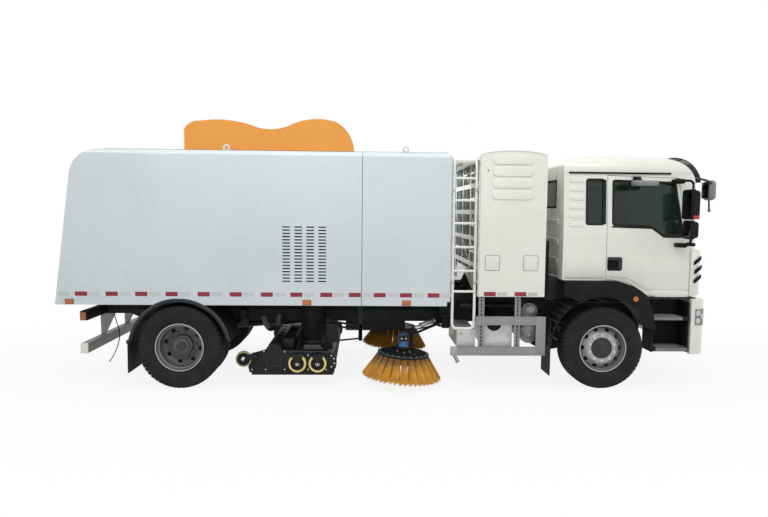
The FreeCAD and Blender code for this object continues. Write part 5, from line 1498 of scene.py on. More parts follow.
# --- rear lamps and underbody ------------------------------------------------------
@dataclass
class RearUnderbody:
    """Lamp housings, caps, frame bolts, lines and the stack behind the cab."""

    bar_rear: float = -1.245
    bar_front: float = -1.160
    bar_half: float = 1.020
    guard_radius: float = 0.602
    line_radius: float = 0.515 * 1.13
    rib_radius: float = 0.659

    def build(self) -> None:
        """Model the lamps first, then what hangs on the frame."""
        self.lamps()
        self.frame_details()
        self.stack()
        self.mudguards()

    def lamps(self) -> None:
        """Black housings over the lamp bar with rear and end lenses."""
        a, b, half = self.bar_rear, self.bar_front, self.bar_half
        case = block("lamp_housings", at(a - 0.004, -half - 0.004, 0.7850),
                     at(b + 0.004, -0.425, 0.9010), 0.008, 3)
        ribs = [block("lamp_housings", at(a - 0.0065, y - 0.004, 0.792), at(a, y + 0.004, 0.894),
                      0.001, 1) for y in (-0.842, -0.655)]
        fit(both(joined("lamp_housings", [case] + ribs)), MOULDED, "chassis")
        cap = block("lamp_ends", at(a + 0.002, -half - 0.0165, 0.797),
                    at(b - 0.012, -half - 0.002, 0.889), 0.007, 3)
        turn = self.lens("lamp_ends", -half + 0.012, -0.850)
        fit(both(joined("lamp_ends", [cap, turn])), AMBER_LENS, "chassis")
        fit(both(self.lens("lamp_stops", -0.835, -0.662)), RED_LENS, "chassis")
        fit(both(self.lens("lamp_reverse", -0.648, -0.470)), CLEAR_LENS, "chassis")
        end = block("underrun_caps", at(a - 0.003, -half - 0.010, 0.3815),
                    at(b + 0.003, -half + 0.006, 0.5065), 0.006, 3)
        fit(both(end), CAB_PAINT, "chassis")
        clamp = [drum("strut_bolts", at(s, -0.4175, z), at(s, -0.430, z), 0.011, 0.0012, 6)
                 for s in (-1.215, -1.17, -1.12) for z in (0.800, 0.850)]
        fit(both(joined("strut_bolts", clamp)), ZINC, "chassis")

    def lens(self, name: str, outer: float, inner: float) -> Obj:
        """Lens on a housing's rear face, from one Y to another."""
        return block(name, at(self.bar_rear - 0.0125, outer, 0.797),
                     at(self.bar_rear - 0.002, inner, 0.889), 0.005, 3)

    def frame_details(self) -> None:
        """Rows of bolts on the rails, and the pipes clipped along them."""
        bolt = drum("frame_bolts", at(0, -0.428, 0), at(0, -0.439, 0), 0.011, 0.0012, 6)
        spots = [(s, z) for s in band(34, -1.15, 5.95) for z in (0.83, 0.91)]
        fit(both(repeated(bolt, "frame_bolts", [shift(s, 0, z) for s, z in spots])), FRAME_PAINT,
            "chassis")
        lines = [pipe("frame_pipes", [at(-1.10, -0.452, z), at(0.2, -0.455, z), at(1.0, -0.452, z),
                                      at(2.2, -0.455, z), at(3.4, -0.452, z)], r, 6)
                 for z, r in ((0.875, 0.010), (0.850, 0.007))]
        clips = [block("frame_pipes", at(s, -0.462, 0.842), at(s + 0.02, -0.430, 0.890), 0.003)
                 for s in band(9, -0.9, 3.2)]
        fit(both(joined("frame_pipes", lines + clips)), RUBBER, "chassis")

    def stack(self) -> None:
        """Corrugated intake between the cabinet and the cab."""
        low, high, rings = 1.135, 1.800, 16
        body = block("intake_stack", at(4.392, -1.02, low), at(4.470, -0.70, high), 0.015, 3)
        rib = plate("intake_stack", oblong((4.384, -1.030), (4.478, -0.690)), Face.PLAN, -0.009,
                    0.009, edge=0.006, corner_radius=0.02)
        ribs = repeated(rib, "intake_stack",
                        [shift(0, 0, z) for z in band(rings, low + 0.03, high - 0.03)])
        fit(joined("intake_stack", [body, ribs]), MOULDED, "chassis")

    def mudguards(self) -> None:
        """Grey beads painted as highlights on the rear guards, their screws and stays, and the
        front ones' ribs.
        """
        # The grey bead and thin line on the black guard are painted highlights along its rounded
        # edge; the stay and screws share their grey.
        bead = pipe("guard_highlights_and_screws", [self.over_wheel(self.guard_radius, d, -1.236)
                                    for d in band(17, 10, 170)], 0.009)
        line = pipe("guard_highlights_and_screws", [self.over_wheel(self.line_radius, d, -1.240)
                                    for d in band(17, 12, 168)], 0.004)
        clip = block("guard_highlights_and_screws", at(-0.625, -1.236, 0.545), at(-0.590, -0.660, 0.585), 0.004)
        screws = [drum("guard_highlights_and_screws", at(-0.627, y, 0.565), at(-0.634, y, 0.565), 0.008, 0.001, 6)
                  for y in band(6, -1.20, -0.70)]
        fit(both(joined("guard_highlights_and_screws", [bead, line, clip] + screws)), DASH_GREY, "chassis")
        ribs = [drum("front_guard_ribs", self.over_wheel(self.rib_radius, d, -1.236, 5.1, 0.5),
                     self.over_wheel(self.rib_radius, d, -0.905, 5.1, 0.5), 0.008, 0.001, 10)
                for d in band(7, 130, 172)]
        fit(both(joined("front_guard_ribs", ribs)), GUARD_GREY, "chassis")

    @staticmethod
    def over_wheel(radius: float, degrees: float, y: float, station: float = 0.0,
                   height: float = 0.480) -> Vector:
        """Point on an arc over a wheel.

        Args:
            radius: the arc's radius.
            degrees: direction from the arc's centre, 0 to the front and 90 upwards.
            y: Y of the point.
            station: the centre's station.
            height: the centre's height.

        Returns:
            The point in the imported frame.
        """
        a = math.radians(degrees)
        return at(station + radius * math.cos(a), y, height + radius * math.sin(a))


# --- cab ----------------------------------------------------------------------------
FLANK = about((0, -1.12, 1.88), "X", -3.71)


def widened(outline: Outline, gap: float) -> list[tuple[float, float]]:
    """Outline moved outwards by a gap, its corners kept.

    Args:
        outline: corners in order round the shape.
        gap: distance outwards.

    Returns:
        The wider outline.
    """
    points = [Vector(p) for p in outline]
    area = sum(a.cross(b) for a, b in zip(points, points[1:] + points[:1]))
    sign = 1.0 if area > 0 else -1.0
    wide = []
    for before, here, after in zip(points[-1:] + points[:-1], points, points[1:] + points[:1]):
        first, second = (here - before).normalized(), (after - here).normalized()
        out = sign * (Vector((first.y, -first.x)) + Vector((second.y, -second.x)))
        out.normalize()
        lean = out.dot(sign * Vector((first.y, -first.x)))
        corner = here + out * gap / max(lean, 0.3)
        wide.append((corner.x, corner.y))
    return wide


def leaned(obj: Obj) -> Obj:
    """Tilt a piece made in the plane of the cab's foot on to the leaning upper flank.

    Args:
        obj: piece whose outer face lies at y = -1.12.

    Returns:
        The piece, its mesh turned about the waist line.
    """
    return moved(obj, FLANK)


@dataclass
class CabFlank:
    """Seals, creases, handle, gutter and trims on the cab's sides."""

    half: float = 1.120
    seal: float = 0.026
    door_window: tuple[tuple[float, float], ...] = ((5.215, 2.000), (5.215, 2.545),
                                                    (5.985, 2.525), (6.090, 1.880),
                                                    (5.830, 1.880), (5.690, 1.985))
    quarter: tuple[tuple[float, float], ...] = ((4.890, 2.007), (5.105, 2.007), (5.105, 2.555),
                                                (4.890, 2.555))
    deflector: tuple[float, float] = (6.105, -0.900)
    marker: tuple[float, float] = (5.479, 1.110)

    def build(self) -> None:
        """Model both flanks, each door's pieces riding with its door."""
        self.seals()
        self.pressings()
        self.handle()
        self.gutter()
        self.corner()
        self.markers()

    def outer(self) -> float:
        """Y of the right flank's face below the waist."""
        return -self.half

    def seals(self) -> None:
        """Rubber borders of the door and quarter windows."""
        y = self.outer()
        for name, outline, body in (("door_seal", self.door_window, "door_right_body"),
                                    ("quarter_seal", self.quarter, "cab")):
            ring = leaned(plate(name, stations(*widened(outline, 0.011)), Face.SIDE, y - 0.004,
                                y + 0.014, edge=0.003, corner_radius=0.037, segments=5,
                                rim=self.seal))
            if body == "cab":
                fit(both(ring), RUBBER, "cab")
            else:
                self.on_doors(ring, RUBBER)
        strip = leaned(block("quarter_strip", at(5.104, y - 0.0035, 2.010),
                             at(5.132, y + 0.004, 2.552), 0.002))
        fit(both(strip), RUBBER, "cab")
        sweep = leaned(plate("sill_rail", stations((5.200, 1.972), (5.700, 1.958), (5.845, 1.852),
                                                   (6.100, 1.852), (6.100, 1.868), (5.852, 1.868),
                                                   (5.706, 1.974), (5.200, 1.988)), Face.SIDE,
                             y - 0.006, y + 0.004, edge=0.003))
        self.on_doors(sweep, MOULDED)

    def on_doors(self, obj: Obj, finish: Finish, smooth: float = 40.0) -> None:
        """Keep a right-hand piece on its door and mirror it to the other.

        Args:
            obj: piece of the right door.
            finish: its finish.
            smooth: angle below which edges shade smooth.
        """
        name = obj.name
        other = copy_at(obj, name + "_left", MIRROR)
        fit(obj, finish, "door_right_body", smooth)
        fit(other, finish, "door_left_body", smooth)

    def pressings(self) -> None:
        """Ribs behind the quarter window and creases across door and rear panel."""
        y = self.outer()
        rib = plate("panel_ribs", oblong((4.680, -0.030), (4.860, 0.030)), Face.SIDE, y - 0.009,
                    y + 0.001, edge=0.008, corner_radius=0.028, segments=4)
        ribs = repeated(rib, "panel_ribs", [shift(0, 0, z) for z in band(6, 2.005, 2.545)])
        fit(both(leaned(ribs)), CAB_PAINT, "cab", 60.0)
        lower = self.crease("panel_crease", oblong((4.640, 1.345), (5.120, 1.625)))
        upper = self.crease("panel_crease", oblong((4.640, 1.215), (5.120, 1.330)))
        fit(both(joined("panel_crease", [lower, upper])), CAB_PAINT, "cab", 60.0)
        door = self.crease("door_crease", stations((5.185, 1.370), (5.430, 1.345), (5.660, 1.215),
                                                   (6.180, 1.215), (6.180, 1.600),
                                                   (5.185, 1.630)))
        sill = self.crease("door_crease", oblong((5.700, 1.145), (6.180, 1.196)))
        self.on_doors(joined("door_crease", [door, sill]), CAB_PAINT, 60.0)

    def crease(self, name: str, outline: Outline) -> Obj:
        """Panel of the flank that stands 6 mm proud inside its outline."""
        return plate(name, outline, Face.SIDE, self.outer() - 0.006, self.outer() + 0.001,
                     edge=0.005, corner_radius=0.012, segments=3)

    def handle(self) -> None:
        """Dark recess with its pull, finger rib and lock."""
        y = self.outer()
        cup = plate("handle_cup", oblong((5.160, 1.442), (5.344, 1.611)), Face.SIDE, y - 0.0085,
                    y + 0.001, edge=0.004, corner_radius=0.026, segments=4)
        self.on_doors(cup, MOULDED)
        bowl = plate("handle_bowl", oblong((5.172, 1.470), (5.290, 1.566)), Face.SIDE, y - 0.0092,
                     y - 0.004, corner_radius=0.020, segments=4)
        self.on_doors(bowl, DEEP_SHADE)
        pull = block("handle_pull", at(5.166, y - 0.026, 1.572), at(5.338, y - 0.006, 1.600),
                     0.008, 3)
        rib = block("handle_pull", at(5.296, y - 0.018, 1.456), at(5.330, y - 0.006, 1.574),
                    0.006, 3)
        lock = drum("handle_pull", at(5.314, y - 0.018, 1.480), at(5.314, y - 0.023, 1.480), 0.010,
                    0.0015, 20)
        self.on_doors(joined("handle_pull", [pull, rib, lock]), SMOOTH_PLASTIC)

    def gutter(self) -> None:
        """Dark gutter over the door and the joint of the roof."""
        strip = block("gutter", at(4.668, -1.0890, 2.6215), at(5.925, -1.0640, 2.6425), 0.004)
        fit(both(strip), MOULDED, "cab")
        lip = block("roof_joint", at(4.625, -1.0760, 2.6460), at(6.050, -1.0640, 2.6540), 0.003)
        fit(both(lip), CAB_PAINT, "cab")

    def corner(self) -> None:
        """Wind deflector on the front corner with its gills."""
        x, y = self.deflector
        blade = plate("deflector", bent_strip((x, y), (0.312, 0.234), (0.280, 0.212), -70, 10),
                      Face.PLAN, 1.135, 1.690, edge=0.008)
        for vertex in blade.data.vertices:
            vertex.co.x += self.bulge(vertex.co.z)
        fit(both(blade), CAB_PAINT, "cab", 60.0)
        gills = []
        for z in (1.285, 1.400, 1.515):
            sweep = bent_strip((x + self.bulge(z + 0.04), y), (0.315, 0.237), (0.300, 0.225), -66,
                               -38, 6)
            gill = plate("deflector_gills", sweep, Face.PLAN, z, z + 0.050, edge=0.004)
            for vertex in gill.data.vertices:
                vertex.co.z += 0.55 * (vertex.co.x - REAR_AXLE - 6.25)
            gills.append(gill)
        fit(both(joined("deflector_gills", gills)), DEEP_SHADE, "cab")

    @staticmethod
    def bulge(z: float) -> float:
        """How far forward the deflector stands at a height."""
        rise = (z - 1.41) / 0.28
        return 0.040 * (1.0 - rise * rise) - 0.012

    def markers(self) -> None:
        """Round amber marker on the arch and ribbed step trims."""
        y, (x, z) = -1.235, self.marker
        case = drum("side_marker", at(x, y + 0.004, z), at(x, y - 0.005, z), 0.040, 0.003, 36)
        fit(both(case), MOULDED, "cab")
        lens = drum("side_marker_lens", at(x, y - 0.003, z), at(x, y - 0.013, z), 0.033, 0.005, 36)
        fit(both(lens), AMBER_LENS, "cab")
        for low, high, start, end in ((0.836, 0.879, 5.752, 6.112), (0.451, 0.494, 5.790, 6.190)):
            bars = [block("step_trims", at(start, -1.1535, low + 0.003),
                          at(end, -1.146, high - 0.003), 0.003)]
            bars += [block("step_trims", at(s, -1.1565, low + 0.008),
                           at(s + 0.010, -1.150, high - 0.008), 0.001, 1)
                     for s in band(14, start + 0.02, end - 0.03)]
            treads = [block("step_trims", at(start + 0.01, tread, high - 0.001),
                            at(end - 0.01, tread + 0.010, high + 0.0045), 0.001, 1)
                      for tread in band(9, -1.14, -0.92)]
            fit(both(joined("step_trims", bars + treads)), MIRROR_GREY, "chassis")
        wall = [block("step_wall", at(s, -0.889, 0.525), at(s + 0.012, -0.877, 0.815), 0.002)
                for s in band(9, 5.80, 6.14)]
        fit(both(joined("step_wall", wall)), MOULDED, "chassis")


@dataclass
class CabFront:
    """Grille, lamps, wipers, plate and rear wall of the cab."""

    corner: tuple[float, float] = (6.260, -0.970)
    lamp_radius: float = 0.182
    fog: tuple[float, float] = (-0.80, 0.555)
    rear_face: float = 4.601
    seal: float = 0.028

    def build(self) -> None:
        """Model the front of the cab, then its rear wall."""
        self.grille()
        self.lamps()
        self.wipers()
        self.rear_wall()

    @staticmethod
    def bow(y: float, base: float = 6.370) -> float:
        """Station of the bowed front face at a distance from the middle."""
        return base - 0.045 * (y / 0.9) ** 2

    def bowed(self, name: str, half: float, low: float, high: float, depth: float,
              base: float = 6.370) -> Obj:
        """Bar that follows the bow of the front.

        Args:
            name: name of the piece.
            half: its half width.
            low: its lowest height.
            high: its highest height.
            depth: how far it stands off the face.
            base: station of the face at the middle.

        Returns:
            The bar.
        """
        ys = band(13, -half, half)
        ahead = [(REAR_AXLE + self.bow(y, base) + depth, y) for y in ys]
        behind = [(REAR_AXLE + self.bow(y, base) - 0.010, y) for y in reversed(ys)]
        return plate(name, ahead + behind, Face.PLAN, low, high, edge=min(0.004, (high - low) / 3))

    def grille(self) -> None:
        """Upper grille panel, its slats and a bare bar, and the lower mesh."""
        panel = self.bowed("grille_panel", 0.800, 1.175, 1.560, 0.010)
        fit(panel, MOULDED, "cab")
        slats = [self.bowed("grille_slats", 0.780, z, z + 0.030, 0.034)
                 for z in band(5, 1.195, 1.500)]
        fit(joined("grille_slats", slats), SMOOTH_PLASTIC, "cab")
        bar = self.bowed("grille_bar", 0.700, 1.345, 1.362, 0.040)
        fit(bar, BRIGHT_STEEL, "cab")
        mesh = [block("lower_grille", at(6.424, y, 0.80), at(6.436, y + 0.012, 1.12), 0.002, 1)
                for y in band(25, -0.66, 0.648)]
        fit(joined("lower_grille", mesh), MOULDED, "cab")

    def lamps(self) -> None:
        """Headlamps at the bumper's corners, their inner cells, and a bare plate."""
        lamp = self.corner_sheet("headlamp", 0.190, 0.012, 0.770, 0.985)
        fit(both(lamp), CLEAR_LENS, "chassis")
        bowl = self.corner_sheet("headlamp_bowl", 0.184, 0.010, 0.780, 0.975)
        fit(both(bowl), MIRROR_GREY, "chassis")
        cells = []
        for degrees, z in ((-76.0, 0.925), (-76.0, 0.830), (-54.0, 0.880)):
            a = math.radians(degrees)
            way = Vector((math.cos(a), math.sin(a), 0))
            foot = at(*self.corner, z) + way * self.lamp_radius
            cells.append(drum("headlamp_cells", foot, foot + way * 0.008, 0.036, 0.004, 28))
        fit(both(joined("headlamp_cells", cells)), BRIGHT_STEEL, "chassis")
        for name, start, end, radius, finish in (
                ("fog_lamp", 6.436, 6.447, 0.052, CLEAR_LENS),
                ("fog_bezel", 6.434, 6.441, 0.066, MOULDED)):
            disc = drum(name, at(start, *self.fog), at(end, *self.fog), radius, 0.004, 32)
            fit(both(disc), finish, "chassis")
        for name, low, high, start, end in (
                ("blank_plate", (-0.220, 0.530), (0.220, 0.670), 6.439, 6.4415),
                ("blank_rear_plate", (0.520, 0.640), (0.900, 0.770), -1.2465, -1.2440)):
            blank = plate(name, rectangle(low, high), Face.FRONT, REAR_AXLE + start,
                          REAR_AXLE + end, edge=0.0008, corner_radius=0.010)
            fit(blank, CAB_PAINT, "chassis")

    def corner_sheet(self, name: str, radius: float, depth: float, low: float,
                     high: float) -> Obj:
        """Curved sheet that wraps the bumper's corner.

        Args:
            name: name of the piece.
            radius: radius of its outer face about the corner's centre.
            depth: its thickness.
            low: its lowest height.
            high: its highest height.

        Returns:
            The sheet of the right corner.
        """
        inner = radius - depth
        return plate(name, bent_strip(self.corner, (radius, radius), (inner, inner), -88, -40),
                     Face.PLAN, low, high, edge=0.003)

    def wipers(self) -> None:
        """Two wipers lying along the foot of the windscreen."""
        for side in (-1, 1):
            base = at(self.bow(0.15) + 0.008, side * 0.18, 1.800)
            tip = at(self.bow(0.78), side * 0.80, 1.905)
            arm = pipe("wiper_arms", [base, tip], 0.006, 8)
            foot = drum("wiper_arms", at(self.bow(0.15) - 0.01, side * 0.18, 1.800),
                        at(self.bow(0.15) + 0.016, side * 0.18, 1.800), 0.018, 0.003, 24)
            blade = pipe("wiper_arms", [at(self.bow(0.35) - 0.002, side * 0.35, 1.862),
                                        at(self.bow(0.65) - 0.005, side * 0.65, 1.905),
                                        at(self.bow(0.90) - 0.006, side * 0.90, 1.935)], 0.008, 8)
            fit(joined("wiper_" + ("right" if side < 0 else "left"), [arm, foot, blade]), MOULDED,
                "cab")

    def rear_wall(self) -> None:
        """Pressed ribs below the rear window and its seal."""
        face = REAR_AXLE + self.rear_face
        for z in band(4, 1.300, 2.020):
            rib = plate("rear_ribs", rectangle((-0.92, z - 0.045), (0.92, z + 0.045)), Face.FRONT,
                        face, face + 0.010, edge=0.007, corner_radius=0.040, segments=4)
            fit(rib, CAB_PAINT, "cab", 60.0)
        ring = plate("rear_window_seal", rectangle((-0.80, 2.20), (0.80, 2.56)), Face.FRONT,
                     face + 0.005, face + 0.025, edge=0.003, corner_radius=0.05, segments=4,
                     rim=self.seal)
        fit(ring, RUBBER, "cab")
        lid = plate("rear_hatch", rectangle((-0.62, 1.245), (-0.30, 1.285)), Face.FRONT,
                    face - 0.003, face + 0.003, edge=0.002)
        fit(lid, MOULDED, "cab")


@dataclass
class MirrorSet:
    """Exterior mirrors of one door, modelled over their solid."""

    side: Side
    tall: float = 2.435

    def build(self) -> None:
        """Model the two housings, glass, arms and reflector of a door."""
        body = f"door_{self.side.word}_body"
        black = [
            self.housing(6.014, 6.128, -1.447, -1.203, 2.079, self.tall),
            self.housing(6.024, 6.128, -1.437, -1.213, 1.844, 2.068),
            pipe("m", [at(6.08, -1.325, 2.075), at(6.08, -1.325, 2.52)], 0.013, 10),
            pipe("m", [at(6.08, -1.325, 2.50), at(6.075, -1.31, 2.54), at(6.02, -1.20, 2.542),
                       at(5.955, -1.090, 2.540)], 0.015, 10),
            pipe("m", [at(6.08, -1.325, 1.86), at(6.08, -1.322, 1.775), at(6.05, -1.24, 1.766),
                       at(5.998, -1.124, 1.765)], 0.015, 10),
            block("m", at(6.050, -1.390, 1.762), at(6.108, -1.240, 1.802), 0.012, 3),
            block("m", at(5.975, -1.250, 1.738), at(6.085, -1.135, 1.792), 0.020, 4),
            block("m", at(5.935, -1.190, 2.508), at(6.060, -1.100, 2.568), 0.022, 4),
            drum("m", at(5.995, -1.116, 1.765), at(6.010, -1.150, 1.765), 0.026, 0.004, 24),
            drum("m", at(5.950, -1.080, 2.540), at(5.962, -1.112, 2.541), 0.024, 0.004, 24),
        ]
        glass = [
            block("g", at(6.010, -1.430, 2.130), at(6.016, -1.220, 2.418), 0.006),
            block("g", at(6.020, -1.420, 1.862), at(6.026, -1.230, 2.050), 0.006),
        ]
        rims = [plate("r", rectangle((-1.440, 2.090), (-1.210, 2.428)), Face.FRONT,
                      REAR_AXLE + 6.011, REAR_AXLE + 6.020, edge=0.002, corner_radius=0.03,
                      segments=4, rim=0.012)]
        if self.side is Side.RIGHT:
            kerb, arm = self.kerb()
            glass.append(block("g", at(5.372, -1.385, 2.4615), at(5.628, -1.245, 2.4675), 0.005))
            fit(kerb, MIRROR_GREY, body, 60.0)
            black.append(arm)
        case = for_side(joined(f"mirror_cases_{self.side.word}", black + rims), self.side)
        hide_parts(f"mirrors_{self.side.word}")
        fit(case, MOULDED, body, 60.0)
        panes = joined(f"mirror_glass_{self.side.word}", glass)
        fit(for_side(panes, self.side), MIRROR_GLASS, body)
        spot = block(f"mirror_reflector_{self.side.word}", at(6.036, -1.4495, 2.083),
                     at(6.106, -1.4425, 2.128), 0.003)
        fit(for_side(spot, self.side), RED_LENS, body)

    @staticmethod
    def housing(rear: float, front: float, y0: float, y1: float, low: float,
                high: float) -> Obj:
        """Rounded shell of a mirror, its back drawn in towards the front.

        Args:
            rear: station of its open face.
            front: station of its back.
            y0: Y of its outer side.
            y1: Y of its inner side.
            low: its lowest height.
            high: its highest height.

        Returns:
            The shell.
        """
        body = block("m", at(rear, y0, low), at((rear + front) / 2, y1, high), 0.026, 4)
        nose = block("m", at(rear + 0.015, y0 + 0.012, low + 0.014),
                     at(front, y1 - 0.012, high - 0.014), 0.036, 5)
        return joined("m", [body, nose])

    @staticmethod
    def kerb() -> tuple[Obj, Obj]:
        """Kerb mirror over the right door.

        Returns:
            Its shell and its arm.
        """
        shell = block("mirror_kerb", at(5.362, -1.398, 2.464), at(5.638, -1.232, 2.533), 0.026, 5)
        arm = [pipe("m", [at(5.500, -1.300, 2.500), at(5.500, -1.245, 2.540),
                          at(5.500, -1.100, 2.572)], 0.013, 10),
               block("m", at(5.452, -1.110, 2.552), at(5.548, -1.076, 2.592), 0.006, 3)]
        return shell, joined("m", arm)


@dataclass
class FrontMirror:
    """Mirror that hangs off the front corner and looks down at the bumper."""

    middle: float = -0.950

    def build(self) -> None:
        """Model the hood, arm, hook and glass."""
        y = self.middle
        parts = [
            pipe("m", [at(6.480, -1.000, 2.500), at(6.470, -1.048, 2.528),
                       at(6.330, -1.046, 2.574), at(6.192, -1.040, 2.598)], 0.014, 10),
            pipe("m", [at(6.480, y, 2.330), at(6.486, y, 2.240), at(6.490, y, 2.180)], 0.011, 10),
            drum("m", at(6.489, y, 2.196), at(6.491, y, 2.174), 0.018, 0.004, 18),
            drum("m", at(6.186, -1.036, 2.600), at(6.206, -1.046, 2.594), 0.026, 0.004, 24),
        ]
        fit(joined("front_mirror_arm", parts), GUARD_GREY, "cab", 60.0)
        case = block("front_mirror_case", at(6.428, -1.048, 2.316), at(6.532, -0.852, 2.563),
                     0.050, 8)
        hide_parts("front_mirror")
        fit(case, MIRROR_GREY, "cab", 60.0)
        glass = block("front_mirror_glass", at(6.4235, -1.030, 2.340), at(6.4300, -0.870, 2.540),
                      0.005)
        fit(glass, MIRROR_GLASS, "cab")


# --- seats --------------------------------------------------------------------------
@dataclass
class Seat:
    """Sprung seat: plastic base with cushion, back and head rest of cloth."""

    side: Side
    voxel: float = 0.018
    cap: float = 0.020
    cushion: tuple[float, float] = (4.925, 5.405)
    half: float = 0.232
    offset: float = 0.520
    channels: tuple[float, ...] = (-0.075, 0.0, 0.075)
    pressure: float = 4.0
    frames: int = 16
    name: str = field(init=False)

    def __post_init__(self) -> None:
        """Name the seat after its side."""
        self.name = f"seat_{self.side.word}"

    def build(self) -> None:
        """Model the three pads, then the base."""
        a, b = self.cushion
        pad = self.panelled([((a, -self.half, 1.662), (b, self.half, 1.756)),
                             ((a + 0.03, -self.half, 1.70), (b, -0.150, 1.772)),
                             ((a + 0.03, 0.150, 1.70), (b, self.half, 1.772))])
        self.pad("cushion", pad, 0.75)
        back = self.panelled([((4.905, -0.222, 1.790), (5.000, 0.222, 2.372)),
                              ((4.945, -0.224, 1.830), (5.018, -0.140, 2.330)),
                              ((4.945, 0.140, 1.830), (5.018, 0.224, 2.330))])
        self.pad("back", moved(back, self.lean()), 0.8)
        head = self.panelled([((4.800, -0.115, 2.405), (4.876, 0.115, 2.548))])
        self.pad("head", head, 0.85)
        self.base()

    @staticmethod
    def lean() -> Matrix:
        """Turn that lays the back to the rear about its foot."""
        return about(at(4.965, 0, 1.775), "Y", -8.5)

    def panelled(self, boxes: Sequence[tuple[Point, Point]]) -> Obj:
        """Soft rounded blocks joined into one shape.

        Args:
            boxes: low and high corners of each, as station, Y and height.

        Returns:
            The joined shape about the middle of the cab.
        """
        parts = [block("pad", at(*low), at(*high), 0.030, 4) for low, high in boxes]
        return joined("pad", parts)

    def pad(self, name: str, obj: Obj, fill: float) -> None:
        """Stuff a pad as cloth under pressure, then sew its channels.

        Args:
            name: which pad it is.
            obj: its starting shape, slightly small.
            fill: how tight it is stuffed; not used.
        """
        obj.name = f"{self.name}_{name}"
        pick(obj)
        apply_modifier(obj, "REMESH", mode="VOXEL", voxel_size=self.voxel, use_smooth_shade=True)
        self.inflate(obj)
        for vertex in obj.data.vertices:
            y = vertex.co.y
            for channel in self.channels:
                depth = 0.006 * math.exp(-((y - channel) / 0.012) ** 2)
                vertex.co.x -= depth * (1.0 if name != "cushion" else 0.0)
                vertex.co.z -= depth * (1.0 if name == "cushion" else 0.0)
        pick(obj)
        apply_modifier(obj, "SUBSURF", levels=1)
        obj.data.transform(shift(0, self.side.value * self.offset))
        if name == "cushion":
            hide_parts("seats")
        fit(obj, SEAT_CLOTH, "cab", 80.0)

    def inflate(self, obj: Obj) -> None:
        """Blow a pad up as cloth and keep each point near its start.

        Args:
            obj: closed shape of the pad.
        """
        start = [vertex.co.copy() for vertex in obj.data.vertices]
        cloth = obj.modifiers.new("cloth", "CLOTH")
        cloth.settings.use_pressure = True
        cloth.settings.uniform_pressure_force = self.pressure
        cloth.settings.effector_weights.gravity = 0.0
        cloth.point_cache.frame_start, cloth.point_cache.frame_end = 1, self.frames
        scene = bpy.context.scene
        for frame_number in range(1, self.frames + 1):
            scene.frame_set(frame_number)
        pick(obj)
        bpy.ops.object.modifier_apply(modifier=cloth.name)
        scene.frame_set(1)
        for vertex, place in zip(obj.data.vertices, start):
            step = vertex.co - place
            if step.length > self.cap:
                vertex.co = place + step.normalized() * self.cap

    def base(self) -> None:
        """Plastic shroud, slides, back shell and belt buckle."""
        y = self.side.value * self.offset
        parts = [
            block("b", at(4.970, y - 0.175, 1.390), at(5.370, y + 0.175, 1.560), 0.030, 4),
            block("b", at(4.940, y - 0.215, 1.545), at(5.395, y + 0.215, 1.655), 0.035, 4),
            block("b", at(4.990, y - 0.160, 1.386), at(5.378, y - 0.140, 1.400), 0.003),
            block("b", at(4.990, y + 0.140, 1.386), at(5.378, y + 0.160, 1.400), 0.003),
            moved(block("b", at(4.885, y - 0.205, 1.780), at(4.915, y + 0.205, 2.340), 0.012, 3),
                  self.lean()),
            drum("b", at(4.850, y - 0.050, 2.330), at(4.840, y - 0.050, 2.430), 0.006, 0.001, 12),
            drum("b", at(4.850, y + 0.050, 2.330), at(4.840, y + 0.050, 2.430), 0.006, 0.001, 12),
            block("b", at(5.000, y + self.side.value * -0.240, 1.640),
                  at(5.045, y + self.side.value * -0.222, 1.800), 0.006, 2),
        ]
        fit(joined(f"{self.name}_base", parts), MOULDED, "cab")


# --- wheels --------------------------------------------------------------------
HUB = (0.0, 0.0, 0.0)
AXLE = Vector((0, 1, 0))


def around(count: int, start: float = 0.0) -> list[Matrix]:
    """Turns that spread a piece evenly round a wheel made at the origin."""
    return [about(HUB, AXLE, start + 360.0 * n / count) for n in range(count)]


def hex_nut(name: str, base: Vector, way: Vector, across: float, height: float) -> Obj:
    """Nut with a washer face and the stud's end standing out of it.

    Args:
        name: the object's name.
        base: where it sits.
        way: the way it points.
        across: its size across the corners.
        height: its height.

    Returns:
        The nut.
    """
    washer = drum(name, base, base + way * height * 0.25, across * 0.62, 0.001, 18)
    nut = drum(name, base + way * height * 0.2, base + way * height, across / 2, 0.0015, 6)
    stud = drum(name, base, base + way * height * 1.35, across * 0.24, 0.001, 12)
    return joined(name, [washer, nut, stud])


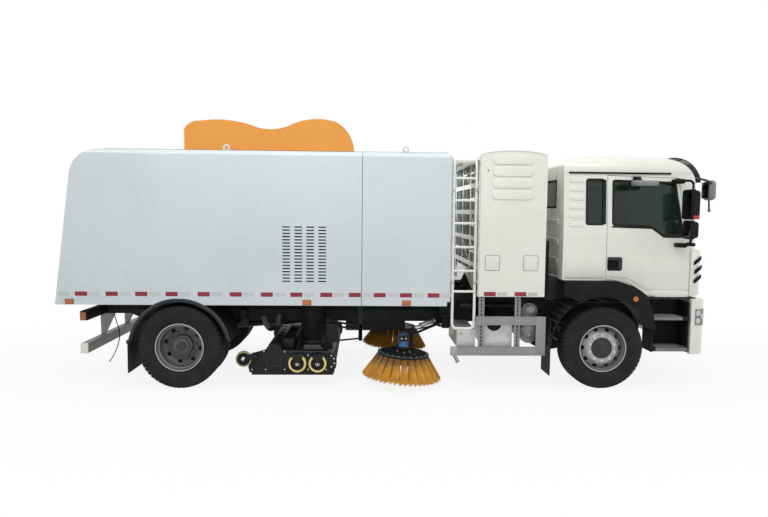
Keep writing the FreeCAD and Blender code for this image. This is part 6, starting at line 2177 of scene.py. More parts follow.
@dataclass
class TyreMould:
    """Radial truck tyre with lugs over its shoulders, about the origin and the Y axis."""

    radius: float = 0.4993
    half: float = 0.1375
    pitches: int = 54
    steps: int = 108
    section: tuple[tuple[float, float], ...] = (
        (0.2885, 0.098), (0.291, 0.115), (0.303, 0.1225), (0.3055, 0.1255), (0.309, 0.1235),
        (0.332, 0.1300), (0.335, 0.1325), (0.339, 0.1308), (0.372, 0.1355), (0.3745, 0.1372),
        (0.3785, 0.1358), (0.412, 0.1372), (0.440, 0.1340), (0.4425, 0.1362), (0.446, 0.1330),
        (0.462, 0.1240), (0.478, 0.1080), (0.4845, 0.0860), (0.4865, 0.0600), (0.4865, 0.0),
    )

    def build(self) -> Obj:
        """Model the carcass, shoulder lugs and centre blocks.

        Returns:
            The tyre.
        """
        inner = [(0.2885, 0.06), (0.2885, 0.0)]
        half = list(self.section)
        ring = half + [(r, -y) for r, y in reversed(half[:-1])]
        ring += [(r, -y) for r, y in inner] + [(r, y) for r, y in reversed(inner[:-1])]
        carcass = turned("tyre", ring, HUB, (0, -1, 0), self.steps, closed=True)
        top = self.radius
        lug_path = [(0.058, top), (0.096, top - 0.0015), (0.1145, top - 0.0125),
                    (0.1265, top - 0.0360), (0.1345, top - 0.0580), (0.126, top - 0.0620),
                    (0.108, top - 0.0260), (0.058, top - 0.016)]
        lug = plate("tyre", lug_path, Face.FRONT, -0.0248, 0.0248, edge=0.003)
        lugs = joined("tyre", [lug, copy_at(lug, "tyre", about(HUB, "Y", 2.4) @ MIRROR)])
        lugs = repeated(lugs, "tyre", around(self.pitches))
        step = 360.0 / self.pitches
        blocks = []
        for n, (y, slant) in enumerate(((-0.040, 0.007), (0.0, -0.007), (0.040, 0.007))):
            path = [(-0.022 + slant, y - 0.0135), (0.022 + slant, y - 0.0135),
                    (0.026, y), (0.022 - slant, y + 0.0135), (-0.022 - slant, y + 0.0135),
                    (-0.018, y)]
            lump = plate("tyre", path, Face.PLAN, top - 0.018, top - 0.0008, edge=0.002)
            blocks.append(moved(lump, about(HUB, "Y", n * step / 2)))
        centre = repeated(joined("tyre", blocks), "tyre", around(self.pitches))
        return joined("tyre", [carcass, lugs, centre])


class Rims:
    """Steel wheels for the right side, about the origin and facing -Y."""

    FACE = Vector((0, -1, 0))

    def barrel(self, name: str) -> Obj:
        """Rim's barrel with its rolled flanges and well.

        Args:
            name: the object's name.

        Returns:
            The barrel.
        """
        outer = [(0.2865, 0.126), (0.2890, 0.1225), (0.2885, 0.118), (0.2820, 0.112),
                 (0.2795, 0.096), (0.2610, 0.078), (0.2560, 0.060), (0.2560, -0.050),
                 (0.2790, -0.094), (0.2820, -0.112), (0.2890, -0.120), (0.2860, -0.125)]
        inner = [(0.2790, -0.124), (0.2740, -0.112), (0.2710, -0.094), (0.2480, -0.048),
                 (0.2480, 0.057), (0.2530, 0.076), (0.2710, 0.096), (0.2745, 0.113),
                 (0.2800, 0.125)]
        return turned(name, outer + inner, HUB, self.FACE, 96, closed=True)

    def lip(self, radius: float, along: float, width: float) -> Obj:
        """Rolled edge of the rim in light grey: the rim's own colour on the front wheels, a
        painted highlight on the dark rear ones.

        Args:
            radius: its inner radius.
            along: how far its face stands towards the wheel's face.
            width: its width.

        Returns:
            The edge's ring.
        """
        section = [(radius, along - 0.004), (radius + width * 0.15, along),
                   (radius + width * 0.85, along), (radius + width, along - 0.004),
                   (radius + width * 0.8, along - 0.010), (radius + width * 0.2, along - 0.009)]
        return turned("lip", section, HUB, self.FACE, 96, closed=True)

    def brake(self, front: float, depth: float) -> Obj:
        """Cast brake drum behind the disc, with a cooling rib.

        Args:
            front: distance of its front towards the wheel's face.
            depth: its depth.

        Returns:
            The drum.
        """
        section = [(0.125, front), (0.196, front), (0.208, front - 0.012),
                   (0.208, front - 0.030), (0.2455, front - 0.034), (0.2455, front - 0.040),
                   (0.208, front - 0.048), (0.208, front - depth), (0.196, front - depth),
                   (0.196, front - 0.018), (0.125, front - 0.014)]
        return turned("brake", section, HUB, self.FACE, 60, closed=True)

    def disc(self, name: str, section: Outline, holes: int, radius: float,
             size: tuple[float, float], start: float) -> Obj:
        """Wheel disc with its hand holes cut out.

        Args:
            name: the object's name.
            section: closed pairs of radius and distance towards the face.
            holes: number of hand holes.
            radius: radius of the holes' circle.
            size: half size of a hole along and across the circle.
            start: direction of the first hole in degrees.

        Returns:
            The disc with rounded hole edges.
        """
        disc = turned(name, section, HUB, self.FACE, 120, closed=True)
        cutter = drum("cutter", (0, -0.3, radius), (0, 0.3, radius), 1.0, 0.0, 24)
        flat = Matrix.Diagonal((size[0], 1, size[1], 1))
        cutter.data.transform(shift(0, 0, radius) @ flat @ shift(0, 0, -radius))
        cutter = repeated(cutter, "cutter", around(holes, start))
        apply_modifier(disc, "BOOLEAN", object=cutter, operation="DIFFERENCE", solver="EXACT")
        bpy.data.objects.remove(cutter)
        return rounded(disc, 0.0015, 2, 50.0)

    def front(self) -> dict[str, Obj]:
        """Front wheel: barrel, disc with a raised nut ring, ten nuts and the hub.

        Returns:
            Its pieces by name.
        """
        face = [(0.2490, 0.030), (0.2450, 0.046), (0.2330, 0.055), (0.2080, 0.068),
                (0.1900, 0.086), (0.1820, 0.0935), (0.1760, 0.0945), (0.1725, 0.0900),
                (0.1700, 0.0855), (0.1290, 0.0855)]
        back = [(0.1290, 0.0760), (0.1750, 0.0760), (0.1880, 0.0720), (0.2040, 0.0580),
                (0.2300, 0.0450), (0.2400, 0.0360), (0.2410, 0.0300)]
        disc = self.disc("front_disc", face + back, 10, 0.2275, (0.0320, 0.0195), 18.0)
        nut = hex_nut("nuts", Vector((0, -0.0850, 0.1565)), self.FACE, 0.033, 0.026)
        nuts = repeated(nut, "nuts", around(10))
        hub = turned("hub", [(0.0001, 0.132), (0.040, 0.131), (0.046, 0.128), (0.049, 0.114),
                             (0.076, 0.112), (0.084, 0.106), (0.088, 0.100), (0.114, 0.097),
                             (0.124, 0.092), (0.130, 0.084), (0.131, 0.040), (0.0001, 0.040)],
                     HUB, self.FACE, 60)
        bolt = drum("hub", (0, -0.092, 0.103), (0, -0.102, 0.103), 0.007, 0.001, 6)
        bolts = repeated(bolt, "hub", around(8, 22.5))
        return {"rim": self.barrel("rim"), "lip": self.lip(0.2745, 0.1285, 0.0150),
                "disc": disc, "nuts": nuts, "hub": joined("hub", [hub, bolts]),
                "brake": self.brake(0.020, 0.115)}

    def rear(self) -> dict[str, Obj]:
        """Outer rear wheel: deep dish with eight holes, and the drive hub's end.

        Returns:
            Its pieces by name.
        """
        face = [(0.2500, -0.018), (0.2430, -0.034), (0.2250, -0.044), (0.1900, -0.049),
                (0.1780, -0.047), (0.1740, -0.044), (0.1250, -0.044)]
        back = [(0.1250, -0.056), (0.1760, -0.056), (0.1880, -0.064), (0.2260, -0.058),
                (0.2430, -0.048), (0.2500, -0.034)]
        disc = self.disc("rear_disc", face + back, 8, 0.2060, (0.029, 0.022), 11.0)
        nut = hex_nut("nuts", Vector((0, 0.044, 0.152)), self.FACE, 0.032, 0.026)
        nuts = repeated(nut, "nuts", around(10, 12.0))
        hub = turned("hub", [(0.0001, 0.034), (0.060, 0.033), (0.086, 0.028), (0.092, 0.020),
                             (0.094, 0.006), (0.118, 0.003), (0.124, -0.003), (0.127, -0.050),
                             (0.0001, -0.050)], HUB, self.FACE, 60)
        small = drum("hub", (0, -0.002, 0.1100), (0, -0.016, 0.1100), 0.0085, 0.0012, 6)
        bolts = repeated(small, "hub", around(12, 5.0))
        # Both light rings on the dark rear rim are painted highlights: on the rolled edge and on
        # the inner edge of the flange's slope.
        rings = [self.lip(0.2750, 0.1285, 0.0145), self.lip(0.2520, 0.0810, 0.0120)]
        return {"rim": self.barrel("rim"), "lip": joined("lip", rings), "disc": disc,
                "nuts": nuts, "hub": joined("hub", [hub, bolts]),
                "brake": self.brake(-0.068, 0.170)}


@dataclass
class WheelSet:
    """All wheels: single steered ones in front, twins behind."""

    wheelbase: float = 5.1
    track_half: float = 1.107
    dual_pitch: float = 0.310
    centre_z: float = 0.5

    def build(self) -> None:
        """Model each mould once and set a copy of it on every wheel."""
        tyre = TyreMould().build()
        rims = Rims()
        self.front(tyre, rims.front())
        self.rear(tyre, rims.rear())
        bpy.data.objects.remove(tyre)

    def place(self, station: float, y: float, side: Side) -> Matrix:
        """Move from the origin to a wheel's centre, mirrored on the left side."""
        move = Matrix.Translation(at(station, side.value * y, self.centre_z))
        return move @ MIRROR if side is Side.LEFT else move

    def front(self, tyre: Obj, parts: dict[str, Obj]) -> None:
        """Set the front wheels, and use up their masters.

        Args:
            tyre: the tyre's master, which is kept.
            parts: the rim's masters by name, which are removed.
        """
        # The barrel's dark finish is painted shade; the lip and the disc carry the rim's own light
        # grey.
        skins = {"rim": DARK_RIM_AND_SHADE, "lip": RIM_PAINT_AND_HIGHLIGHT, "disc": RIM_PAINT_AND_HIGHLIGHT, "nuts": BRIGHT_STEEL,
                 "hub": CAST_IRON, "brake": CAST_IRON}
        for side in Side:
            place = self.place(self.wheelbase, self.track_half, side)
            body = f"front_wheel_{side.word}"
            rubber = fit(copy_at(tyre, f"tyre_front_{side.word}", place), TYRE, body, 30.0)
            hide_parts(f"front_tyre_{side.word}")
            for key, finish in skins.items():
                obj = fit(copy_at(parts[key], f"front_{key}_{side.word}", place), finish, body)
                if key == "rim":
                    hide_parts(f"front_rim_{side.word}")
        for obj in parts.values():
            bpy.data.objects.remove(obj)

    def rear(self, tyre: Obj, parts: dict[str, Obj]) -> None:
        """Set the twin rear wheels, and use up their masters.

        Args:
            tyre: the tyre's master, which is kept.
            parts: the rim's masters by name, which are removed.
        """
        inner = copy_at(parts["rim"], "inner", MIRROR)
        # The light lip rings are painted highlights on the dark rear rim.
        skins = {"lip": RIM_PAINT_AND_HIGHLIGHT, "disc": DARK_RIM_AND_SHADE, "nuts": DARK_RIM_AND_SHADE, "hub": DARK_RIM_AND_SHADE,
                 "brake": CAST_IRON}
        for side in Side:
            outer = self.place(0.0, self.track_half, side)
            inside = self.place(0.0, self.track_half - self.dual_pitch, side)
            body = f"rear_wheel_{side.word}"
            pair = [copy_at(tyre, "twin", place) for place in (outer, inside)]
            rubber = fit(joined(f"tyres_rear_{side.word}", pair), TYRE, body, 30.0)
            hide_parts(f"rear_tyres_{side.word}")
            rings = [copy_at(parts["rim"], "ring", outer), copy_at(inner, "ring", inside)]
            ring = fit(joined(f"rear_rims_rolled_{side.word}", rings), DARK_RIM_AND_SHADE, body)
            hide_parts(f"rear_rims_{side.word}")
            for key, finish in skins.items():
                fit(copy_at(parts[key], f"rear_{key}_{side.word}", outer), finish, body)
        bpy.data.objects.remove(inner)
        for obj in parts.values():
            bpy.data.objects.remove(obj)


# --- side brushes -------------------------------------------------------------------
@dataclass
class SideBrush:
    """Round side brush with its tufts, hub and the motor that turns it."""

    side: Side
    centre: tuple[float, float] = (2.685, -0.965)
    disc_z: float = 0.370
    disc_radius: float = 0.320
    tip_z: float = 0.092
    tip_radius: float = 0.500
    tilt: float = 4.0
    tufts: int = 24
    strands: int = 54
    pin: tuple[float, float] = (3.250, -0.620)
    reach: float = 0.662
    way: tuple[float, float] = (-0.8535, -0.5212)

    def build(self) -> None:
        """Model the turning brush first, then motor, arm fittings and hoses."""
        body = f"side_brush_{self.side.word}_body"
        x, y = self.centre
        z = self.disc_z
        disc = self.lathed("disc", [(0.001, z + 0.034), (0.062, z + 0.034), (0.200, z + 0.026),
                                    (0.298, z + 0.023), (0.306, z + 0.024), (0.3195, z + 0.020),
                                    (0.3195, z + 0.004), (0.312, z - 0.006), (0.285, z - 0.006),
                                    (0.270, z + 0.004), (0.001, z + 0.004)], 96)
        hub = self.lathed("disc", [(0.001, z + 0.069), (0.050, z + 0.069), (0.058, z + 0.064),
                                   (0.060, z + 0.032), (0.001, z + 0.030)], 40)
        webs = repeated(block("disc", at(x + 0.055, y - 0.004, z + 0.024),
                              at(x + 0.285, y + 0.004, z + 0.033), 0.001, 1), "disc",
                        [self.spun(60 * n) for n in range(6)])
        disc = self.tilted(joined(f"brush_disc_{self.side.word}", [disc, hub, webs]))
        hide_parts(f"side_brush_{self.side.word}")
        fit(disc, MOULDED, body)
        # Grey ring on the disc's rounded edge: a painted highlight.
        rim = self.lathed("rim", [(0.3000, z + 0.0245), (0.3155, z + 0.0245), (0.3198, z + 0.0215),
                                  (0.3198, z + 0.0185), (0.3000, z + 0.0225)], 96, closed=True)
        fit(self.tilted(rim, f"brush_rim_{self.side.word}"), DISC_GREY, body)
        bolts = repeated(drum("b", at(x + 0.292, y, z + 0.022), at(x + 0.292, y, z + 0.031),
                              0.008, 0.001, 6), "b", [self.spun(15 * n) for n in range(24)])
        inner = repeated(drum("b", at(x + 0.085, y, z + 0.030), at(x + 0.085, y, z + 0.041),
                              0.011, 0.001, 6), "b", [self.spun(60 * n + 30) for n in range(6)])
        fit(self.tilted(joined("b", [bolts, inner]), f"brush_bolts_{self.side.word}"), ZINC, body)
        self.bristles(body)
        self.motor()
        self.arm()

    def lathed(self, name: str, section: Outline, steps: int, closed: bool = False) -> Obj:
        """Shape turned about the brush's upright axis."""
        return turned(name, section, at(*self.centre, 0), (0, 0, 1), steps, closed)

    def spun(self, degrees: float) -> Matrix:
        """Turn about the brush's upright axis."""
        return about(at(*self.centre, 0), "Z", degrees)

    def put(self, name: str, parts: Sequence[Obj], finish: Finish, carrier: str = "arm") -> None:
        """Join pieces made for the right side and fit them on the brush's own side.

        Args:
            name: the piece's name without its side.
            parts: what it is joined from.
            finish: its surface.
            carrier: which body of the brush carries it, arm or bracket.
        """
        word = self.side.word
        fit(for_side(joined(f"{name}_{word}", parts), self.side), finish,
            f"brush_{carrier}_{word}_body")

    def tilted(self, obj: Obj, name: str | None = None) -> Obj:
        """Lean a piece made upright as the brush leans, on its own side.

        Args:
            obj: piece made about the right brush's upright axis.
            name: new name, or None to keep it.

        Returns:
            The piece.
        """
        if name:
            obj.name = name
        moved(obj, about(at(*self.centre, self.disc_z), "Y", self.tilt))
        return for_side(obj, self.side)

    def bristles(self, body: str) -> None:
        """Ring of tufts, each a tapering bunch of strands with ragged tips.

        Args:
            body: the body that turns.
        """
        x, y = self.centre
        root, tip = self.disc_radius - 0.018, self.tip_radius - 0.012
        drop = self.disc_z + 0.002 - self.tip_z
        parts = [self.bunch(x, y, root, tip, drop)]
        turn = (math.sqrt(5) - 1) / 2
        for n in range(self.strands):
            share = (n * turn) % 1.0 * 2 - 1
            layer = ((n * 7) % self.strands) / (self.strands - 1)
            ragged = 0.90 + 0.10 * ((n * 13) % 17) / 16
            foot = Vector((REAR_AXLE + x + root - 0.010 + 0.020 * layer, y + share * 0.024,
                           self.disc_z + 0.002))
            out = (tip - root) * (0.80 + 0.26 * layer) * ragged
            end = Vector((REAR_AXLE + x + root + min(out, self.tip_radius - root - 0.001),
                          y + share * 0.062 * ragged, self.disc_z - drop * ragged))
            parts.append(drum("s", foot, end, 0.0034, 0.0, 5, 0.6))
        tuft = joined("tuft", parts)
        step = 360 / self.tufts
        ring = repeated(tuft, "tuft", [self.spun(step * n) for n in range(self.tufts)])
        fit(self.tilted(ring, f"bristles_{self.side.word}"), GOLD_BRISTLE, body, 30.0)

    def bunch(self, x: float, y: float, root: float, tip: float, drop: float) -> Obj:
        """Solid heart of a tuft, a slab that widens and bends outwards.

        Args:
            x: station of the brush.
            y: its Y.
            root: radius of the tuft's root.
            tip: radius of its tip.
            drop: how far it hangs.

        Returns:
            The heart, at the brush's side towards the front.
        """
        edge = [(root - 0.012, self.disc_z + 0.003), (root + 0.010, self.disc_z + 0.003),
                (root + 0.42 * (tip - root), self.disc_z - 0.45 * drop),
                (tip - 0.022, self.disc_z - 0.90 * drop), (tip - 0.062, self.disc_z - 0.90 * drop),
                (root + 0.16 * (tip - root), self.disc_z - 0.45 * drop)]
        heart = plate("tuft", [(REAR_AXLE + x + r, z) for r, z in edge], Face.SIDE, y - 0.022,
                      y + 0.022)
        for vertex in heart.data.vertices:
            share = (self.disc_z - vertex.co.z) / drop
            vertex.co.y = y + (vertex.co.y - y) * (1.0 + 1.85 * max(share, 0.0))
        return heart

    def motor(self) -> None:
        """Blue motor cover, its bracket plate and ports."""
        x, y = self.centre
        cover = self.lathed("motor", [(0.001, 0.6450), (0.040, 0.6450), (0.056, 0.636),
                                      (0.0618, 0.622), (0.0618, 0.500), (0.0645, 0.496),
                                      (0.0645, 0.472), (0.001, 0.470)], 48)
        self.put("brush_motor", [cover], MOTOR_BLUE)
        flange = self.lathed("m", [(0.001, 0.4725), (0.070, 0.4725), (0.0765, 0.470),
                                   (0.0765, 0.4465), (0.001, 0.4460)], 48)
        fins = [block("m", at(x - 0.085, y - 0.005, 0.4725), at(x + 0.085, y + 0.005, 0.500),
                      0.002),
                block("m", at(x - 0.055, y - 0.078, 0.545), at(x + 0.055, y - 0.062, 0.620),
                      0.004)]
        self.put("motor_bracket", [flange] + fins, FRAME_PAINT)
        ports = [drum("p", at(x + s, y - 0.075, 0.580), at(x + s, y - 0.100, 0.580), 0.012,
                      0.002, 6) for s in (-0.026, 0.026)]
        for a in (0.8, 2.35, 3.9, 5.5):
            spot = (x + 0.066 * math.cos(a), y + 0.066 * math.sin(a))
            ports.append(drum("p", at(*spot, 0.470), at(*spot, 0.479), 0.007, 0.001, 6))
        self.put("motor_ports", ports, BRIGHT_STEEL)

    def along(self, reach: float, z: float, off: float = 0.0) -> Vector:
        """Point by its distance along the arm, its height and its offset across."""
        wx, wy = self.way
        return at(self.pin[0] + reach * wx - off * wy, self.pin[1] + reach * wy + off * wx, z)

    def arm(self) -> None:
        """Lifting cylinder, collars, bolts and hoses of the arm."""
        silver = [drum("c", self.along(0.190, 0.748), self.along(0.400, 0.706), 0.030, 0.004, 32),
                  drum("c", self.along(0.395, 0.707), self.along(0.500, 0.686), 0.012, 0.001, 24),
                  drum("c", self.along(0.186, 0.749), self.along(0.196, 0.747), 0.034, 0.003, 32),
                  drum("c", self.along(0.392, 0.708), self.along(0.402, 0.706), 0.034, 0.003, 32)]
        self.put("arm_cylinder", silver, BRIGHT_STEEL)
        brackets = [block("k", self.along(reach, 0.0) + Vector((-half, -half, low)),
                          self.along(reach, 0.0) + Vector((half, half, high)), 0.005)
                    for reach, half, low, high in ((0.165, 0.016, 0.700, 0.760),
                                                   (0.515, 0.018, 0.600, 0.700))]
        brackets += [drum("k", self.along(0.532, low), self.along(0.532, low + 0.026), radius,
                          0.004, 32) for low, radius in ((0.452, 0.034), (0.600, 0.031))]
        self.put("arm_brackets", brackets, FRAME_PAINT)
        hoses = []
        for off, rise in ((0.030, 0.030), (-0.028, 0.046)):
            route = [self.along(0.170, 0.722, off), self.along(0.260, 0.672 + rise / 2, off),
                     self.along(0.400, 0.650 + rise, off * 1.4),
                     self.along(0.520, 0.640 + rise, off * 1.2), self.along(0.590, 0.600, off),
                     self.along(0.640, 0.585, off * 1.6),
                     at(self.centre[0] + off * 0.9, self.centre[1] - 0.098, 0.580)]
            hoses.append(pipe("h", route, 0.0095, 8))
        self.put("arm_hoses", hoses, RUBBER)
        studs = [drum("n", self.along(0.110, 0.700, o), self.along(0.110, 0.700, o * 1.28), 0.019,
                      0.002, 6) for o in (-0.039, 0.039)]
        self.put("bracket_bolts", studs, ZINC, "bracket")


# --- suction nozzle -----------------------------------------------------------------
@dataclass
class CastorWheel:
    """One castor: black wheel with its rubber ring and axle."""

    name: str
    side: Side
    station: float
    height: float
    radius: float
    ring: float
    finish: Finish
    half: float = 0.025
    y: float = -1.140

    def build(self) -> None:
        """Model the wheel, its ring and its centre, and replace the plain solid."""
        which = f"{self.name}_{self.side.word}"
        body = f"castor_{which}_body"
        centre = at(self.station, self.y, self.height)
        r, h = self.radius, self.half
        inside = r - self.ring
        ring = turned(f"castor_ring_{which}",
                      [(inside - 0.002, -h + 0.002), (r - 0.006, -h), (r - 0.001, -h + 0.006),
                       (r, 0.0), (r - 0.001, h - 0.006), (r - 0.006, h),
                       (inside - 0.002, h - 0.002)], centre, AXLE, 72, closed=True)
        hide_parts(f"castor_{which}")
        fit(for_side(ring, self.side), self.finish, body)
        wheel = turned("wheel", [(0.0145, -h + 0.001), (0.030, -h + 0.001), (0.034, -h + 0.009),
                                 (inside - 0.012, -h + 0.009), (inside - 0.006, -h + 0.003),
                                 (inside, -h + 0.003), (inside, h - 0.003),
                                 (inside - 0.006, h - 0.003), (inside - 0.012, h - 0.009),
                                 (0.034, h - 0.009), (0.030, h - 0.001), (0.0145, h - 0.001)],
                       centre, AXLE, 60, closed=True)
        spokes = repeated(block("wheel", centre + Vector((0.030, -h + 0.0055, -0.004)),
                                centre + Vector((inside - 0.010, -h + 0.012, 0.004)), 0.001, 1),
                          "wheel", [about(centre, "Y", 45 * n) for n in range(8)])
        wheel = joined(f"castor_wheel_{which}", [wheel, spokes])
        fit(for_side(wheel, self.side), MOULDED, body)
        nuts = [drum("nut", centre - AXLE * start, centre - AXLE * end, radius, edge, sides)
                for start, end, radius, edge, sides in ((0.018, 0.0265, 0.027, 0.001, 32),
                                                        (0.020, 0.0305, 0.020, 0.002, 6),
                                                        (0.028, 0.036, 0.0115, 0.002, 24))]
        nut = joined(f"castor_nut_{which}", nuts)
        fit(for_side(nut, self.side), BRIGHT_STEEL, "nozzle_body")


@dataclass
class NozzleFittings:
    """Brackets, bolts, bands and links on the nozzle."""

    cheek: float = -1.100
    fork: tuple[float, float] = (-1.1735, -1.1680)
    wheels: tuple[float, ...] = (1.389, 1.634)
    level: float = 0.290
    blow_tube: tuple[float, float] = (1.098, 0.413)
    neck: tuple[float, float] = (1.532, -0.620)
    body: str = "nozzle_body"

    def build(self) -> None:
        """Model the castors' brackets, the cheek's details, the tube and the links."""
        self.forks()
        self.cheeks()
        self.tube()
        self.links()
        self.hoses()

    def forks(self) -> None:
        """Plates over the castors' tops, the front end bracket and the rear fork."""
        parts = []
        for s in self.wheels:
            reach = [(0.118 * math.sin(math.radians(d)), 0.118 * math.cos(math.radians(d)))
                     for d in band(9, -38, 38)]
            outline = [(s + a, self.level + b) for a, b in reach]
            outline += [(s + 0.030, self.level + 0.030), (s + 0.016, self.level - 0.016),
                        (s - 0.016, self.level - 0.016), (s - 0.030, self.level + 0.030)]
            parts.append(plate("f", stations(*outline), Face.SIDE, *self.fork, edge=0.0015))
            parts.append(block("f", at(s - 0.050, self.fork[0], self.level + 0.1125),
                               at(s + 0.050, self.cheek, self.level + 0.1200), 0.002))
        rear = [(0.722, 0.323), (0.774, 0.323), (0.930, 0.362), (0.862, 0.420), (0.806, 0.405)]
        parts.append(plate("f", stations(*rear), Face.SIDE, *self.fork, edge=0.0015,
                           corner_radius=0.012))
        parts.append(block("f", at(0.850, -1.172, 0.366), at(0.900, self.cheek, 0.398), 0.003))
        fit(both(joined("castor_forks", parts)), NOZZLE_BLACK, self.body)
        front = plate("end_bracket", stations((1.770, 0.210), (1.852, 0.210), (1.868, 0.300),
                                              (1.846, 0.405), (1.780, 0.415)), Face.SIDE,
                      self.cheek - 0.016, self.cheek, edge=0.003, corner_radius=0.028, segments=4)
        fit(both(front), NOZZLE_BLACK, self.body)
        skew = plate("skew_bracket", stations((1.440, 0.445), (1.700, 0.445), (1.655, 0.500),
                                              (1.475, 0.500)), Face.SIDE, -1.060, -1.052,
                      edge=0.002)
        bar = block("skew_bracket", at(1.300, self.cheek - 0.010, 0.418),
                    at(1.770, self.cheek + 0.002, 0.430), 0.003)
        fit(both(joined("skew_bracket", [skew, bar])), GUARD_GREY, self.body)

    def cheeks(self) -> None:
        """Bolts, perforated rectangle and wear strips of the side plates."""
        spots = [(0.835, 0.205), (0.835, 0.370), (0.980, 0.430), (1.230, 0.425), (1.230, 0.205),
                 (1.515, 0.380), (1.515, 0.205), (1.735, 0.205), (1.000, 0.205)]
        bolts = [drum("b", at(s, self.cheek + 0.001, z), at(s, self.cheek - 0.008, z), 0.0095,
                      0.001, 6) for s, z in spots]
        bolts += [drum("b", at(s, self.cheek - 0.014, z), at(s, self.cheek - 0.023, z), 0.0105,
                       0.001, 6) for s, z in ((1.800, 0.245), (1.838, 0.285), (1.832, 0.345),
                                              (1.800, 0.380))]
        fit(both(joined("cheek_bolts", bolts)), BRIGHT_STEEL, self.body)
        ring = [(s, z) for s in band(9, 1.020, 1.180) for z in (0.250, 0.330)]
        ring += [(s, z) for z in band(5, 0.250, 0.330)[1:-1] for s in (1.020, 1.180)]
        holes = [drum("h", at(s, self.cheek + 0.001, z), at(s, self.cheek - 0.0012, z), 0.005, 0.0,
                      10) for s, z in ring]
        fit(both(joined("cheek_holes", holes)), DISC_GREY, self.body)
        deck = block("nozzle_deck", at(1.190, -0.960, 0.405), at(1.330, 0.960, 0.560), 0.020)
        fit(deck, NOZZLE_BLACK, self.body)
        flap = block("nozzle_flap", at(1.2415, -1.080, 0.140), at(1.2480, 1.080, 0.320), 0.002)
        lip = block("nozzle_flap", at(1.8225, -1.080, 0.140), at(1.8300, 1.080, 0.300), 0.002)
        skirt = block("nozzle_flap", at(0.830, self.cheek - 0.008, 0.140),
                      at(1.820, self.cheek - 0.001, 0.200), 0.002)
        fit(joined("nozzle_flap", [flap, lip, both(skirt)]), RUBBER, self.body)

    def tube(self) -> None:
        """End cover and bands of the blow tube, and rings of the necks."""
        x, z = self.blow_tube
        cap = turned("c", [(0.001, 0.014), (0.070, 0.014), (0.086, 0.010), (0.103, 0.004),
                           (0.103, -0.010), (0.001, -0.012)], at(x, -1.100, z), (0, -1, 0), 64)
        bands = [turned("c", [(0.1025, 0.016), (0.1065, 0.015), (0.1065, -0.015),
                              (0.1025, -0.016)], at(x, y, z), AXLE, 64, closed=True)
                 for y in band(5, -0.88, -0.10)]
        fit(both(joined("tube_cap", [cap] + bands)), NOZZLE_BLACK, self.body)
        rings = [turned("r", [(0.1495, low), (0.160, low + 0.002), (0.160, low + 0.018),
                              (0.1495, low + 0.020)], at(*self.neck, 0), (0, 0, 1), 72,
                        closed=True) for low in (0.425, 0.466)]
        clamp = block("r", at(1.515, -0.795, 0.466), at(1.549, -0.772, 0.486), 0.003)
        fit(both(joined("neck_rings", rings + [clamp])), DISC_GREY, self.body)

    def links(self) -> None:
        """Second bars beside the drag links, their lugs' rings and the hangers."""
        parts = []
        for y, outer, inner, thick in ((-0.890, 0.661, 0.700, 0.013),
                                       (-0.895, 0.552, 0.522, 0.011)):
            parts.append(drum("l", at(2.155, y, outer), at(1.860, y, inner), thick, 0.001, 16))
            parts.append(drum("l", at(1.868, y - 0.011, inner), at(1.868, y + 0.011, inner), 0.022,
                              0.002, 20))
        parts.append(block("l", at(1.720, -0.905, 0.500), at(1.880, -0.880, 0.735), 0.010))
        parts.append(block("l", at(2.130, -0.905, 0.520), at(2.175, -0.880, 0.735), 0.006))
        fit(both(joined("link_bars", parts)), FRAME_PAINT, "drag_arm_body")
        ring = turned("link_rings", [(0.020, -0.010), (0.034, -0.008), (0.034, 0.008),
                                     (0.020, 0.010)], at(1.746, -0.835, 0.770), AXLE, 32,
                      closed=True)
        stay = drum("link_rings", at(1.705, -0.848, 0.450), at(1.735, -0.848, 0.745), 0.011, 0.001,
                    16)
        fit(both(joined("link_rings", [ring, stay])), FRAME_PAINT, self.body)

    def hoses(self) -> None:
        """Two corrugated air hoses that drop from the frame over the nozzle."""
        for name, y, s, foot in (("front", -0.585, 1.100, 1.085), ("rear", -0.760, 0.930, 0.990)):
            route = [(s, y, 0.800), (s - 0.004, y - 0.02, 0.730), (foot + 0.004, y - 0.03, 0.660)]
            hose = pipe(f"air_hose_{name}", [at(*p) for p in route], 0.033, 10)
            wire = []
            for n in band(9, 0.05, 0.95):
                here = Vector(at(*route[0])).lerp(Vector(at(*route[2])), n)
                wire.append(turned("w", [(0.0325, 0.006), (0.0375, 0.0), (0.0325, -0.006)], here,
                                   (0.1, 0.05, 1), 28, closed=True))
            fit(both(joined(f"air_hose_{name}", [hose] + wire)), HOSE_BROWN, "chassis", 60.0)


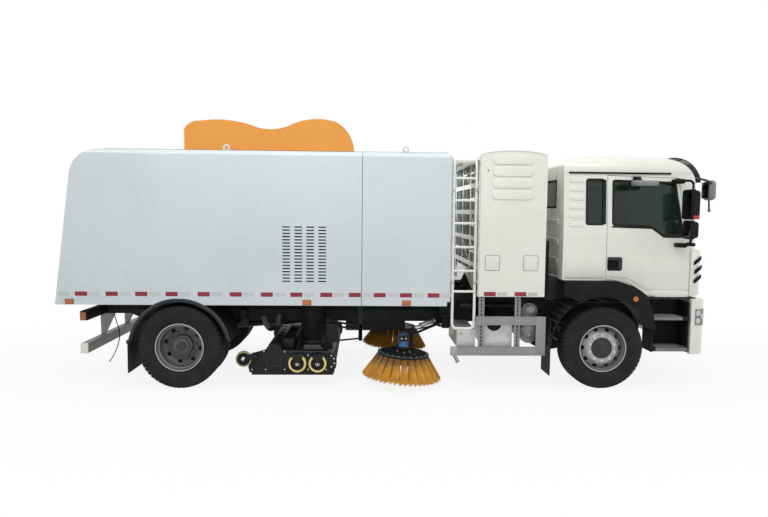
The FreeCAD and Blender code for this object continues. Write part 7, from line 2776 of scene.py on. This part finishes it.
@dataclass
class SuctionHoses:
    """Ribbed hoses from the nozzle's necks to the flanges under the body."""

    station: float = 1.532
    y: float = -0.620
    radius: float = 0.150
    bottom: float = 0.500
    top: float = 1.000
    pitch: float = 0.034
    wall: float = 0.011

    def build(self) -> None:
        """Turn a hose for each side."""
        cuff, groove, crest = self.radius - 0.001, self.radius - 0.010, self.radius - 0.0015
        outer = [(cuff, self.bottom + 0.001), (cuff, self.bottom + 0.022)]
        for n in range(int((self.top - self.bottom - 0.05) / self.pitch)):
            z = self.bottom + 0.026 + n * self.pitch
            outer += [(groove, z), (groove, z + 0.008), (crest, z + 0.014), (crest, z + 0.022),
                      (groove, z + 0.028)]
        outer += [(cuff, self.top - 0.020), (cuff, self.top - 0.001)]
        inner = [(groove - self.wall, self.top - 0.001), (groove - self.wall, self.bottom + 0.001)]
        for side in Side:
            hose = turned(f"suction_hose_{side.word}_ribbed", outer + inner,
                          at(self.station, self.y, 0), (0, 0, 1), 64, closed=True)
            for_side(hose, side)
            if side is Side.RIGHT:
                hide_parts("suction_hose")
            pick(hose)
            bpy.ops.object.shade_smooth_by_angle(angle=math.radians(50))
            dress(hose, RUBBER)
            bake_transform(hose)
            log.info("%s: %d faces", hose.name, len(hose.data.polygons))


# --- setting -----------------------------------------------------------------
@dataclass
class Setting:
    """Floor, backdrop, lamps and the camera."""

    eye_station: float = 2.174
    eye_y: float = -8.744
    eye_z: float = 2.142
    yaw: float = 0.0335
    pitch: float = 0.0745
    roll: float = 0.0097
    lens: float = 29.6953125
    sensor: float = 36.0
    floor_half: float = 60.0
    sky: float = 0.50
    floor_white: float = 0.88
    floor_colour: Colour = (0.80, 0.80, 0.80)

    def build(self) -> None:
        """Make the whole setting."""
        bpy.context.scene.view_settings.view_transform = "Standard"
        self.camera()
        self.floor()
        self.world()
        self.lamps()

    def camera(self) -> None:
        """Camera that sees the truck's right side."""
        view = Vector((math.sin(self.yaw) * math.cos(self.pitch),
                       math.cos(self.yaw) * math.cos(self.pitch), -math.sin(self.pitch)))
        across = Vector((math.cos(self.yaw), -math.sin(self.yaw), 0))
        up = across.cross(view)
        c, s = math.cos(self.roll), math.sin(self.roll)
        right, top = across * c + up * s, up * c - across * s
        nothing_picked()
        bpy.ops.object.camera_add(location=at(self.eye_station, self.eye_y, self.eye_z))
        cam = bpy.context.object
        turn = Matrix((right, top, -view)).transposed()
        cam.matrix_world = Matrix.Translation(cam.location) @ turn.to_4x4()
        cam.data.lens = self.lens
        cam.data.sensor_width = self.sensor
        cam.data.clip_end = 200.0
        bpy.context.scene.camera = cam

    def floor(self) -> None:
        """Pale floor that shows white to the camera and keeps the shadow."""
        nothing_picked()
        bpy.ops.mesh.primitive_plane_add(size=2 * self.floor_half, location=(0, 0, 0))
        obj = bpy.context.object
        obj.name = "floor"
        made = bpy.data.materials.new("floor_paint")
        made.use_nodes = True
        w = Wiring(made.node_tree)
        shader = made.node_tree.nodes["Principled BSDF"]
        shader.inputs["Base Color"].default_value = (*self.floor_colour, 1)
        shader.inputs["Roughness"].default_value = 0.9
        shader.inputs["Specular IOR Level"].default_value = 0.1
        coords = w.coords()
        flat = w.node("ShaderNodeMapping", in_3=(0.10, 0.25, 0.0), in_0=coords).outputs[0]
        reach = w.node("ShaderNodeVectorMath", operation="LENGTH", in_0=flat).outputs["Value"]
        pale = w.ramp(reach, 0.35, 1.1, self.floor_white, 1.0)
        share = w.math("MULTIPLY", pale, self.looked_at(w))
        white = w.node("ShaderNodeEmission", in_0=(1, 1, 1, 1), in_1=1.0)
        mixed = w.node("ShaderNodeMixShader", in_0=share, in_1=shader.outputs[0],
                       in_2=white.outputs[0])
        w.feed(made.node_tree.nodes["Material Output"].inputs["Surface"], mixed.outputs[0])
        obj.data.materials.append(made)

    @staticmethod
    def looked_at(w: Wiring) -> Socket:
        """Where the camera, a reflection or a pane of glass looks at the background.

        Args:
            w: wiring of the floor's material or of the world.

        Returns:
            1 for such a look and 0 for the light's own paths.
        """
        path = w.node("ShaderNodeLightPath")
        seen = w.math("MAXIMUM", path.outputs["Is Camera Ray"], path.outputs["Is Glossy Ray"])
        return w.math("MAXIMUM", seen, path.outputs["Is Transmission Ray"])

    def world(self) -> None:
        """Soft even sky, white where the camera or a reflection looks at it."""
        world = bpy.data.worlds.new("studio")
        bpy.context.scene.world = world
        world.use_nodes = True
        w = Wiring(world.node_tree)
        back = world.node_tree.nodes["Background"]
        back.inputs["Color"].default_value = (1, 1, 1, 1)
        strength = w.node("ShaderNodeMapRange", in_0=self.looked_at(w), in_3=self.sky, in_4=1.0)
        w.feed(back.inputs["Strength"], strength.outputs[0])

    def lamps(self) -> None:
        """Large soft lamps: over the truck, from the viewer's side and from behind."""
        table = [
            # name, place, length, depth, power, aimed at height
            ("top", at(2.0, -1.0, 9.0), 10.0, 10.0, 165.0, 0.0),
            ("high_side", at(1.5, -4.2, 6.6), 11.0, 1.6, 235.0, 2.9),
            ("near_side", at(1.0, -11.0, 5.5), 9.0, 9.0, 165.0, 0.9),
            ("front", at(12.0, -4.0, 5.0), 6.0, 6.0, 170.0, 1.5),
            ("rear", at(-9.0, 3.0, 6.0), 6.0, 6.0, 150.0, 1.5),
            ("far_side", at(2.5, 10.0, 6.0), 8.0, 8.0, 200.0, 1.2),
        ]
        for name, place, length, depth, power, height in table:
            nothing_picked()
            bpy.ops.object.light_add(type="AREA", location=place)
            lamp = bpy.context.object
            lamp.name = name
            lamp.data.shape = "RECTANGLE"
            lamp.data.size = length
            lamp.data.size_y = depth
            lamp.data.energy = power
            aim = at(place.x - REAR_AXLE if name == "high_side" else 2.5, 0, height) - place
            lamp.rotation_euler = aim.to_track_quat("-Z", "Y").to_euler()


def main() -> None:
    """Build every part of the looks in order."""
    logging.basicConfig(level=logging.INFO, format="%(name)s %(message)s")
    dress_nodes()
    Setting().build()
    EarthStrap().build()
    BodySide().build()
    TailgateFittings().build()
    Cabinet().build()
    LadderBay().build()
    SideGuard().build()
    RearUnderbody().build()
    CabFlank().build()
    CabFront().build()
    FrontMirror().build()
    NozzleFittings().build()
    SuctionHoses().build()
    for side in Side:
        MirrorSet(side).build()
        Seat(side).build()
        SideBrush(side).build()
        CastorWheel("rear", side, 0.744, 0.345, 0.096, 0.017, CASTOR_DULL).build()
        CastorWheel("middle", side, 1.389, 0.290, 0.109, 0.024, CASTOR_YELLOW).build()
        CastorWheel("front", side, 1.634, 0.290, 0.109, 0.024, CASTOR_YELLOW).build()
    WheelSet().build()


if __name__ == "__main__":
    main()
